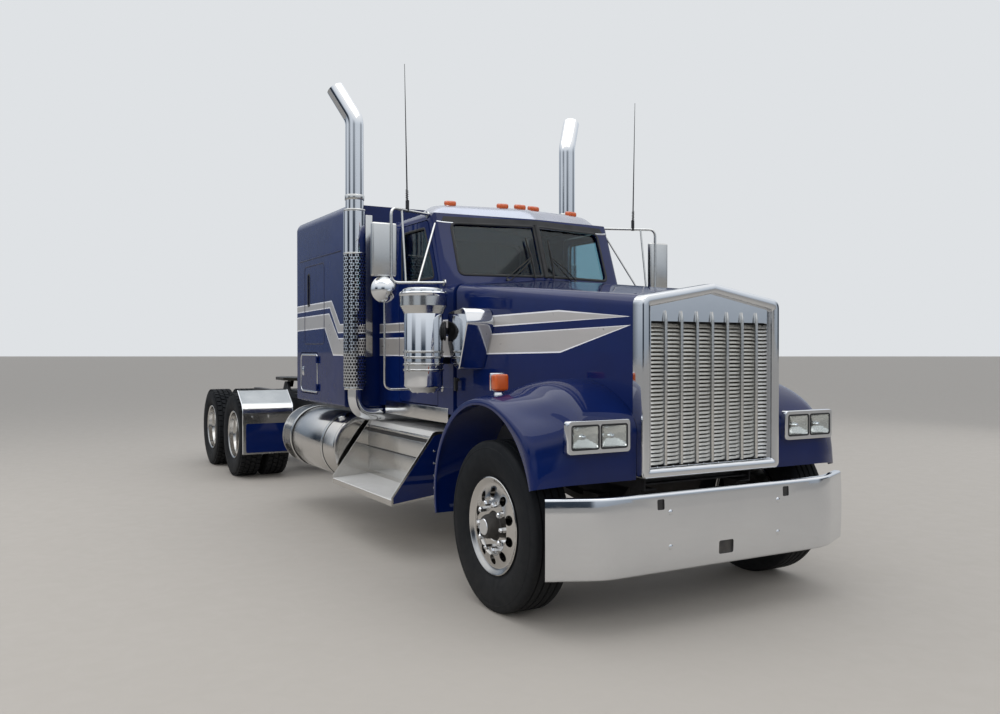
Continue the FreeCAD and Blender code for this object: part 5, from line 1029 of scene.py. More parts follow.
@dataclass
class RoadWheels(SubAssembly):
    """Tyres and wheels: ribbed tyres in front, lugged twins behind, all on polished discs."""

    tyre_r: float = 0.525
    half_w: float = 0.14
    rim_half: float = 0.106
    bead_r: float = 0.286
    flange_r: float = 0.301
    hand_circle: float = 0.206
    hand_r: float = 0.031
    stud_circle: float = 0.143
    holes: int = 10
    track: float = 1.05
    twin_y: float = 0.9235
    twin_gap: float = 0.343
    front_x: float = 4.05
    drive_x: tuple[float, float] = (-2.69, -4.01)
    lug_count: int = 44
    lug_deep: float = 0.021
    lug_half: float = 0.025
    lug_share: float = 0.76

    def sidewall(self, side: int) -> list[Point]:
        """One sidewall's points from the bead to the shoulder, with a raised ring near the tread.

        Args:
            side: -1 or 1, for the sidewall's side of the tyre.

        Returns:
            The points as (across, radius).
        """
        points = curve_through([
            (self.rim_half - 0.001, self.bead_r), (self.rim_half, 0.311), (0.121, 0.335), (0.133, 0.372),
            (self.half_w - 0.001, 0.42), (0.137, 0.462), (0.131, 0.492),
        ], 3)
        ring = [(0.1345, 0.4755), (0.1362, 0.478), (0.1335, 0.4815)]
        return [(side * y, r) for y, r in (*points[:-3], *ring, *points[-2:])]

    def carcass(self, centre: Vector, grooves: Sequence[float], deep: float, crown: float) -> BMesh:
        """A tyre with round grooves cut into its crown.

        Args:
            centre: The tyre's middle.
            grooves: Where the grooves lie across the tread.
            deep: How deep they are.
            crown: The crown's radius.

        Returns:
            The closed tyre.
        """
        shoulder = [(-0.128, crown - 0.02), (-0.119, crown - 0.006), (-0.108, crown - 0.001)]
        tread = [(y + across, crown - down) for y in grooves
                 for across, down in ((-0.0065, 0.0), (-0.004, deep), (0.004, deep), (0.0065, 0.0))]
        crown_line = [*shoulder, *tread, *[(-y, r) for y, r in reversed(shoulder)]]
        inner = [(self.rim_half - 0.024, self.bead_r), (0.112, 0.4), (0.09, 0.495)]
        liner = [*inner, *[(-y, r) for y, r in reversed(inner)]]
        profile = [*self.sidewall(-1), *crown_line, *reversed(self.sidewall(1)), *liner]
        return lathe(profile, centre, "Y", 96, closed=True)

    def lugs(self, name: str, centre: Vector, body: str) -> None:
        """Tread blocks round a tyre in four rows, one Geometry Nodes ring for each row.

        Args:
            name: What the rows' names begin with.
            centre: The tyre's middle.
            body: The CAD body it moves with.
        """
        r, count = self.tyre_r - self.lug_deep - 0.0005, self.lug_count
        across, half = 2 * math.pi * self.tyre_r / count * self.lug_share / 2, self.lug_half
        for number, (y, lean) in enumerate(((-0.098, 0.0), (-0.034, 0.35), (0.034, 0.35), (0.098, 0.0))):
            bm = soft_box((0, -across, -half), (self.lug_deep, across, half), 0.0028, 1)
            for vert in bm.verts:
                vert.co.y += lean * vert.co.z
                vert.co.x -= 0.5 * vert.co.y ** 2 / r
            lying = Matrix.Translation(centre + Vector((0, y, 0))) @ Matrix.Rotation(math.pi / 2, 4, "X")
            turn = Matrix.Rotation((number % 2) * math.pi / count, 4, "Z")
            pattern = Repeat(f"{name}_lugs_{number}", count, radius=r)
            self.repeat(pattern, finished("block", bm), TYRE, lying @ turn, body=body)

    def rim(self, name: str, face: float, toe: float, side: int, centre: Vector, deep: bool) -> Object:
        """A drop-centre rim with its drilled disc.

        Args:
            name: The piece's name.
            face: Where the disc's flat lies along the axle, outward from the centre.
            toe: Where the disc meets the rim, outward from the centre.
            side: -1 on the right, 1 on the left.
            centre: The rim's middle.
            deep: Whether the disc is dished inward.

        Returns:
            The rim, finished but for its dressing.
        """
        b, f, half = self.bead_r, self.flange_r, self.rim_half
        disc_r, slope = b - 0.034, 0.163 if deep else 0.168
        well = [(half - 0.002, b - 0.014), (toe + 0.006, b - 0.022)]
        if deep:
            well = [(toe + 0.03, b - 0.012), (toe + 0.012, b - 0.02)]
        barrel = [
            (-half - 0.012, f - 0.004), (-half - 0.009, f), (-half - 0.003, f - 0.002), (-half, b + 0.002),
            (-half + 0.03, b - 0.003), (-0.04, b - 0.022), (0.032, b - 0.022), (half - 0.034, b - 0.003),
            (half, b + 0.002), (half + 0.003, f - 0.002), (half + 0.009, f), (half + 0.012, f - 0.005),
            (half + 0.009, f - 0.012), (half + 0.001, b - 0.008),
        ]
        disc = [
            (toe + 0.004, disc_r), (face + 0.012, slope + 0.012), (face + 0.003, slope + 0.003),
            (face, slope - 0.004), (face, 0.094), (face - 0.004, 0.089), (face - 0.02, 0.089),
            (face - 0.022, slope - 0.004), (toe - 0.02, disc_r - 0.004),
        ]
        back = [(-0.044, b - 0.034), (-half + 0.03, b - 0.014), (-half - 0.001, b - 0.009),
                (-half - 0.01, f - 0.012)]
        profile = [(side * a, r) for a, r in (*barrel, *well, *disc, *back)]
        piece = finished(name, lathe(profile, centre, "Y", 120, closed=True))
        drills = bmesh.new()
        for i in range(self.holes):
            turn = 2 * math.pi * (i + 0.5) / self.holes
            spot = Vector((self.hand_circle * math.cos(turn), side * face, self.hand_circle * math.sin(turn)))
            rod = [(-0.12, 0.0), (-0.12, self.hand_r), (0.12, self.hand_r), (0.12, 0.0)]
            merge(drills, lathe(rod, centre + spot, "Y", 28))
        carve(piece, finished("drill", drills))
        soften(piece, 2.0)
        return piece

    def turned(self, name: str, rows: Sequence[Point], side: int, centre: Vector, finish: Finish,
               body: str) -> None:
        """A turned hub or cap."""
        self.add(name, lathe([(side * a, r) for a, r in rows], centre, "Y", 48), finish, body=body)

    def nuts(self, name: str, face: float, side: int, centre: Vector, body: str) -> None:
        """Capped wheel nuts in a ring on the disc."""
        place = Matrix.Translation(centre + Vector((0, side * face, 0))) @ sideways(side)
        ring = Repeat(name, self.holes, radius=self.stud_circle)
        self.repeat(ring, hex_nut(0.0185, 0.042), CHROME, place, body=body)

    def front(self) -> None:
        """Both steered wheels."""
        hub = [(-0.12, 0.0), (-0.12, 0.2), (0.04, 0.2), (0.058, 0.19), (0.062, 0.1), (0.085, 0.092),
               (0.096, 0.088), (0.104, 0.078), (0.15, 0.073), (0.164, 0.066), (0.172, 0.052), (0.174, 0.0)]
        cap = [(0.1735, 0.0), (0.1735, 0.05), (0.177, 0.047), (0.178, 0.0)]
        for name, side in SIDES.items():
            body, centre = f"front_wheel_{name}", Vector((self.front_x, side * self.track, self.tyre_r))
            tyre = self.carcass(centre, (-0.072, -0.024, 0.024, 0.072), 0.013, self.tyre_r)
            self.add(f"ribbed_tyre_{name}", tyre, TYRE, f"tyre_front_{name}", body=body, crease=40)
            rim = self.rim(f"front_rim_{name}", 0.104, 0.092, side, centre, deep=False)
            self.keep(rim, ALUMINIUM, f"wheel_front_{name}", body=body)
            self.turned(f"front_hub_{name}", hub, side, centre, IRON, body)
            self.turned(f"front_hub_cap_{name}", cap, side, centre, CHROME, body)
            self.nuts(f"front_nuts_{name}", 0.103, side, centre, body)

    def drive(self) -> None:
        """The twins on both drive axles."""
        hub = [(-0.18, 0.0), (-0.18, 0.2), (0.0, 0.2), (0.024, 0.19), (0.026, 0.1), (0.05, 0.094),
               (0.058, 0.088), (0.066, 0.078), (0.136, 0.075), (0.146, 0.068), (0.149, 0.0)]
        flange = [(0.1485, 0.0), (0.1485, 0.068), (0.154, 0.066), (0.156, 0.05), (0.157, 0.0)]
        for number, x in enumerate(self.drive_x, start=1):
            for name, side in SIDES.items():
                body, key = f"drive_wheels_{number}_{name}", f"{number}_{name}"
                for end, offset in (("outer", 1), ("inner", -1)):
                    centre = Vector((x, side * (self.twin_y + offset * self.twin_gap / 2), self.tyre_r))
                    tyre = self.carcass(centre, (), 0.0, self.tyre_r - self.lug_deep)
                    self.add(f"lug_tyre_{end}_{key}", tyre, TYRE, f"tyres_drive_{key}", body=body, crease=40)
                    self.lugs(f"{end}_{key}", centre, body)
                    rim = self.rim(f"drive_rim_{end}_{key}", -0.165, -0.05, side * offset, centre, deep=True)
                    self.keep(rim, ALUMINIUM, f"wheels_drive_{key}", body=body)
                middle = Vector((x, side * self.twin_y, self.tyre_r))
                self.turned(f"drive_hub_{key}", hub, side, middle, IRON, body)
                self.nuts(f"drive_nuts_{key}", 0.024, side, middle, body)
                self.turned(f"drive_flange_{key}", flange, side, middle, CHROME, body)

    def build(self) -> None:
        """Builds every wheel."""
        self.front()
        self.drive()


# The stripes' corners as (x, z) in metres: on the hood, on the cab with its doors, and on the sleeper.
HOOD_STRIPES = (
    ((2.60, 1.830), (3.25, 1.846), (4.004, 1.862), (4.62, 1.803), (3.25, 1.766), (2.60, 1.752)),
    ((2.60, 1.708), (3.24, 1.716), (4.62, 1.752), (4.015, 1.586), (3.20, 1.572), (2.60, 1.556)),
)
CAB_STRIPES = (
    ((1.30, 1.832), (3.0, 1.832), (3.0, 1.752), (1.30, 1.752)),
    ((1.30, 1.708), (3.0, 1.708), (3.0, 1.552), (1.30, 1.552)),
)
SLEEPER_STRIPES = (
    ((-0.30, 2.040), (1.016, 2.052), (1.243, 1.832), (1.60, 1.832),
     (1.60, 1.752), (1.19, 1.752), (0.962, 1.985), (-0.30, 1.968)),
    ((-0.30, 1.925), (0.945, 1.938), (1.198, 1.708), (1.60, 1.708),
     (1.60, 1.552), (1.055, 1.552), (0.815, 1.803), (-0.30, 1.785)),
)
BODYWORK = (PAINT, STRIPE, PINSTRIPE)
# The white line round each stripe, drawn a little wider than the real one so that it holds at a distance.
PINSTRIPE_W = 0.009


def striped(bands: Sequence[Sequence[Point]], least: float) -> Callable[[BMesh], None]:
    """What paints a panel's stripes: each in silver with a white line round it.

    Args:
        bands: The stripes' corners as (x, z) in metres.
        least: Faces nearer the centreline than this are left alone.

    Returns:
        The function that paints a mesh.
    """

    def paint(bm: BMesh) -> None:
        """Paints the white first and the silver inside it."""
        for band in bands:
            paint_band(bm, band, 2, least)
            paint_band(bm, grown(band, -PINSTRIPE_W), 1, least)

    return paint


@dataclass
class Hood(SubAssembly):
    """The long tapering hood with its stripes, rubber draw latches and polished intake covers."""

    body: str = "hood"

    def build(self) -> None:
        """Builds the hood."""
        self.copy("hood_panel", BODYWORK, 2.0, striped(HOOD_STRIPES, 0.3))
        self.copy("intake_covers", CHROME, 9.0)
        strap = soft_box((2.925, -0.872, 1.30), (2.955, -0.846, 1.40), 0.008)
        keeper = soft_box((2.915, -0.866, 1.375), (2.965, -0.84, 1.395), 0.004)
        self.pair("hood_latches", merge(strap, keeper), RUBBER)


@dataclass
class Fenders(SubAssembly):
    """The front fenders: a crowned arch over each wheel that swells into the lamp pod."""

    body: str = "hood"
    axle_x: float = 4.05
    arch_x: float = 0.08
    arch_z: float = 0.64
    arch_r: float = 0.625
    top: float = 0.69
    out: float = 1.215
    nose: float = 0.64
    catwalk_y: float = 0.85
    hood_nose_half: float = 0.54
    hood_back_half: float = 0.83
    hood_back: float = 1.152
    hood_nose: float = 0.6
    grille_half: float = 0.5535
    sheet: float = 0.010

    def stations(self) -> list[tuple[float, ...]]:
        """The radial stations round the arch, from behind the wheel to the nose.

        Returns:
            For each, its angle, the radii by the hood, on the catwalk, crest and side, and the side's place.
        """
        top, out = self.top, self.out
        reach = self.nose + self.arch_x - 0.006
        low, middle, high = (reach / math.cos(math.radians(a)) for a in (16, 28, 37))
        return [
            (193, top - 0.014, top - 0.013, top - 0.012, top - 0.028, out - 0.022),
            (160, top - 0.003, top - 0.002, top, top - 0.020, out - 0.022),
            (125, top + 0.002, top + 0.003, top, top - 0.020, out - 0.022),
            (100, top + 0.028, top + 0.020, top, top - 0.022, out - 0.024),
            (82, top + 0.095, top + 0.085, top + 0.018, top - 0.015, out - 0.034),
            (66, top + 0.158, top + 0.152, top + 0.075, top + 0.010, out - 0.060),
            (52, top + 0.188, top + 0.186, top + 0.145, top + 0.060, out - 0.100),
            (37, high - 0.006, high - 0.006, high - 0.012, high - 0.040, out - 0.200),
            (28, middle, middle, middle, middle - 0.026, out - 0.130),
            (16, low, low, low, low - 0.058, out - 0.030),
        ]

    def hood_side(self, x: float) -> float:
        """How far the hood's side is from the centreline at a place along the truck."""
        share = (x - (self.axle_x - self.hood_back)) / (self.hood_nose + self.hood_back)
        return self.hood_back_half + (self.hood_nose_half - self.hood_back_half) * share + 0.002

    def section(self, station: Sequence[float]) -> list[Vector]:
        """The outer skin's points at one station, from the hood out to the lip.

        Args:
            station: The station's angle, radii and width, as stations() gives them.

        Returns:
            The points on the right-hand fender.
        """
        angle, by_hood, catwalk, crest, side, side_y = station
        turn = math.radians(angle)
        rows = curve_through([
            (self.hood_nose_half - 0.04, by_hood), (self.catwalk_y, catwalk),
            ((self.catwalk_y + side_y) / 2 + 0.02, crest), (side_y, side),
            (self.out, (side + self.arch_r) / 2), (self.out, self.arch_r),
        ], 6)
        points = []
        for y, r in rows:
            x = self.axle_x - self.arch_x + r * math.cos(turn)
            least = self.hood_side(x) if x < self.axle_x + self.hood_nose else self.grille_half
            points.append(Vector((x, -max(y, least), self.arch_z + r * math.sin(turn))))
        return points

    def build(self) -> None:
        """Builds both fenders in one smooth sheet each."""
        rings = [self.section(station) for station in curve_through(self.stations(), 6)]
        bm = skin(rings, loop=False, caps=False)
        weld(bm, 1e-4)
        bm.normal_update()
        if sum(face.normal.z * face.calc_area() for face in bm.faces) < 0:
            bmesh.ops.reverse_faces(bm, faces=bm.faces)
        piece = finished("fender_sheets", both(bm, outward=False), 50, outward=False)
        wall = piece.modifiers.new("sheet", "SOLIDIFY")
        wall.thickness = self.sheet
        wall.offset = -1
        self.keep(piece, PAINT, "fenders")


@dataclass
class Grille(SubAssembly):
    """The chrome surround with its polished apron, slats, pointed fins and rivets."""

    body: str = "hood"
    back_x: float = 4.652
    face_x: float = 4.75
    floor_x: float = 4.715
    half: float = 0.552
    low: float = 0.85
    shoulder: float = 1.92
    peak: float = 2.01
    rim: float = 0.062
    open_half: float = 0.468
    open_low: float = 0.915
    open_top: float = 1.775
    slat_count: int = 35
    slat_pitch: float = 0.024
    fin_count: int = 7
    fin_pitch: float = 0.122
    fin_deep: float = 0.053
    fin_half: float = 0.0125

    def shape(self, inset: float) -> list[Point]:
        """The surround's outline.

        Args:
            inset: How far inside the outer edge it runs.

        Returns:
            The outline's points.
        """
        half, r = self.half - inset, max(self.rim - inset, 0.012)
        return rounded_outline([
            (-half, self.low + inset, r * 0.6), (half, self.low + inset, r * 0.6),
            (half, self.shoulder - inset, r), (0.0, self.peak - inset, 0.5 * r),
            (-half, self.shoulder - inset, r),
        ], 8)

    def opening(self) -> list[Point]:
        """The slats' opening, with as many points as the surround's outline.

        Returns:
            The opening's points.
        """
        half, r = self.open_half, 0.006
        return rounded_outline([
            (-half, self.open_low, r), (half, self.open_low, r), (half, self.open_top, r),
            (0.0, self.open_top, 1e-5), (-half, self.open_top, r),
        ], 8)

    def surround(self) -> None:
        """The frame, whose rim rolls from the sides over the face to the sunk apron."""
        roll = ((0.0, 0.026), (0.002, 0.014), (0.007, 0.005), (0.015, 0.001), (0.03, 0.0), (0.045, 0.001),
                (0.054, 0.005), (0.060, 0.013), (0.062, 0.022))
        steps = [(0.0, self.back_x), *[(inset, self.face_x - down) for inset, down in roll],
                 (0.0625, self.floor_x)]
        outlines = [(self.shape(inset), x) for inset, x in steps]
        outlines += [(self.opening(), x) for x in (self.floor_x, self.floor_x - 0.012, self.back_x)]
        self.add("grille_surround", frame_plate(outlines, from_front), CHROME, "grille_shell")

    def slats(self) -> None:
        """Tilted slats in a stack."""
        leaf = [(4.675, 0.0150), (4.687, -0.0060), (4.690, -0.0055), (4.692, -0.002), (4.6905, 0.001),
                (4.679, 0.0172)]
        ends = (-self.open_half - 0.004, self.open_half + 0.004)
        item = finished("slat", skin([[Vector((x, y, z)) for x, z in leaf] for y in ends]))
        pattern = Repeat("grille_slats", self.slat_count, step=Vector((0, 0, self.slat_pitch)))
        place = Matrix.Translation((0, 0, self.open_low + 0.014))
        self.repeat(pattern, item, STAINLESS, place, "grille_bars")

    def fins(self) -> None:
        """Pointed fins over the slats, round in front and drawn to a tip at their heads."""
        nose = [(0.55 + 0.45 * math.sin(a), -math.cos(a)) for a in (math.pi * k / 8 for k in range(9))]
        section = [(0.0, -1.0), *nose, (0.0, 1.0)]
        rings = []
        for z, k in ((0.924, 0.9), (0.932, 1.0), (1.780, 1.0), (1.800, 0.86), (1.818, 0.6), (1.832, 0.3),
                     (1.839, 0.06)):
            back = self.floor_x - 0.030 + (1 - k) * 0.75 * self.fin_deep
            rings.append([Vector((back + self.fin_deep * k * a, self.fin_half * k * b, z))
                          for a, b in section])
        first = -self.fin_pitch * (self.fin_count - 1) / 2
        pattern = Repeat("grille_fins", self.fin_count, step=Vector((0, self.fin_pitch, 0)))
        self.repeat(pattern, finished("fin", skin(rings), 50), STAINLESS, Matrix.Translation((0, first, 0)),
                    "grille_bars")

    def backing(self) -> None:
        """The dark bug screen behind the slats, and the rivets along the sill under them."""
        low, high = (4.653, -self.open_half, self.open_low), (4.658, self.open_half, self.open_top)
        self.add("grille_screen", soft_box(low, high, 0.001, 1), RUBBER)
        row = Repeat("grille_sill_rivets", 8, step=Vector((0, 0.12, 0)))
        place = Matrix.Translation((self.floor_x + 0.0005, -0.42, self.low + 0.0635))
        self.repeat(row, dome(0.006, 0.0035, turn=FORWARD), CHROME, place)

    def build(self) -> None:
        """Builds the grille."""
        self.surround()
        self.slats()
        self.fins()
        self.backing()


@dataclass
class Bumper(SubAssembly):
    """The deep plated bumper, swept back at its ends, with its openings and bolts."""

    front_x: float = 4.85
    half: float = 1.19
    flat: float = 0.88
    corner_r: float = 0.42
    sweep_back: float = 0.15
    low: float = 0.325
    top: float = 0.785
    lip: float = 0.042
    lip_r: float = 0.016
    thick: float = 0.008
    crown: float = 0.007

    def section(self) -> list[Point]:
        """The face's section, round its outside and back along its inside.

        Returns:
            The points as (how far out, how high).
        """
        low, top, lip, t, r = self.low, self.top, self.lip, self.thick, self.lip_r
        quarter = [(math.cos(a), math.sin(a)) for a in (math.pi / 2 * k / 5 for k in range(6))]
        face = [(0.0, low + (top - low) * share) for share in (0.2, 0.35, 0.5, 0.65, 0.8)]
        outer = [(-lip, low), *[(-r + r * s, low + r - r * c) for c, s in quarter], *face,
                 *[(-r + r * c, top - r + r * s) for c, s in quarter], (-lip, top)]
        q = r - t
        inner = [(-lip, top - t), *[(-r + q * s, top - r + q * c) for c, s in quarter],
                 *[(-t, z) for _, z in reversed(face)],
                 *[(-r + q * c, low + r - q * s) for c, s in quarter], (-lip, low + t)]
        middle, reach = (low + top) / 2, (top - low) / 2
        return [(n - self.crown * ((z - middle) / reach) ** 2, z) for n, z in (*outer, *inner)]

    def face(self) -> None:
        """The plated face with rolled lips, its slots cut through."""
        back = self.front_x - self.sweep_back
        line = rounded_path([Vector(spot) for spot in (
            (back, -self.half, 0), (self.front_x, -self.flat, 0), (self.front_x, self.flat, 0),
            (back, self.half, 0))], self.corner_r, 20)
        section, rings = self.section(), []
        for i, here in enumerate(line):
            ahead = (line[min(i + 1, len(line) - 1)] - line[max(i - 1, 0)]).normalized()
            out = Vector((ahead.y, -ahead.x, 0))
            rings.append([here + out * n + Vector((0, 0, z)) for n, z in section])
        piece = finished("bumper_face", skin(rings), 40)
        tool = merge(*[soft_box((4.7, y - 0.026, 0.69), (4.9, y + 0.026, 0.75), 0.008) for y in (-0.5, 0.5)],
                     soft_box((4.7, -0.058, 0.387), (4.9, 0.058, 0.467), 0.012))
        carve(piece, finished("slots", tool))
        self.keep(piece, CHROME, "bumper")

    def build(self) -> None:
        """Builds the bumper: its face, its carriage bolts and the dark liners behind its openings."""
        self.face()
        row = Repeat("bumper_bolts", 2, rows=2, step=Vector((0, 0.86, 0)), rise=Vector((0, 0, 0.2)))
        self.repeat(row, dome(0.017, 0.007, 20, FORWARD), CHROME,
                    Matrix.Translation((self.front_x - 0.003, -0.43, 0.47)))
        liners = [soft_box((4.80, y - w, z - h), (4.836, y + w, z + h), 0.004) for y, z, w, h in (
            (-0.5, 0.72, 0.032, 0.036), (0.5, 0.72, 0.032, 0.036), (0.0, 0.427, 0.064, 0.046))]
        self.add("bumper_liners", merge(*liners), CHASSIS_BLACK)


@dataclass
class Lamps(SubAssembly):
    """Twin headlamps a side in a plated bezel, and the side turn signals."""

    body: str = "hood"
    back_x: float = 4.687
    face_x: float = 4.73
    inner_y: float = 0.625
    outer_y: float = 1.06
    low: float = 1.02
    high: float = 1.21
    rim: float = 0.014

    def spots(self) -> list[tuple[float, float, float, float]]:
        """The two lamp openings on the right: inner and outer edge, bottom and top."""
        middle, edge = (self.inner_y + self.outer_y) / 2, 0.026
        return [(-self.outer_y + edge, -middle - 0.007, self.low + 0.028, self.high - 0.028),
                (-middle + 0.007, -self.inner_y - edge, self.low + 0.028, self.high - 0.028)]

    def ring(self, box: Sequence[float], share: float, r: float, x: float) -> list[Vector]:
        """A rounded oblong about a lamp opening's middle.

        Args:
            box: The opening's inner and outer edge, bottom and top.
            share: How large the oblong is beside the opening.
            r: The corners' radius.
            x: Its place along the truck.

        Returns:
            The oblong's points.
        """
        y0, y1, z0, z1 = box
        ym, zm = (y0 + y1) / 2, (z0 + z1) / 2
        return [Vector((x, ym + (y - ym) * share, zm + (z - zm) * share)) for y, z in oblong(*box, r, 5)]

    def bezel(self) -> None:
        """The plated housing, deeply cut for its two lamps."""
        whole = (-self.outer_y, -self.inner_y, self.low, self.high)
        steps = ((self.back_x, 1.0), (self.face_x - 0.012, 1.0), (self.face_x - 0.005, 0.993),
                 (self.face_x, 0.975))
        right = finished("bezel", skin([self.ring(whole, share, 0.024, x) for x, share in steps]))
        cuts = [plate(oblong(*box, self.rim, 5), from_front, self.back_x + 0.008, self.face_x + 0.02)
                for box in self.spots()]
        carve(right, finished("openings", merge(*cuts)))
        bm = bmesh.new()
        bm.from_mesh(right.data)
        bpy.data.objects.remove(right)
        soften(self.pair("headlamp_bezels", bm, CHROME, "headlamps"), 2.5)

    def optics(self) -> None:
        """Curved reflectors, bulb shields, rippled lenses and the rubber round them."""
        bowls, shields, lenses, gaskets = (bmesh.new() for _ in range(4))
        cap = [(0.010, 0.0), (0.010, 0.013), (0.022, 0.013), (0.027, 0.009), (0.029, 0.0)]
        for box in self.spots():
            merge(bowls, skin([self.ring(box, k, 0.014 + 0.05 * (1 - k), self.back_x + 0.010 + 0.026 * k * k)
                               for k in (0.99, 0.9, 0.78, 0.62, 0.45, 0.28, 0.12)], caps=False))
            middle = Vector((self.back_x, (box[0] + box[1]) / 2, (box[2] + box[3]) / 2))
            merge(shields, lathe(cap, middle, "X", 20))
            merge(lenses, skin([self.ring(box, share, self.rim, self.face_x + x) for x, share in (
                (-0.009, 0.98), (-0.004, 0.975), (-0.001, 0.93), (0.0015, 0.7), (0.003, 0.3))]))
            edge = self.ring(box, 0.99, self.rim, self.face_x - 0.001)
            merge(gaskets, bead(edge, Vector((1, 0, 0)), 0.006, 0.004, 8))
        self.keep(finished("headlamp_bowls", both(bowls), outward=False), REFLECTOR)
        self.pair("headlamp_shields", shields, CHROME)
        self.pair("headlamp_lenses", lenses, LAMP_GLASS)
        self.pair("headlamp_gaskets", gaskets, RUBBER)

    def signals(self) -> None:
        """Amber lenses facing forward and backward on a plated foot."""
        front = soft_box((3.966, -1.126, 1.352), (4.036, -1.034, 1.455), 0.016, 4)
        rear = soft_box((3.942, -1.126, 1.352), (3.962, -1.034, 1.455), 0.008, 3)
        self.pair("signal_lenses", merge(front, rear), AMBER, "turn_signals")
        wall = soft_box((3.958, -1.131, 1.349), (3.970, -1.029, 1.460), 0.004)
        foot = [(-0.01, 0.0), (-0.01, 0.034), (0.006, 0.03), (0.014, 0.036), (0.022, 0.03), (0.022, 0.0)]
        self.pair("signal_frames", merge(wall, lathe(foot, Vector((3.986, -1.08, 1.334)), "Z", 28)), CHROME)

    def build(self) -> None:
        """Builds the lamps."""
        self.bezel()
        self.optics()
        self.signals()


# The windscreen's foot on the centreline, its sill's height, and how far it falls back outwards and upwards.
SCREEN_X, SCREEN_SILL, SCREEN_SWEEP, SCREEN_LEAN = 2.835, 2.165, 0.2, 0.37


def on_screen(y: float, z: float, lift: float = 0.0) -> Vector:
    """A point on the swept and leaning windscreen plane.

    Args:
        y: Its place across.
        z: Its height.
        lift: How far in front of the plane it is.

    Returns:
        The point.
    """
    return Vector((SCREEN_X - SCREEN_SWEEP * abs(y) - SCREEN_LEAN * (z - SCREEN_SILL) + lift, y, z))


@dataclass
class Cab(SubAssembly):
    """The cab shell, its glazing with rubber seals, and the wipers."""

    glass_in: float = 0.022
    glass_out: float = 0.70
    glass_low: float = 2.187
    glass_high: float = 2.603

    def seals(self) -> None:
        """Rubber round each pane, the strip over the joint between the panes, and a black band over the
        header that paints the visor's shadow.
        """
        far, near, low, high = -self.glass_out, -self.glass_in, self.glass_low, self.glass_high
        line = rounded_outline([(far, low, 0.05), (near, low, 0.02), (near, high, 0.02), (far, high, 0.05)])
        out = Vector((1.0, -0.2, 0.37)).normalized()
        bm = both(bead([on_screen(y, z, 0.002) for y, z in line], out, 0.011, 0.006))
        strip = [on_screen(0.0, z, 0.003) for z in (low - 0.012, high + 0.01)]
        # Painted shadow: the black rubber band across the header stands in for the visor's shadow on it.
        head = [(-0.775, 2.612), (0.0, 2.612), (0.775, 2.612), (0.75, 2.655), (0.0, 2.655), (-0.75, 2.655)]
        merge(bm, sweep(strip, 0.017, 12), plate(head, on_screen, -0.004, 0.004))
        self.add("windscreen_seals", bm, RUBBER)

    def wipers(self) -> None:
        """Twin-armed wipers parked upright beside the middle post."""
        blades, arms = bmesh.new(), bmesh.new()
        for side, foot, low, high in ((-1, (0.33, 2.150), (0.100, 2.17), (0.118, 2.50)),
                                      (1, (0.30, 2.158), (0.072, 2.17), (0.088, 2.49))):
            start, end = (on_screen(side * y, z, 0.020) for y, z in (low, high))
            middle = (start + end) / 2
            ahead = Vector((1, 0, 0))
            merge(blades, sweep([start, middle + ahead * 0.004, end], 0.0075, 8),
                  sweep([start * 0.75 + end * 0.25 + ahead * 0.010, middle + ahead * 0.018,
                         start * 0.25 + end * 0.75 + ahead * 0.010], 0.005, 8))
            pivot = on_screen(side * foot[0], foot[1], 0.016)
            for shift in (-0.012, 0.012):
                beside = Vector((0, shift * side, shift))
                merge(arms, sweep([pivot + beside, pivot.lerp(middle, 0.5) + ahead * 0.02 + beside,
                                   middle + ahead * 0.020 + beside * 0.4], 0.0042, 8))
            hub = [pivot - Vector((0.03, 0, 0.02)), pivot + Vector((0.006, 0, 0.004))]
            merge(arms, sweep(hub, 0.013, 14))
        self.add("wiper_blades", blades, RUBBER)
        self.add("wiper_arms", arms, CHASSIS_BLACK)

    def build(self) -> None:
        """Builds the cab."""
        self.copy("cab_shell", BODYWORK, 3.0, striped(CAB_STRIPES, 0.84))
        self.copy("fixed_glass", GLASS, 0)
        self.seals()
        self.wipers()


@dataclass
class Doors(SubAssembly):
    """Both doors with window seals, handles and locks."""

    front: float = 2.61
    back: float = 1.86
    sill: float = 2.165
    top: float = 2.625
    edge: float = 0.055
    lean: float = 0.185
    side_y: float = 0.85

    def trims(self, body: str, name: str, side: int) -> None:
        """One door's window seal, handle and lock.

        Args:
            body: The door's body.
            name: Its side's name.
            side: -1 on the right, 1 on the left.
        """
        y, top = side * self.side_y, self.top - self.edge
        front, back = self.front - self.edge, self.back + self.edge
        line = rounded_outline([(front, self.sill, 0.03), (front - self.lean, top, 0.04), (back, top, 0.04),
                                (back, self.sill, 0.03)])
        self.add(f"door_seal_{name}", side_bead(line, y, 0.010, 0.005), RUBBER, body=body)
        out = y + side * 0.008
        grip = merge(soft_box((1.925, out - 0.022, 2.018), (2.085, out + 0.022, 2.052), 0.012),
                     soft_box((1.915, out - 0.007, 2.006), (2.10, out + 0.007, 2.064), 0.006))
        self.add(f"door_handle_{name}", grip, CHROME, body=body)
        rows = [(0.0, 0.0), (0.0, 0.012), (0.005, 0.012), (0.007, 0.009), (0.007, 0.0)]
        lock = lathe([(side * a, r) for a, r in rows], Vector((1.915, y, 1.965)), "Y", 20)
        self.add(f"door_lock_{name}", lock, CHROME, body=body)

    def build(self) -> None:
        """Builds both doors."""
        for name, side in SIDES.items():
            body = f"door_{name}"
            self.copy(body, BODYWORK, 2.5, striped(CAB_STRIPES, 0.84), body)
            self.copy(f"door_glass_{name}", GLASS, 0, body=body)
            self.trims(body, name, side)


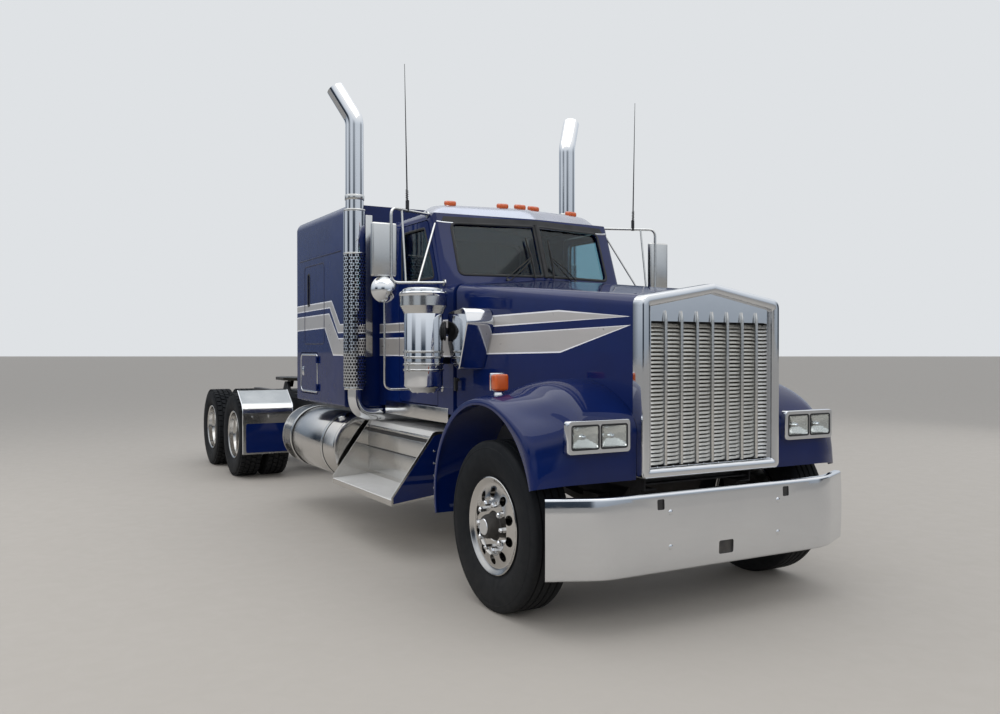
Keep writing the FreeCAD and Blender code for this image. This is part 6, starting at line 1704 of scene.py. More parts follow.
@dataclass
class Visor(SubAssembly):
    """The stainless visor over the windscreen with five marker lamps on it."""

    brow: float = 2.665
    foot: float = 2.65
    swept: float = 0.2
    sheet: float = 0.008
    marker_back: float = 0.225
    marker_ys: tuple[float, ...] = (-0.59, -0.15, 0.0, 0.15, 0.59)

    def section(self, station: Sequence[float]) -> list[Vector]:
        """The closed section at a place across: along the top from lip to rear, and back underneath.

        Args:
            station: The place across, and the heights of lip, middle and rear over the brow.

        Returns:
            The section's points.
        """
        y, lip, mid, high = station
        x = self.foot - self.swept * abs(y)
        top = curve_through([(x + 0.02, self.brow + lip), (x - 0.13, self.brow + mid),
                             (x - 0.32, self.brow + high)], 8)
        under = [(a - 0.003, b - self.sheet) for a, b in reversed(top)]
        return [Vector((a, y, b)) for a, b in (*top, *under)]

    def blade(self) -> None:
        """The swept blade on its three feet, and the bright rolled edge along its lip."""
        half = [(0.812, -0.050, -0.014, 0.020), (0.77, -0.055, 0.035, 0.068), (0.71, -0.058, 0.074, 0.108),
                (0.64, -0.060, 0.088, 0.123), (0.5, -0.061, 0.090, 0.125), (0.25, -0.063, 0.090, 0.125)]
        rows = [*[(-y, *rest) for y, *rest in half], (0.0, -0.065, 0.090, 0.125), *reversed(half)]
        sections = [self.section(station) for station in curve_through(rows, 4)]
        feet = [soft_box((x - 0.3, y, self.brow - 0.02), (x - 0.27, y + 0.05, self.brow + 0.112), 0.003)
                for y, x in ((-0.6, self.foot - 0.12), (-0.025, self.foot), (0.55, self.foot - 0.12))]
        self.add("visor_blade", merge(skin(sections), *feet), VISOR_SHEET, "visor", crease=40)
        lip = [section[0] + Vector((-0.002, 0, -0.004)) for section in sections]
        self.add("visor_lip", sweep(lip, 0.0085, 12), CHROME)

    def marker_x(self, y: float) -> float:
        """Where a marker lamp's middle is along the truck, at a place across."""
        return self.foot - self.swept * abs(y) - self.marker_back

    def markers(self) -> None:
        """Five amber lamps, each a tapered lens on a plated foot that follows the visor's slope."""
        lenses, feet, z = bmesh.new(), bmesh.new(), self.brow + 0.108
        for y in self.marker_ys:
            x = self.marker_x(y)
            low, high = (x - 0.038, y - 0.046, z + 0.004), (x + 0.036, y + 0.046, z + 0.045)
            merge(lenses, soft_box(low, high, 0.016, 4))
            low, high = (x - 0.045, y - 0.05, z - 0.006), (x + 0.043, y + 0.05, z + 0.008)
            merge(feet, soft_box(low, high, 0.005))
        for vert in lenses.verts:
            middle = min(self.marker_ys, key=lambda y: abs(y - vert.co.y))
            taper = 1 - 5.5 * max(vert.co.x - self.marker_x(middle), 0.0)
            vert.co.y = middle + (vert.co.y - middle) * taper
        for vert in (*lenses.verts, *feet.verts):
            vert.co.z -= 0.18 * (vert.co.x - self.marker_x(vert.co.y))
        self.add("marker_lenses", lenses, AMBER, "marker_lamps")
        self.add("marker_feet", feet, CHROME, "marker_lamps")

    def build(self) -> None:
        """Builds the visor and its lamps."""
        self.blade()
        self.markers()


@dataclass
class Sleeper(SubAssembly):
    """The box sleeper with its panel joints, rivets, slot windows and luggage lids."""

    side_y: float = 1.16
    rear: float = -0.06
    front: float = 1.36

    def joints(self) -> None:
        """The raised side panel and the seam over it, as shallow battens."""
        panel = side_bead(oblong(0.20, 0.80, 1.66, 2.415, 0.045), -self.side_y, 0.0065, 0.003)
        seam = soft_box((self.rear + 0.09, -self.side_y - 0.003, 2.474),
                        (self.front - 0.09, -self.side_y + 0.004, 2.486), 0.002)
        self.pair("sleeper_joints", merge(panel, seam), SEAM)

    def rivets(self) -> None:
        """Rows of rivets along the seam and the lower edge."""
        for name, side in SIDES.items():
            for level, z in (("seam", 2.50), ("sill", 1.135)):
                row = Repeat(f"sleeper_{level}_rivets_{name}", 22, step=Vector((0.055, 0, 0)))
                place = Matrix.Translation((0.075, side * (self.side_y - 0.0002), z))
                self.repeat(row, dome(0.0045, 0.0022, turn=sideways(side)), PAINT, place)

    def extenders(self) -> None:
        """Polished panels on the front corners, behind the stacks."""
        bm = soft_box((self.front - 0.004, -1.09, 1.54), (self.front + 0.005, -0.90, 2.80), 0.003)
        self.pair("corner_panels", bm, STAINLESS)

    def lids(self) -> None:
        """The luggage lids with plated frames and paddle latches."""
        for name, side in SIDES.items():
            body, y = f"locker_lid_{name}", side * self.side_y
            self.copy(body, PAINT, 2.5, body=body)
            trim = side_bead(oblong(0.075, 0.595, 1.20, 1.555, 0.05, 8), y, 0.009, 0.006)
            self.add(f"lid_trim_{name}", trim, CHROME, body=body)
            latch = merge(soft_box((0.12, y - 0.004, 1.35), (0.17, y + 0.004, 1.44), 0.004),
                          soft_box((0.132, y - 0.010, 1.362), (0.158, y + 0.010, 1.425), 0.006))
            self.add(f"lid_latch_{name}", latch, CHROME, body=body)

    def slots(self) -> None:
        """The rubber round the narrow side windows."""
        bm = side_bead(oblong(0.299, 0.361, 2.03, 2.34, 0.03), -self.side_y, 0.009, 0.005)
        self.pair("slot_seals", bm, RUBBER)

    def build(self) -> None:
        """Builds the sleeper."""
        self.copy("sleeper_shell", BODYWORK, 3.0, striped(SLEEPER_STRIPES, 1.1))
        self.joints()
        self.rivets()
        self.extenders()
        self.lids()
        self.slots()


@dataclass
class Tanks(SubAssembly):
    """The round fuel tanks with rolled ends, straps, seams and caps."""

    centre_y: float = 0.868
    centre_z: float = 0.70
    radius: float = 0.312
    rear: float = -0.55
    front: float = 1.11
    straps: tuple[float, float] = (-0.22, 0.78)
    cap_x: float = 0.93
    cap_turn: float = 62.0

    def shells(self) -> None:
        """The polished shells."""
        r, a, b = self.radius, self.rear, self.front
        half = [(0.012, 0.0), (0.010, 0.10), (0.006, 0.20), (0.0, r - 0.05), (0.0, r - 0.024),
                (0.004, r - 0.008), (0.012, r - 0.001), (0.024, r), (0.030, r - 0.003), (0.036, r)]
        profile = [(a + d, y) for d, y in half] + [(b - d, y) for d, y in reversed(half)]
        bm = lathe(profile, Vector((0, -self.centre_y, self.centre_z)), "X", 96)
        self.pair("tank_shells", bm, ALUMINIUM, "fuel_tanks")

    def bands(self) -> None:
        """Steel straps on black rubber."""
        rubber, steel = bmesh.new(), bmesh.new()
        centre, r = Vector((0, -self.centre_y, self.centre_z)), self.radius
        for x in self.straps:
            under = [(x - 0.034, r - 0.001), (x - 0.034, r + 0.0025), (x + 0.034, r + 0.0025),
                     (x + 0.034, r - 0.001)]
            strap = hoop(x - 0.026, 0.052, (r, r + 0.0055, r + 0.0065), 0.003)
            merge(rubber, lathe(under, centre, "X", 96, closed=True))
            merge(steel, lathe(strap, centre, "X", 96, closed=True))
        self.pair("strap_rubbers", rubber, RUBBER)
        self.pair("straps", steel, STAINLESS, "fuel_tanks")

    def caps(self) -> None:
        """Filler necks with caps, high on the outside near the front."""
        turn = math.radians(self.cap_turn)
        out, up = self.radius * math.cos(turn), self.radius * math.sin(turn)
        base = Vector((self.cap_x, -self.centre_y - out, self.centre_z + up))
        rows = [(-0.012, 0.0), (-0.012, 0.052), (0.008, 0.052), (0.010, 0.046), (0.026, 0.046), (0.031, 0.04),
                (0.031, 0.0)]
        bm = lathe(rows, Vector(), "Z", 32)
        tilt = Matrix.Rotation(math.pi / 2 - turn, 4, "X")
        bmesh.ops.transform(bm, matrix=Matrix.Translation(base) @ tilt, verts=bm.verts)
        self.pair("filler_caps", bm, CHROME)

    def build(self) -> None:
        """Builds the tanks."""
        self.shells()
        self.bands()
        self.caps()


@dataclass
class Steps(SubAssembly):
    """Two-level steps under the doors with gripping buttons and bolted ends."""

    rear: float = 1.16
    front: float = 2.53
    button_pitch: float = 0.026

    def faces(self, bm: BMesh) -> None:
        """Gives the treads the first finish, the risers the second and the ends the third."""
        for face in bm.faces:
            upward, along = face.normal.z > 0.3, abs(face.normal.x) > 0.9
            face.material_index = 0 if upward else 2 if along else 1

    def buttons(self) -> None:
        """Raised buttons on both treads."""
        # The buttons are drawn larger and fewer than the real ones.
        pitch = self.button_pitch
        for name, side in SIDES.items():
            for level, y, z, lean in (("upper", 0.70, 0.9652, 0.0), ("lower", 1.06, 0.4665, 0.058)):
                row = Repeat(f"step_buttons_{level}_{name}", 50, rows=5, step=Vector((pitch, 0, 0)),
                             rise=Vector((0, side * pitch, -pitch * lean)))
                place = Matrix.Translation((self.rear + 0.05, side * y, z))
                self.repeat(row, dome(0.006, 0.0028, 8), TREAD, place)

    def risers(self) -> None:
        """The riser's folded panels, with black strips that paint the shade in the slot under the tread's
        nose and in the fold between them.
        """
        low, high = self.rear + 0.006, self.front - 0.006
        panels = merge(soft_box((low, -0.868, 0.898), (high, -0.848, 0.924), 0.008),
                       soft_box((low, -0.865, 0.735), (high, -0.851, 0.868), 0.004),
                       soft_box((low, -0.861, 0.515), (high, -0.851, 0.722), 0.004))
        self.pair("riser_panels", panels, STAINLESS)
        # Painted shade: black strips stand in for the shadow inside the slot and the fold.
        dark = merge(soft_box((low, -0.8575, 0.866), (high, -0.85, 0.900), 0.002),
                     soft_box((low, -0.8575, 0.720), (high, -0.85, 0.737), 0.002))
        self.pair("riser_slots", dark, CHASSIS_BLACK)

    def ends(self) -> None:
        """The front end's blue panel and its bolts."""
        end = [(-0.80, 0.945), (-0.845, 0.93), (-1.185, 0.475), (-1.185, 0.428), (-0.45, 0.522),
               (-0.45, 0.945)]
        panel = plate(end, from_front, self.front - 0.0005, self.front + 0.0025)
        self.pair("step_end_panels", panel, PAINT)
        for name, side in SIDES.items():
            for number, y in enumerate((0.845, 0.50)):
                row = Repeat(f"step_end_bolts_{number}_{name}", 4, step=Vector((0, 0, 0.095)))
                place = Matrix.Translation((self.front + 0.002, side * y, 0.53))
                self.repeat(row, dome(0.010, 0.006, 12, FORWARD), CHROME, place)

    def sills(self) -> None:
        """Polished sill panels on the cab's foot, over the upper treads."""
        self.pair("cab_sills", soft_box((1.56, -0.857, 1.05), (2.80, -0.846, 1.163), 0.004), ALUMINIUM)

    def build(self) -> None:
        """Builds the steps."""
        self.copy("side_steps", (TREAD, ALUMINIUM, ALUMINIUM), 2.0, self.faces)
        self.buttons()
        self.risers()
        self.ends()
        self.sills()


@dataclass
class AirCleaners(SubAssembly):
    """Polished canisters with bolted lids, double bands, feet, brackets and bellows."""

    x: float = 2.965
    y: float = 1.13
    low: float = 1.30
    top: float = 2.05
    radius: float = 0.14

    @property
    def centre(self) -> Vector:
        """The right canister's axis at the ground."""
        return Vector((self.x, -self.y, 0))

    def canisters(self) -> None:
        """The turned body, its brushed neck and the lid."""
        low, top, r = self.low, self.top, self.radius
        body = [(low, 0.0), (low, 0.088), (low + 0.006, 0.095), (low + 0.028, 0.117), (low + 0.036, 0.133),
                (low + 0.044, r - 0.001), (low + 0.05, r), (top - 0.19, r), (top - 0.185, r - 0.002),
                (top - 0.18, r - 0.002), (top - 0.18, 0.0)]
        cone = [(top - 0.185, 0.0), (top - 0.185, r), (top - 0.178, r + 0.003), (top - 0.15, r + 0.017),
                (top - 0.13, r + 0.03), (top - 0.06, r + 0.03), (top - 0.06, 0.0)]
        lid = [(top - 0.062, 0.0), (top - 0.062, r + 0.033), (top - 0.056, r + 0.036),
               (top - 0.04, r + 0.036), (top - 0.034, r + 0.032), (top - 0.028, r + 0.012),
               (top - 0.012, r + 0.010), (top - 0.004, r), (top, r - 0.02), (top, 0.0)]
        turned = (("bodies", body, CHROME), ("cones", cone, STAINLESS), ("lids", lid, CHROME))
        for name, rows, finish in turned:
            self.pair(f"cleaner_{name}", lathe(rows, self.centre, "Z", 72), finish, "air_cleaners")

    def bands(self) -> None:
        """Two pairs of straps with their clamp bolts."""
        bm, r = bmesh.new(), self.radius
        for up in (0.152, 0.192, 0.242, 0.282):
            band = hoop(self.low + up, 0.016, (r - 0.002, r + 0.005, r + 0.0075), 0.003)
            merge(bm, lathe(band, self.centre, "Z", 72, closed=True))
        for up in (0.18, 0.27):
            middle = self.centre + Vector((0.03, -r - 0.014, self.low + up))
            merge(bm, sweep([middle + Vector((0, 0, reach)) for reach in (-0.035, 0.035)], 0.006, 10))
        self.pair("cleaner_bands", bm, STAINLESS)

    def bolts(self) -> None:
        """Small bolts round each lid and foot."""
        for name, side in SIDES.items():
            place = Matrix.Translation((self.x, side * self.y, self.top - 0.030))
            ring = Repeat(f"lid_bolts_{name}", 12, radius=self.radius + 0.02)
            self.repeat(ring, hex_nut(0.006, 0.006), CHROME, place)
            foot = Matrix.Translation((self.x, side * self.y, self.low + 0.002))
            flip = foot @ Matrix.Rotation(math.pi, 4, "X")
            self.repeat(Repeat(f"foot_bolts_{name}", 6, radius=0.072), hex_nut(0.008, 0.008), CHROME, flip)

    def brackets(self) -> None:
        """The arms that hold each canister to the cab."""
        line = [(2.82, -0.842), (2.76, -0.842), (2.945, -1.11), (3.005, -1.11)]
        arms = merge(*[plate(line, from_above, z, z + 0.05) for z in (self.low + 0.20, self.top - 0.33)])
        soften(self.pair("cleaner_brackets", arms, CHASSIS_BLACK, "air_cleaners"), 2.0)

    def bellows(self) -> None:
        """Ribbed rubber from each canister to its intake cover."""
        start, end = Vector((self.x + 0.02, -self.y + 0.06, 1.74)), Vector((3.032, -0.985, 1.74))
        path = [start.lerp(end, i / 40) for i in range(41)]
        ribbed = sweep(path, lambda t: 0.066 + 0.005 * math.sin(t * 22), 28)
        self.pair("bellows", ribbed, RUBBER, "air_cleaners")

    def build(self) -> None:
        """Builds both air cleaners."""
        self.canisters()
        self.bands()
        self.bolts()
        self.brackets()
        self.bellows()


@dataclass
class Stacks(SubAssembly):
    """The tall exhausts: curved tips, perforated shields, clamps and lower elbows."""

    x: float = 1.468
    y: float = 1.105
    top: float = 3.60
    low: float = 1.045
    radius: float = 0.078
    shield_r: float = 0.096
    shield_low: float = 1.285
    shield_top: float = 2.43
    sleeve_top: float = 2.80
    around: int = 22
    rows: int = 44

    def spot(self, z: float) -> Vector:
        """A point on the right pipe's axis."""
        return Vector((self.x, -self.y, z))

    def pipes(self) -> None:
        """The upper pipe with its turned-out tip, closed by a black disc that paints the soot and the shade
        of an open mouth, and the lower elbow.
        """
        tip = Vector((self.x - 0.12, -self.y - 0.13, self.top + 0.28))
        upper = rounded_path([self.spot(self.low + 0.33), self.spot(self.top), tip], 0.19, 14)
        elbow = [self.spot(self.low + 0.34), self.spot(self.low), Vector((self.x, -0.62, self.low)),
                 Vector((self.x + 0.48, -0.52, self.low))]
        lower = rounded_path(elbow, 0.16, 14)
        pipes = merge(sweep(upper, self.radius, 48), sweep(lower, 0.06, 36))
        self.pair("stack_pipes", pipes, CHROME, "exhaust_stacks")
        ahead = (tip - self.spot(self.top)).normalized()
        # Painted shade: a black disc in the tip stands in for the soot and the shadow inside the open pipe.
        mouth = sweep([tip - ahead * 0.004, tip + ahead * 0.0012], 0.070, 40)
        self.pair("stack_mouths", mouth, SOOT_AND_SHADE)

    def clamps(self) -> None:
        """Band clamps under the tip, at the shield's ends and on the elbow."""
        bm = bmesh.new()
        for z, r, w in ((2.90, self.radius, 0.045), (self.sleeve_top, self.shield_r - 0.006, 0.02),
                        (self.shield_top, self.shield_r - 0.003, 0.014),
                        (self.shield_low - 0.026, self.shield_r - 0.010, 0.026)):
            band = hoop(z, w, (r - 0.004, r + 0.004, r + 0.006), 0.004)
            merge(bm, lathe(band, self.spot(0), "Z", 48, closed=True))
        bracket = soft_box((1.36, -self.y - 0.03, 2.25), (self.x - 0.07, -self.y + 0.03, 2.29), 0.005)
        self.pair("stack_clamps", merge(bm, bracket), STAINLESS, "exhaust_stacks")

    def cell(self, width: float, height: float) -> Object:
        """One pierced cell of the shield, with a short wall round its hole.

        Args:
            width: How wide it is round the pipe.
            height: How high it is.

        Returns:
            The cell.
        """
        edge = [(-1, -1), (0, -1), (1, -1), (1, 0), (1, 1), (0, 1), (-1, 1), (-1, 0)]
        hole = [(-0.46, -0.46), (0, -0.84), (0.46, -0.46), (0.80, 0), (0.46, 0.46), (0, 0.84), (-0.46, 0.46),
                (-0.80, 0)]
        rings = [[Vector((depth, a * width / 2, b * height / 2)) for a, b in line]
                 for line, depth in ((edge, 0.0), (hole, 0.0), (hole, -0.004))]
        bm = skin(rings, caps=False)
        bm.normal_update()
        return finished("cell", bm, outward=False)

    def shields(self) -> None:
        """Perforated shields: Geometry Nodes rings of pierced cells, stacked."""
        # The holes are drawn larger and fewer than the real ones.
        width = 2 * self.shield_r * math.tan(math.pi / self.around)
        height = (self.shield_top - self.shield_low) / self.rows
        for name, side in SIDES.items():
            for shift in (0, 1):
                pattern = Repeat(f"stack_shield_{name}_{shift}", self.around, rows=self.rows // 2,
                                 rise=Vector((0, 0, 2 * height)), radius=self.shield_r)
                foot = Matrix.Translation((self.x, side * self.y, self.shield_low + (0.5 + shift) * height))
                turn = Matrix.Rotation(shift * math.pi / self.around, 4, "Z")
                self.repeat(pattern, self.cell(width, height), CHROME, foot @ turn, "exhaust_stacks")

    def sleeves(self) -> None:
        """The black core inside each shield, which paints the shade behind its holes, and the plain sleeve
        over it.
        """
        low, top, high = self.shield_low + 0.002, self.shield_top, self.sleeve_top
        inner, outer = self.radius - 0.002, self.shield_r
        rows = [(low, inner), (low, outer - 0.007), (top, outer - 0.007), (top, inner)]
        # Painted shade: a black tube under the shield stands in for the shadow seen through its holes.
        core = lathe(rows, self.spot(0), "Z", 48, closed=True)
        self.pair("stack_shield_cores", core, SOOT_AND_SHADE)
        rows = [(top, inner), (top, outer), (high, outer), (high + 0.004, outer - 0.004),
                (high + 0.004, inner)]
        sleeve = lathe(rows, self.spot(0), "Z", 64, closed=True)
        self.pair("stack_sleeves", sleeve, CHROME, "exhaust_stacks")

    def build(self) -> None:
        """Builds both stacks."""
        self.pipes()
        self.clamps()
        self.shields()
        self.sleeves()


@dataclass
class Mirrors(SubAssembly):
    """Mirror loops with flat and domed mirrors, grab rods and aerials."""

    x: float = 2.65
    y: float = -1.25
    low: float = 2.15
    high: float = 2.55
    arm_r: float = 0.011
    pane_half: float = 0.0975
    aerial_top: float = 3.78

    @property
    def eye(self) -> Vector:
        """The middle of the right domed mirror."""
        return Vector((self.x - 0.03, self.y - 0.05, self.low - 0.095))

    def tubes(self) -> None:
        """The loop, its brace and post, the grab rod, the bolted feet and the aerial."""
        roof, foot = Vector((2.41, -0.82, 2.673)), Vector((2.72, -0.844, self.low - 0.035))
        top, bottom = Vector((self.x, self.y, 2.663)), Vector((self.x, self.y, self.low - 0.045))
        inner_top, inner_low = top + (roof - top) * 0.26, bottom + (foot - bottom) * 0.27
        bm = sweep(rounded_path([roof, top, bottom, foot], 0.06), self.arm_r, 16)
        brace = [bottom + (foot - bottom) * 0.5, Vector((2.50, -0.82, self.high + 0.045))]
        merge(bm, sweep(brace, self.arm_r - 0.003, 14), sweep([inner_low, inner_top], self.arm_r - 0.003, 14))
        merge(bm, sweep([self.eye + Vector((0.04, 0, 0)), bottom], 0.009, 12))
        head, heel = self.eye + Vector((0.02, 0, -0.06)), Vector((self.x + 0.04, -0.844, 1.31))
        grab = rounded_path([head, Vector((self.x - 0.01, self.y - 0.05, 1.31)), heel], 0.06)
        merge(bm, sweep(grab, 0.008, 14))
        washer = [(-0.006, 0.0), (-0.006, 0.026), (0.004, 0.026), (0.010, 0.014), (0.010, 0.0)]
        for spot in (roof, foot, grab[-1]):
            merge(bm, lathe(washer, Vector((spot.x, -0.846, spot.z)), "Y", 20))
        self.pair("mirror_tubes", bm, STAINLESS, "mirrors")
        self.aerial(inner_top + (roof - top) * 0.14 + Vector((0, 0, 0.008)))

    def aerial(self, base: Vector) -> None:
        """A tapered whip on a stub with a spring, leaning outwards a little.

        Args:
            base: The stub's foot.
        """
        tall, rise = self.aerial_top - base.z, Vector((0, -0.02, 1))
        bm = sweep([base + rise * tall * i / 8 for i in range(9)], lambda t: 0.0065 - 0.0045 * t, 10)
        merge(bm, sweep([base + Vector((0, 0, z)) for z in (-0.02, 0.07)], 0.014, 16))
        spring = [base + Vector((0.011 * math.cos(a), 0.011 * math.sin(a) - 0.0016, 0.07 + a * 0.0022))
                  for a in (2 * math.pi * k / 10 for k in range(60))]
        self.pair("aerials", merge(bm, sweep(spring, 0.0022, 6)), CHASSIS_BLACK, "mirrors")

    def heads(self) -> None:
        """The flat mirrors in brushed shells, and the domed ones below."""
        near, far = self.eye.y - self.pane_half, self.eye.y + self.pane_half
        shell = soft_box((self.x - 0.05, near, self.low), (self.x, far, self.high), 0.014, 4)
        self.pair("mirror_shells", shell, STAINLESS, "mirrors")
        pane = soft_box((self.x - 0.0525, near + 0.012, self.low + 0.012),
                        (self.x - 0.047, far - 0.012, self.high - 0.012), 0.002)
        domed = [(-0.004, 0.0), (-0.0035, 0.06), (0.0, 0.092), (0.004, 0.092), (0.004, 0.0)]
        self.pair("mirror_panes", merge(pane, lathe(domed, self.eye, "X", 48)), MIRROR)
        rim = [(0.001, 0.0), (0.001, 0.094), (0.0, 0.099), (0.003, 0.1005), (0.008, 0.0995)]
        bowl = [(0.1 * math.sin(a), 0.1 * math.cos(a)) for a in (math.pi / 2 * k / 12 for k in range(2, 12))]
        self.pair("mirror_domes", lathe([*rim, *bowl, (0.1, 0.0)], self.eye, "X", 56), CHROME, "mirrors")

    def build(self) -> None:
        """Builds both mirror sets."""
        self.tubes()
        self.heads()


@dataclass
class RearGuards(SubAssembly):
    """The quarter fenders with bright edges, the rear bar and the mud flaps."""

    face_x: float = -2.093

    def edges(self) -> None:
        """Rolled bright edges down the quarter fenders, blue panels on their faces that paint a dark-blue
        reflection, and bolts on their faces.
        """
        line = rounded_path([Vector(spot) for spot in (
            (self.face_x, 0, 0.33), (self.face_x, 0, 0.90), (-2.36, 0, 1.097))], 0.17, 12)
        beads = [sweep([spot + Vector((0, y, 0)) for spot in line], 0.006, 10) for y in (-0.614, -1.233)]
        self.pair("quarter_edges", merge(*beads), CHROME)
        # Painted reflection: a blue panel stands in for the dark-blue reflection in the polished face.
        reflection_panel = plate(oblong(-1.195, -0.652, 0.345, 0.70, 0.03), from_front, -2.0935, -2.0905)
        self.pair("quarter_inlays", reflection_panel, PAINT)
        for name, side in SIDES.items():
            row = Repeat(f"quarter_bolts_{name}", 3, step=Vector((0, side * 0.2, 0)))
            place = Matrix.Translation((self.face_x + 0.001, side * 0.72, 0.785))
            self.repeat(row, dome(0.009, 0.005, 12, FORWARD), CHROME, place)

    def build(self) -> None:
        """Builds the rear guards."""
        self.copy("quarter_fenders", STAINLESS, 0)
        self.edges()
        self.copy("rear_bar", CHROME)
        self.copy("mud_flaps", RUBBER)


@dataclass
class Chassis(SubAssembly):
    """Frame rails with their bolts, the axles, springs and shafts."""

    def bolts(self) -> None:
        """Rows of frame bolts along the rails' webs."""
        for name, side in SIDES.items():
            for group, x, count in (("rear", -4.7, 30), ("middle", -1.9, 16)):
                row = Repeat(f"rail_bolts_{group}_{name}", count, rows=2, step=Vector((0.085, 0, 0)),
                             rise=Vector((0, 0, 0.15)))
                place = Matrix.Translation((x, side * 0.43, 0.82))
                self.repeat(row, hex_nut(0.011, 0.009, sideways(side)), CHASSIS_BLACK, place)

    def build(self) -> None:
        """Builds the running gear."""
        self.copy("frame", CHASSIS_BLACK)
        self.copy("radiator", CHASSIS_BLACK, 2.0)
        for node in ("engine_block", "front_axle", "front_springs", "rear_suspension", "drive_axles",
                     "driveshaft"):
            self.copy(node, IRON, 2.0)
        self.copy("tie_rod", IRON, 0, body="tie_rod")
        for name in SIDES:
            self.copy(f"knuckle_{name}", IRON, body=f"knuckle_{name}")
        self.bolts()


@dataclass
class Coupling(SubAssembly):
    """The fifth wheel on its base."""

    def build(self) -> None:
        """Builds the coupling."""
        self.copy("fifth_wheel_base", CHASSIS_BLACK)
        self.copy("fifth_wheel_plate", GREASED, 2.0, body="fifth_wheel")


@dataclass
class Interior(SubAssembly):
    """Dashboard, steering wheel and seats."""

    seat_x: float = 1.685
    seat_y: float = 0.43
    floor_z: float = 1.16
    swell: float = 0.022

    def cushion(self, name: str, low: Sequence[float], high: Sequence[float], lean: float) -> Object:
        """A crowned cushion.

        Args:
            name: Its name.
            low: Its lowest corner.
            high: Its highest corner.
            lean: How far it leans forward, in degrees.

        Returns:
            The cushion.
        """
        bm = soft_box(low, high, 0.045, 4)
        long_edges = [edge for edge in bm.edges if edge.calc_length() > 0.1]
        bmesh.ops.subdivide_edges(bm, edges=long_edges, cuts=7, use_grid_fill=True)
        size, middle = Vector(high) - Vector(low), (Vector(high) + Vector(low)) / 2
        axis = 2 if size.z < size.x else 0
        for vert in bm.verts:
            part = [(vert.co[i] - middle[i]) / size[i] * 2 for i in range(3)]
            a, b = (part[i] for i in range(3) if i != axis)
            crown = max(0.0, (1 - a ** 2) * (1 - b ** 2))
            vert.co[axis] += self.swell * crown * (1 if part[axis] > 0 else -0.3)
        pivot = Matrix.Translation((low[0], 0, low[2]))
        tilt = pivot @ Matrix.Rotation(math.radians(lean), 4, "Y") @ pivot.inverted()
        bmesh.ops.transform(bm, matrix=tilt, verts=bm.verts)
        return finished(name, bm, 60)

    def seats(self) -> None:
        """Two seats: cushion, back and boxed base each."""
        for name, side in SIDES.items():
            foot = Vector((self.seat_x, side * self.seat_y, self.floor_z))
            for part, low, high, lean in (("cushion", (0.01, -0.24, 0.33), (0.49, 0.24, 0.45), 0),
                                          ("back", (-0.10, -0.24, 0.40), (0.015, 0.24, 1.10), -8)):
                piece = self.cushion(f"seat_{part}_{name}", foot + Vector(low), foot + Vector(high), lean)
                self.keep(piece, SEAT_CLOTH, "seats")
            base = soft_box(foot + Vector((0.04, -0.19, 0)), foot + Vector((0.42, 0.19, 0.335)), 0.02)
            self.add(f"seat_base_{name}", base, CHASSIS_BLACK, "seats")

    def build(self) -> None:
        """Builds what shows through the glass."""
        self.copy("dashboard", VINYL, 4.0)
        self.copy("steering_wheel", VINYL, 0)
        self.seats()


# Studio


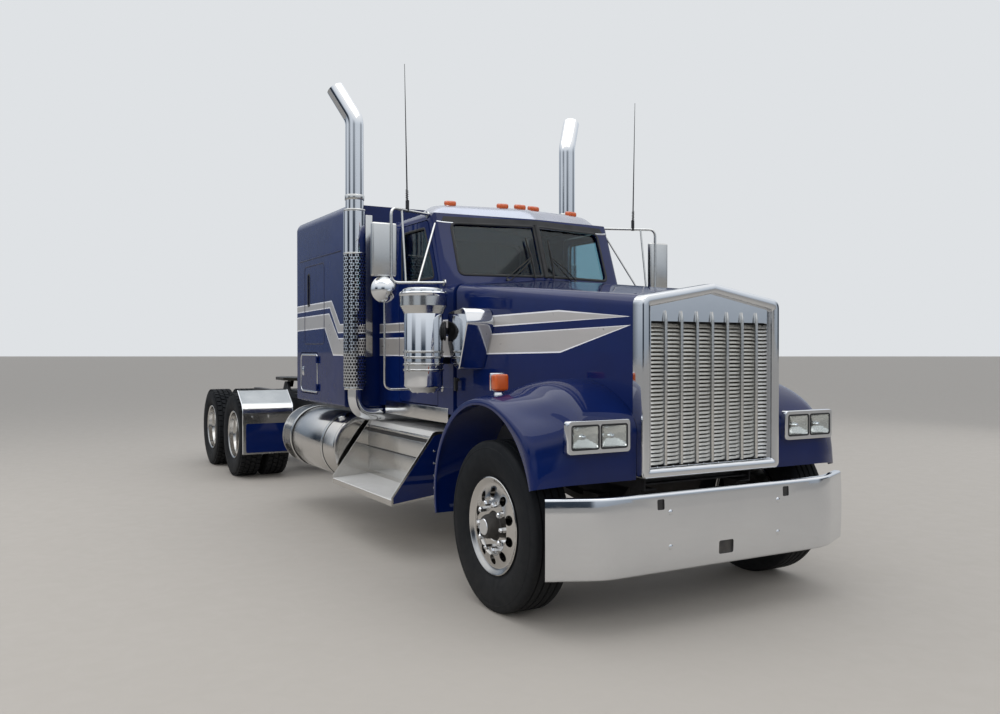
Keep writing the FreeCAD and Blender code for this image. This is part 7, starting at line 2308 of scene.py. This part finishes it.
@dataclass
class Studio:
    """The plain floor, the soft lights and the camera at the photograph's angle."""

    eye: Vector = field(default_factory=lambda: Vector((8.8052, -3.7845, 1.6087)))
    yaw: float = 2.629
    pitch: float = -0.0087
    focal_px: float = 886.366
    width_px: float = 1000.0
    sky: tuple[tuple[float, str], ...] = (
        (0.0, "#949ba4"), (0.03, "#99a1aa"), (0.10, "#b9c0c9"), (0.32, "#d9dfe6"), (0.62, "#ffffff"),
        (1.0, "#c3ccd6"),
    )
    flags: tuple[tuple[float, str], ...] = (
        (0.0, "#c9cfd6"), (0.055, "#bcc3cb"), (0.072, "#49515c"), (0.10, "#515964"), (0.125, "#ffffff"),
        (0.215, "#ffffff"), (0.235, "#3a424d"), (0.285, "#444c57"), (0.305, "#ffffff"), (0.38, "#ffffff"),
        (0.40, "#444c56"), (0.455, "#525a63"), (0.48, "#ffffff"), (0.645, "#ffffff"), (0.67, "#3f4751"),
        (0.73, "#4a525c"), (0.755, "#ffffff"), (0.86, "#ffffff"), (0.885, "#4c545f"), (0.955, "#525a65"),
        (1.0, "#c9cfd6"),
    )

    def ramp(self, tree: Tree, value: Socket, stops: Sequence[tuple[float, str]]) -> Socket:
        """A colour ramp over a value.

        Args:
            tree: The tree that gets the ramp.
            value: What runs along the ramp.
            stops: Places from 0 to 1, rising, with their sRGB colours.

        Returns:
            The ramp's colour.
        """
        made = add_node(tree, "ShaderNodeValToRGB", links={"Fac": value})
        row = made.color_ramp.elements
        row[1].position = 1.0
        row[0].position = stops[0][0]
        for place, _ in stops[1:-1]:
            row.new(place)
        for stop, (place, colour) in zip(row, stops):
            stop.position, stop.color = place, linear(colour)
        return made.outputs["Color"]

    def camera(self) -> None:
        """Stands the camera where the photograph was taken."""
        data = bpy.data.cameras.new("camera")
        data.sensor_width = 36.0
        data.lens = self.focal_px / self.width_px * data.sensor_width
        data.clip_end = 200.0
        made = bpy.data.objects.new("camera", data)
        level = math.cos(self.pitch)
        ahead = Vector((math.cos(self.yaw) * level, math.sin(self.yaw) * level, math.sin(self.pitch)))
        across = Vector((math.sin(self.yaw), -math.cos(self.yaw), 0))
        above = across.cross(ahead)
        turn = Matrix((across, above, -ahead)).transposed().to_4x4()
        made.matrix_world = Matrix.Translation(self.eye) @ turn
        bpy.context.scene.collection.objects.link(made)
        bpy.context.scene.camera = made

    def floor(self) -> None:
        """Lays the pale floor."""
        bm = bmesh.new()
        bmesh.ops.create_grid(bm, x_segments=1, y_segments=1, size=400.0)
        made = finished("floor", bm, outward=False)
        finish = Finish("Pale studio floor", "floor", "#ada79f", "#a9a39b", Surface.SPRAYED, 0.0, 0.75,
                        pattern_mm=40, bump_mm=0.2)
        made.data.materials.append(finish.material())

    def lights(self) -> None:
        """Hangs the soft boxes."""
        for name, place, size, power in (
            ("overhead box", (1.5, -1.0, 9.0), (14.0, 9.0), 440.0),
            ("front box", (12.0, -7.0, 5.0), (7.0, 5.0), 300.0),
            ("side box", (0.0, -12.0, 5.5), (12.0, 5.0), 330.0),
            ("far box", (3.0, 12.0, 5.0), (12.0, 5.0), 200.0),
        ):
            data = bpy.data.lights.new(name, "AREA")
            data.shape, data.size, data.size_y, data.energy = "RECTANGLE", *size, power
            made = bpy.data.objects.new(name, data)
            made.location = place
            toward = Vector((0.5, 0.0, 1.2)) - Vector(place)
            made.rotation_euler = toward.to_track_quat("-Z", "Y").to_euler()
            made.visible_glossy = name == "overhead box"
            bpy.context.scene.collection.objects.link(made)

    def room(self) -> None:
        """Sets the light of the room and what polished parts see of it."""
        world = bpy.data.worlds.new("studio")
        bpy.context.scene.world = world
        world.use_nodes = True
        tree = world.node_tree
        tree.nodes.clear()
        path = add_node(tree, "ShaderNodeLightPath")
        seen = add_node(tree, "ShaderNodeMath", {"operation": "MAXIMUM"},
                        {0: path.outputs["Is Camera Ray"], 1: path.outputs["Is Transmission Ray"]})
        room = add_node(tree, "ShaderNodeBackground", {"Color": linear("#e8ecf2"), "Strength": 0.84})
        back = add_node(tree, "ShaderNodeBackground", {"Color": linear("#dfe2e5"), "Strength": 1.0})
        way = add_node(tree, "ShaderNodeTexCoord").outputs["Object"]
        height = add_node(tree, "ShaderNodeSeparateXYZ", links={"Vector": way}).outputs["Z"]
        sky = self.ramp(tree, height, self.sky)
        around = add_node(tree, "ShaderNodeTexGradient", {"gradient_type": "RADIAL"}, {"Vector": way})
        flags = self.ramp(tree, around.outputs["Fac"], self.flags)
        low = add_node(tree, "ShaderNodeMapRange", {"From Min": 0.38, "From Max": 0.13}, {"Value": height})
        room_seen = add_node(tree, "ShaderNodeMix", {"data_type": "RGBA", "blend_type": "MULTIPLY"},
                             {0: low.outputs["Result"], 6: sky, 7: flags}).outputs[2]
        walls = add_node(tree, "ShaderNodeBackground", {"Strength": 1.12}, {"Color": room_seen})
        lit = add_node(tree, "ShaderNodeMixShader",
                       links={0: path.outputs["Is Glossy Ray"], 1: room.outputs[0], 2: walls.outputs[0]})
        mixed = add_node(tree, "ShaderNodeMixShader",
                         links={0: seen.outputs["Value"], 1: lit.outputs[0], 2: back.outputs[0]})
        add_node(tree, "ShaderNodeOutputWorld", links={"Surface": mixed.outputs["Shader"]})

    def build(self) -> None:
        """Sets up the studio."""
        bpy.context.scene.view_settings.view_transform = "Standard"
        self.camera()
        self.floor()
        self.lights()
        self.room()


def main() -> None:
    """Builds the sub-assemblies in order and reports each."""
    logging.basicConfig(level=logging.INFO, format="%(message)s")
    Studio().build()
    for kind in (RoadWheels, Hood, Fenders, Grille, Bumper, Lamps, Cab, Doors, Visor, Sleeper, Tanks, Steps,
                 AirCleaners, Stacks, Mirrors, RearGuards, Chassis, Coupling, Interior):
        assembly = kind()
        assembly.build()
        assembly.report()


if __name__ == "__main__":
    main()
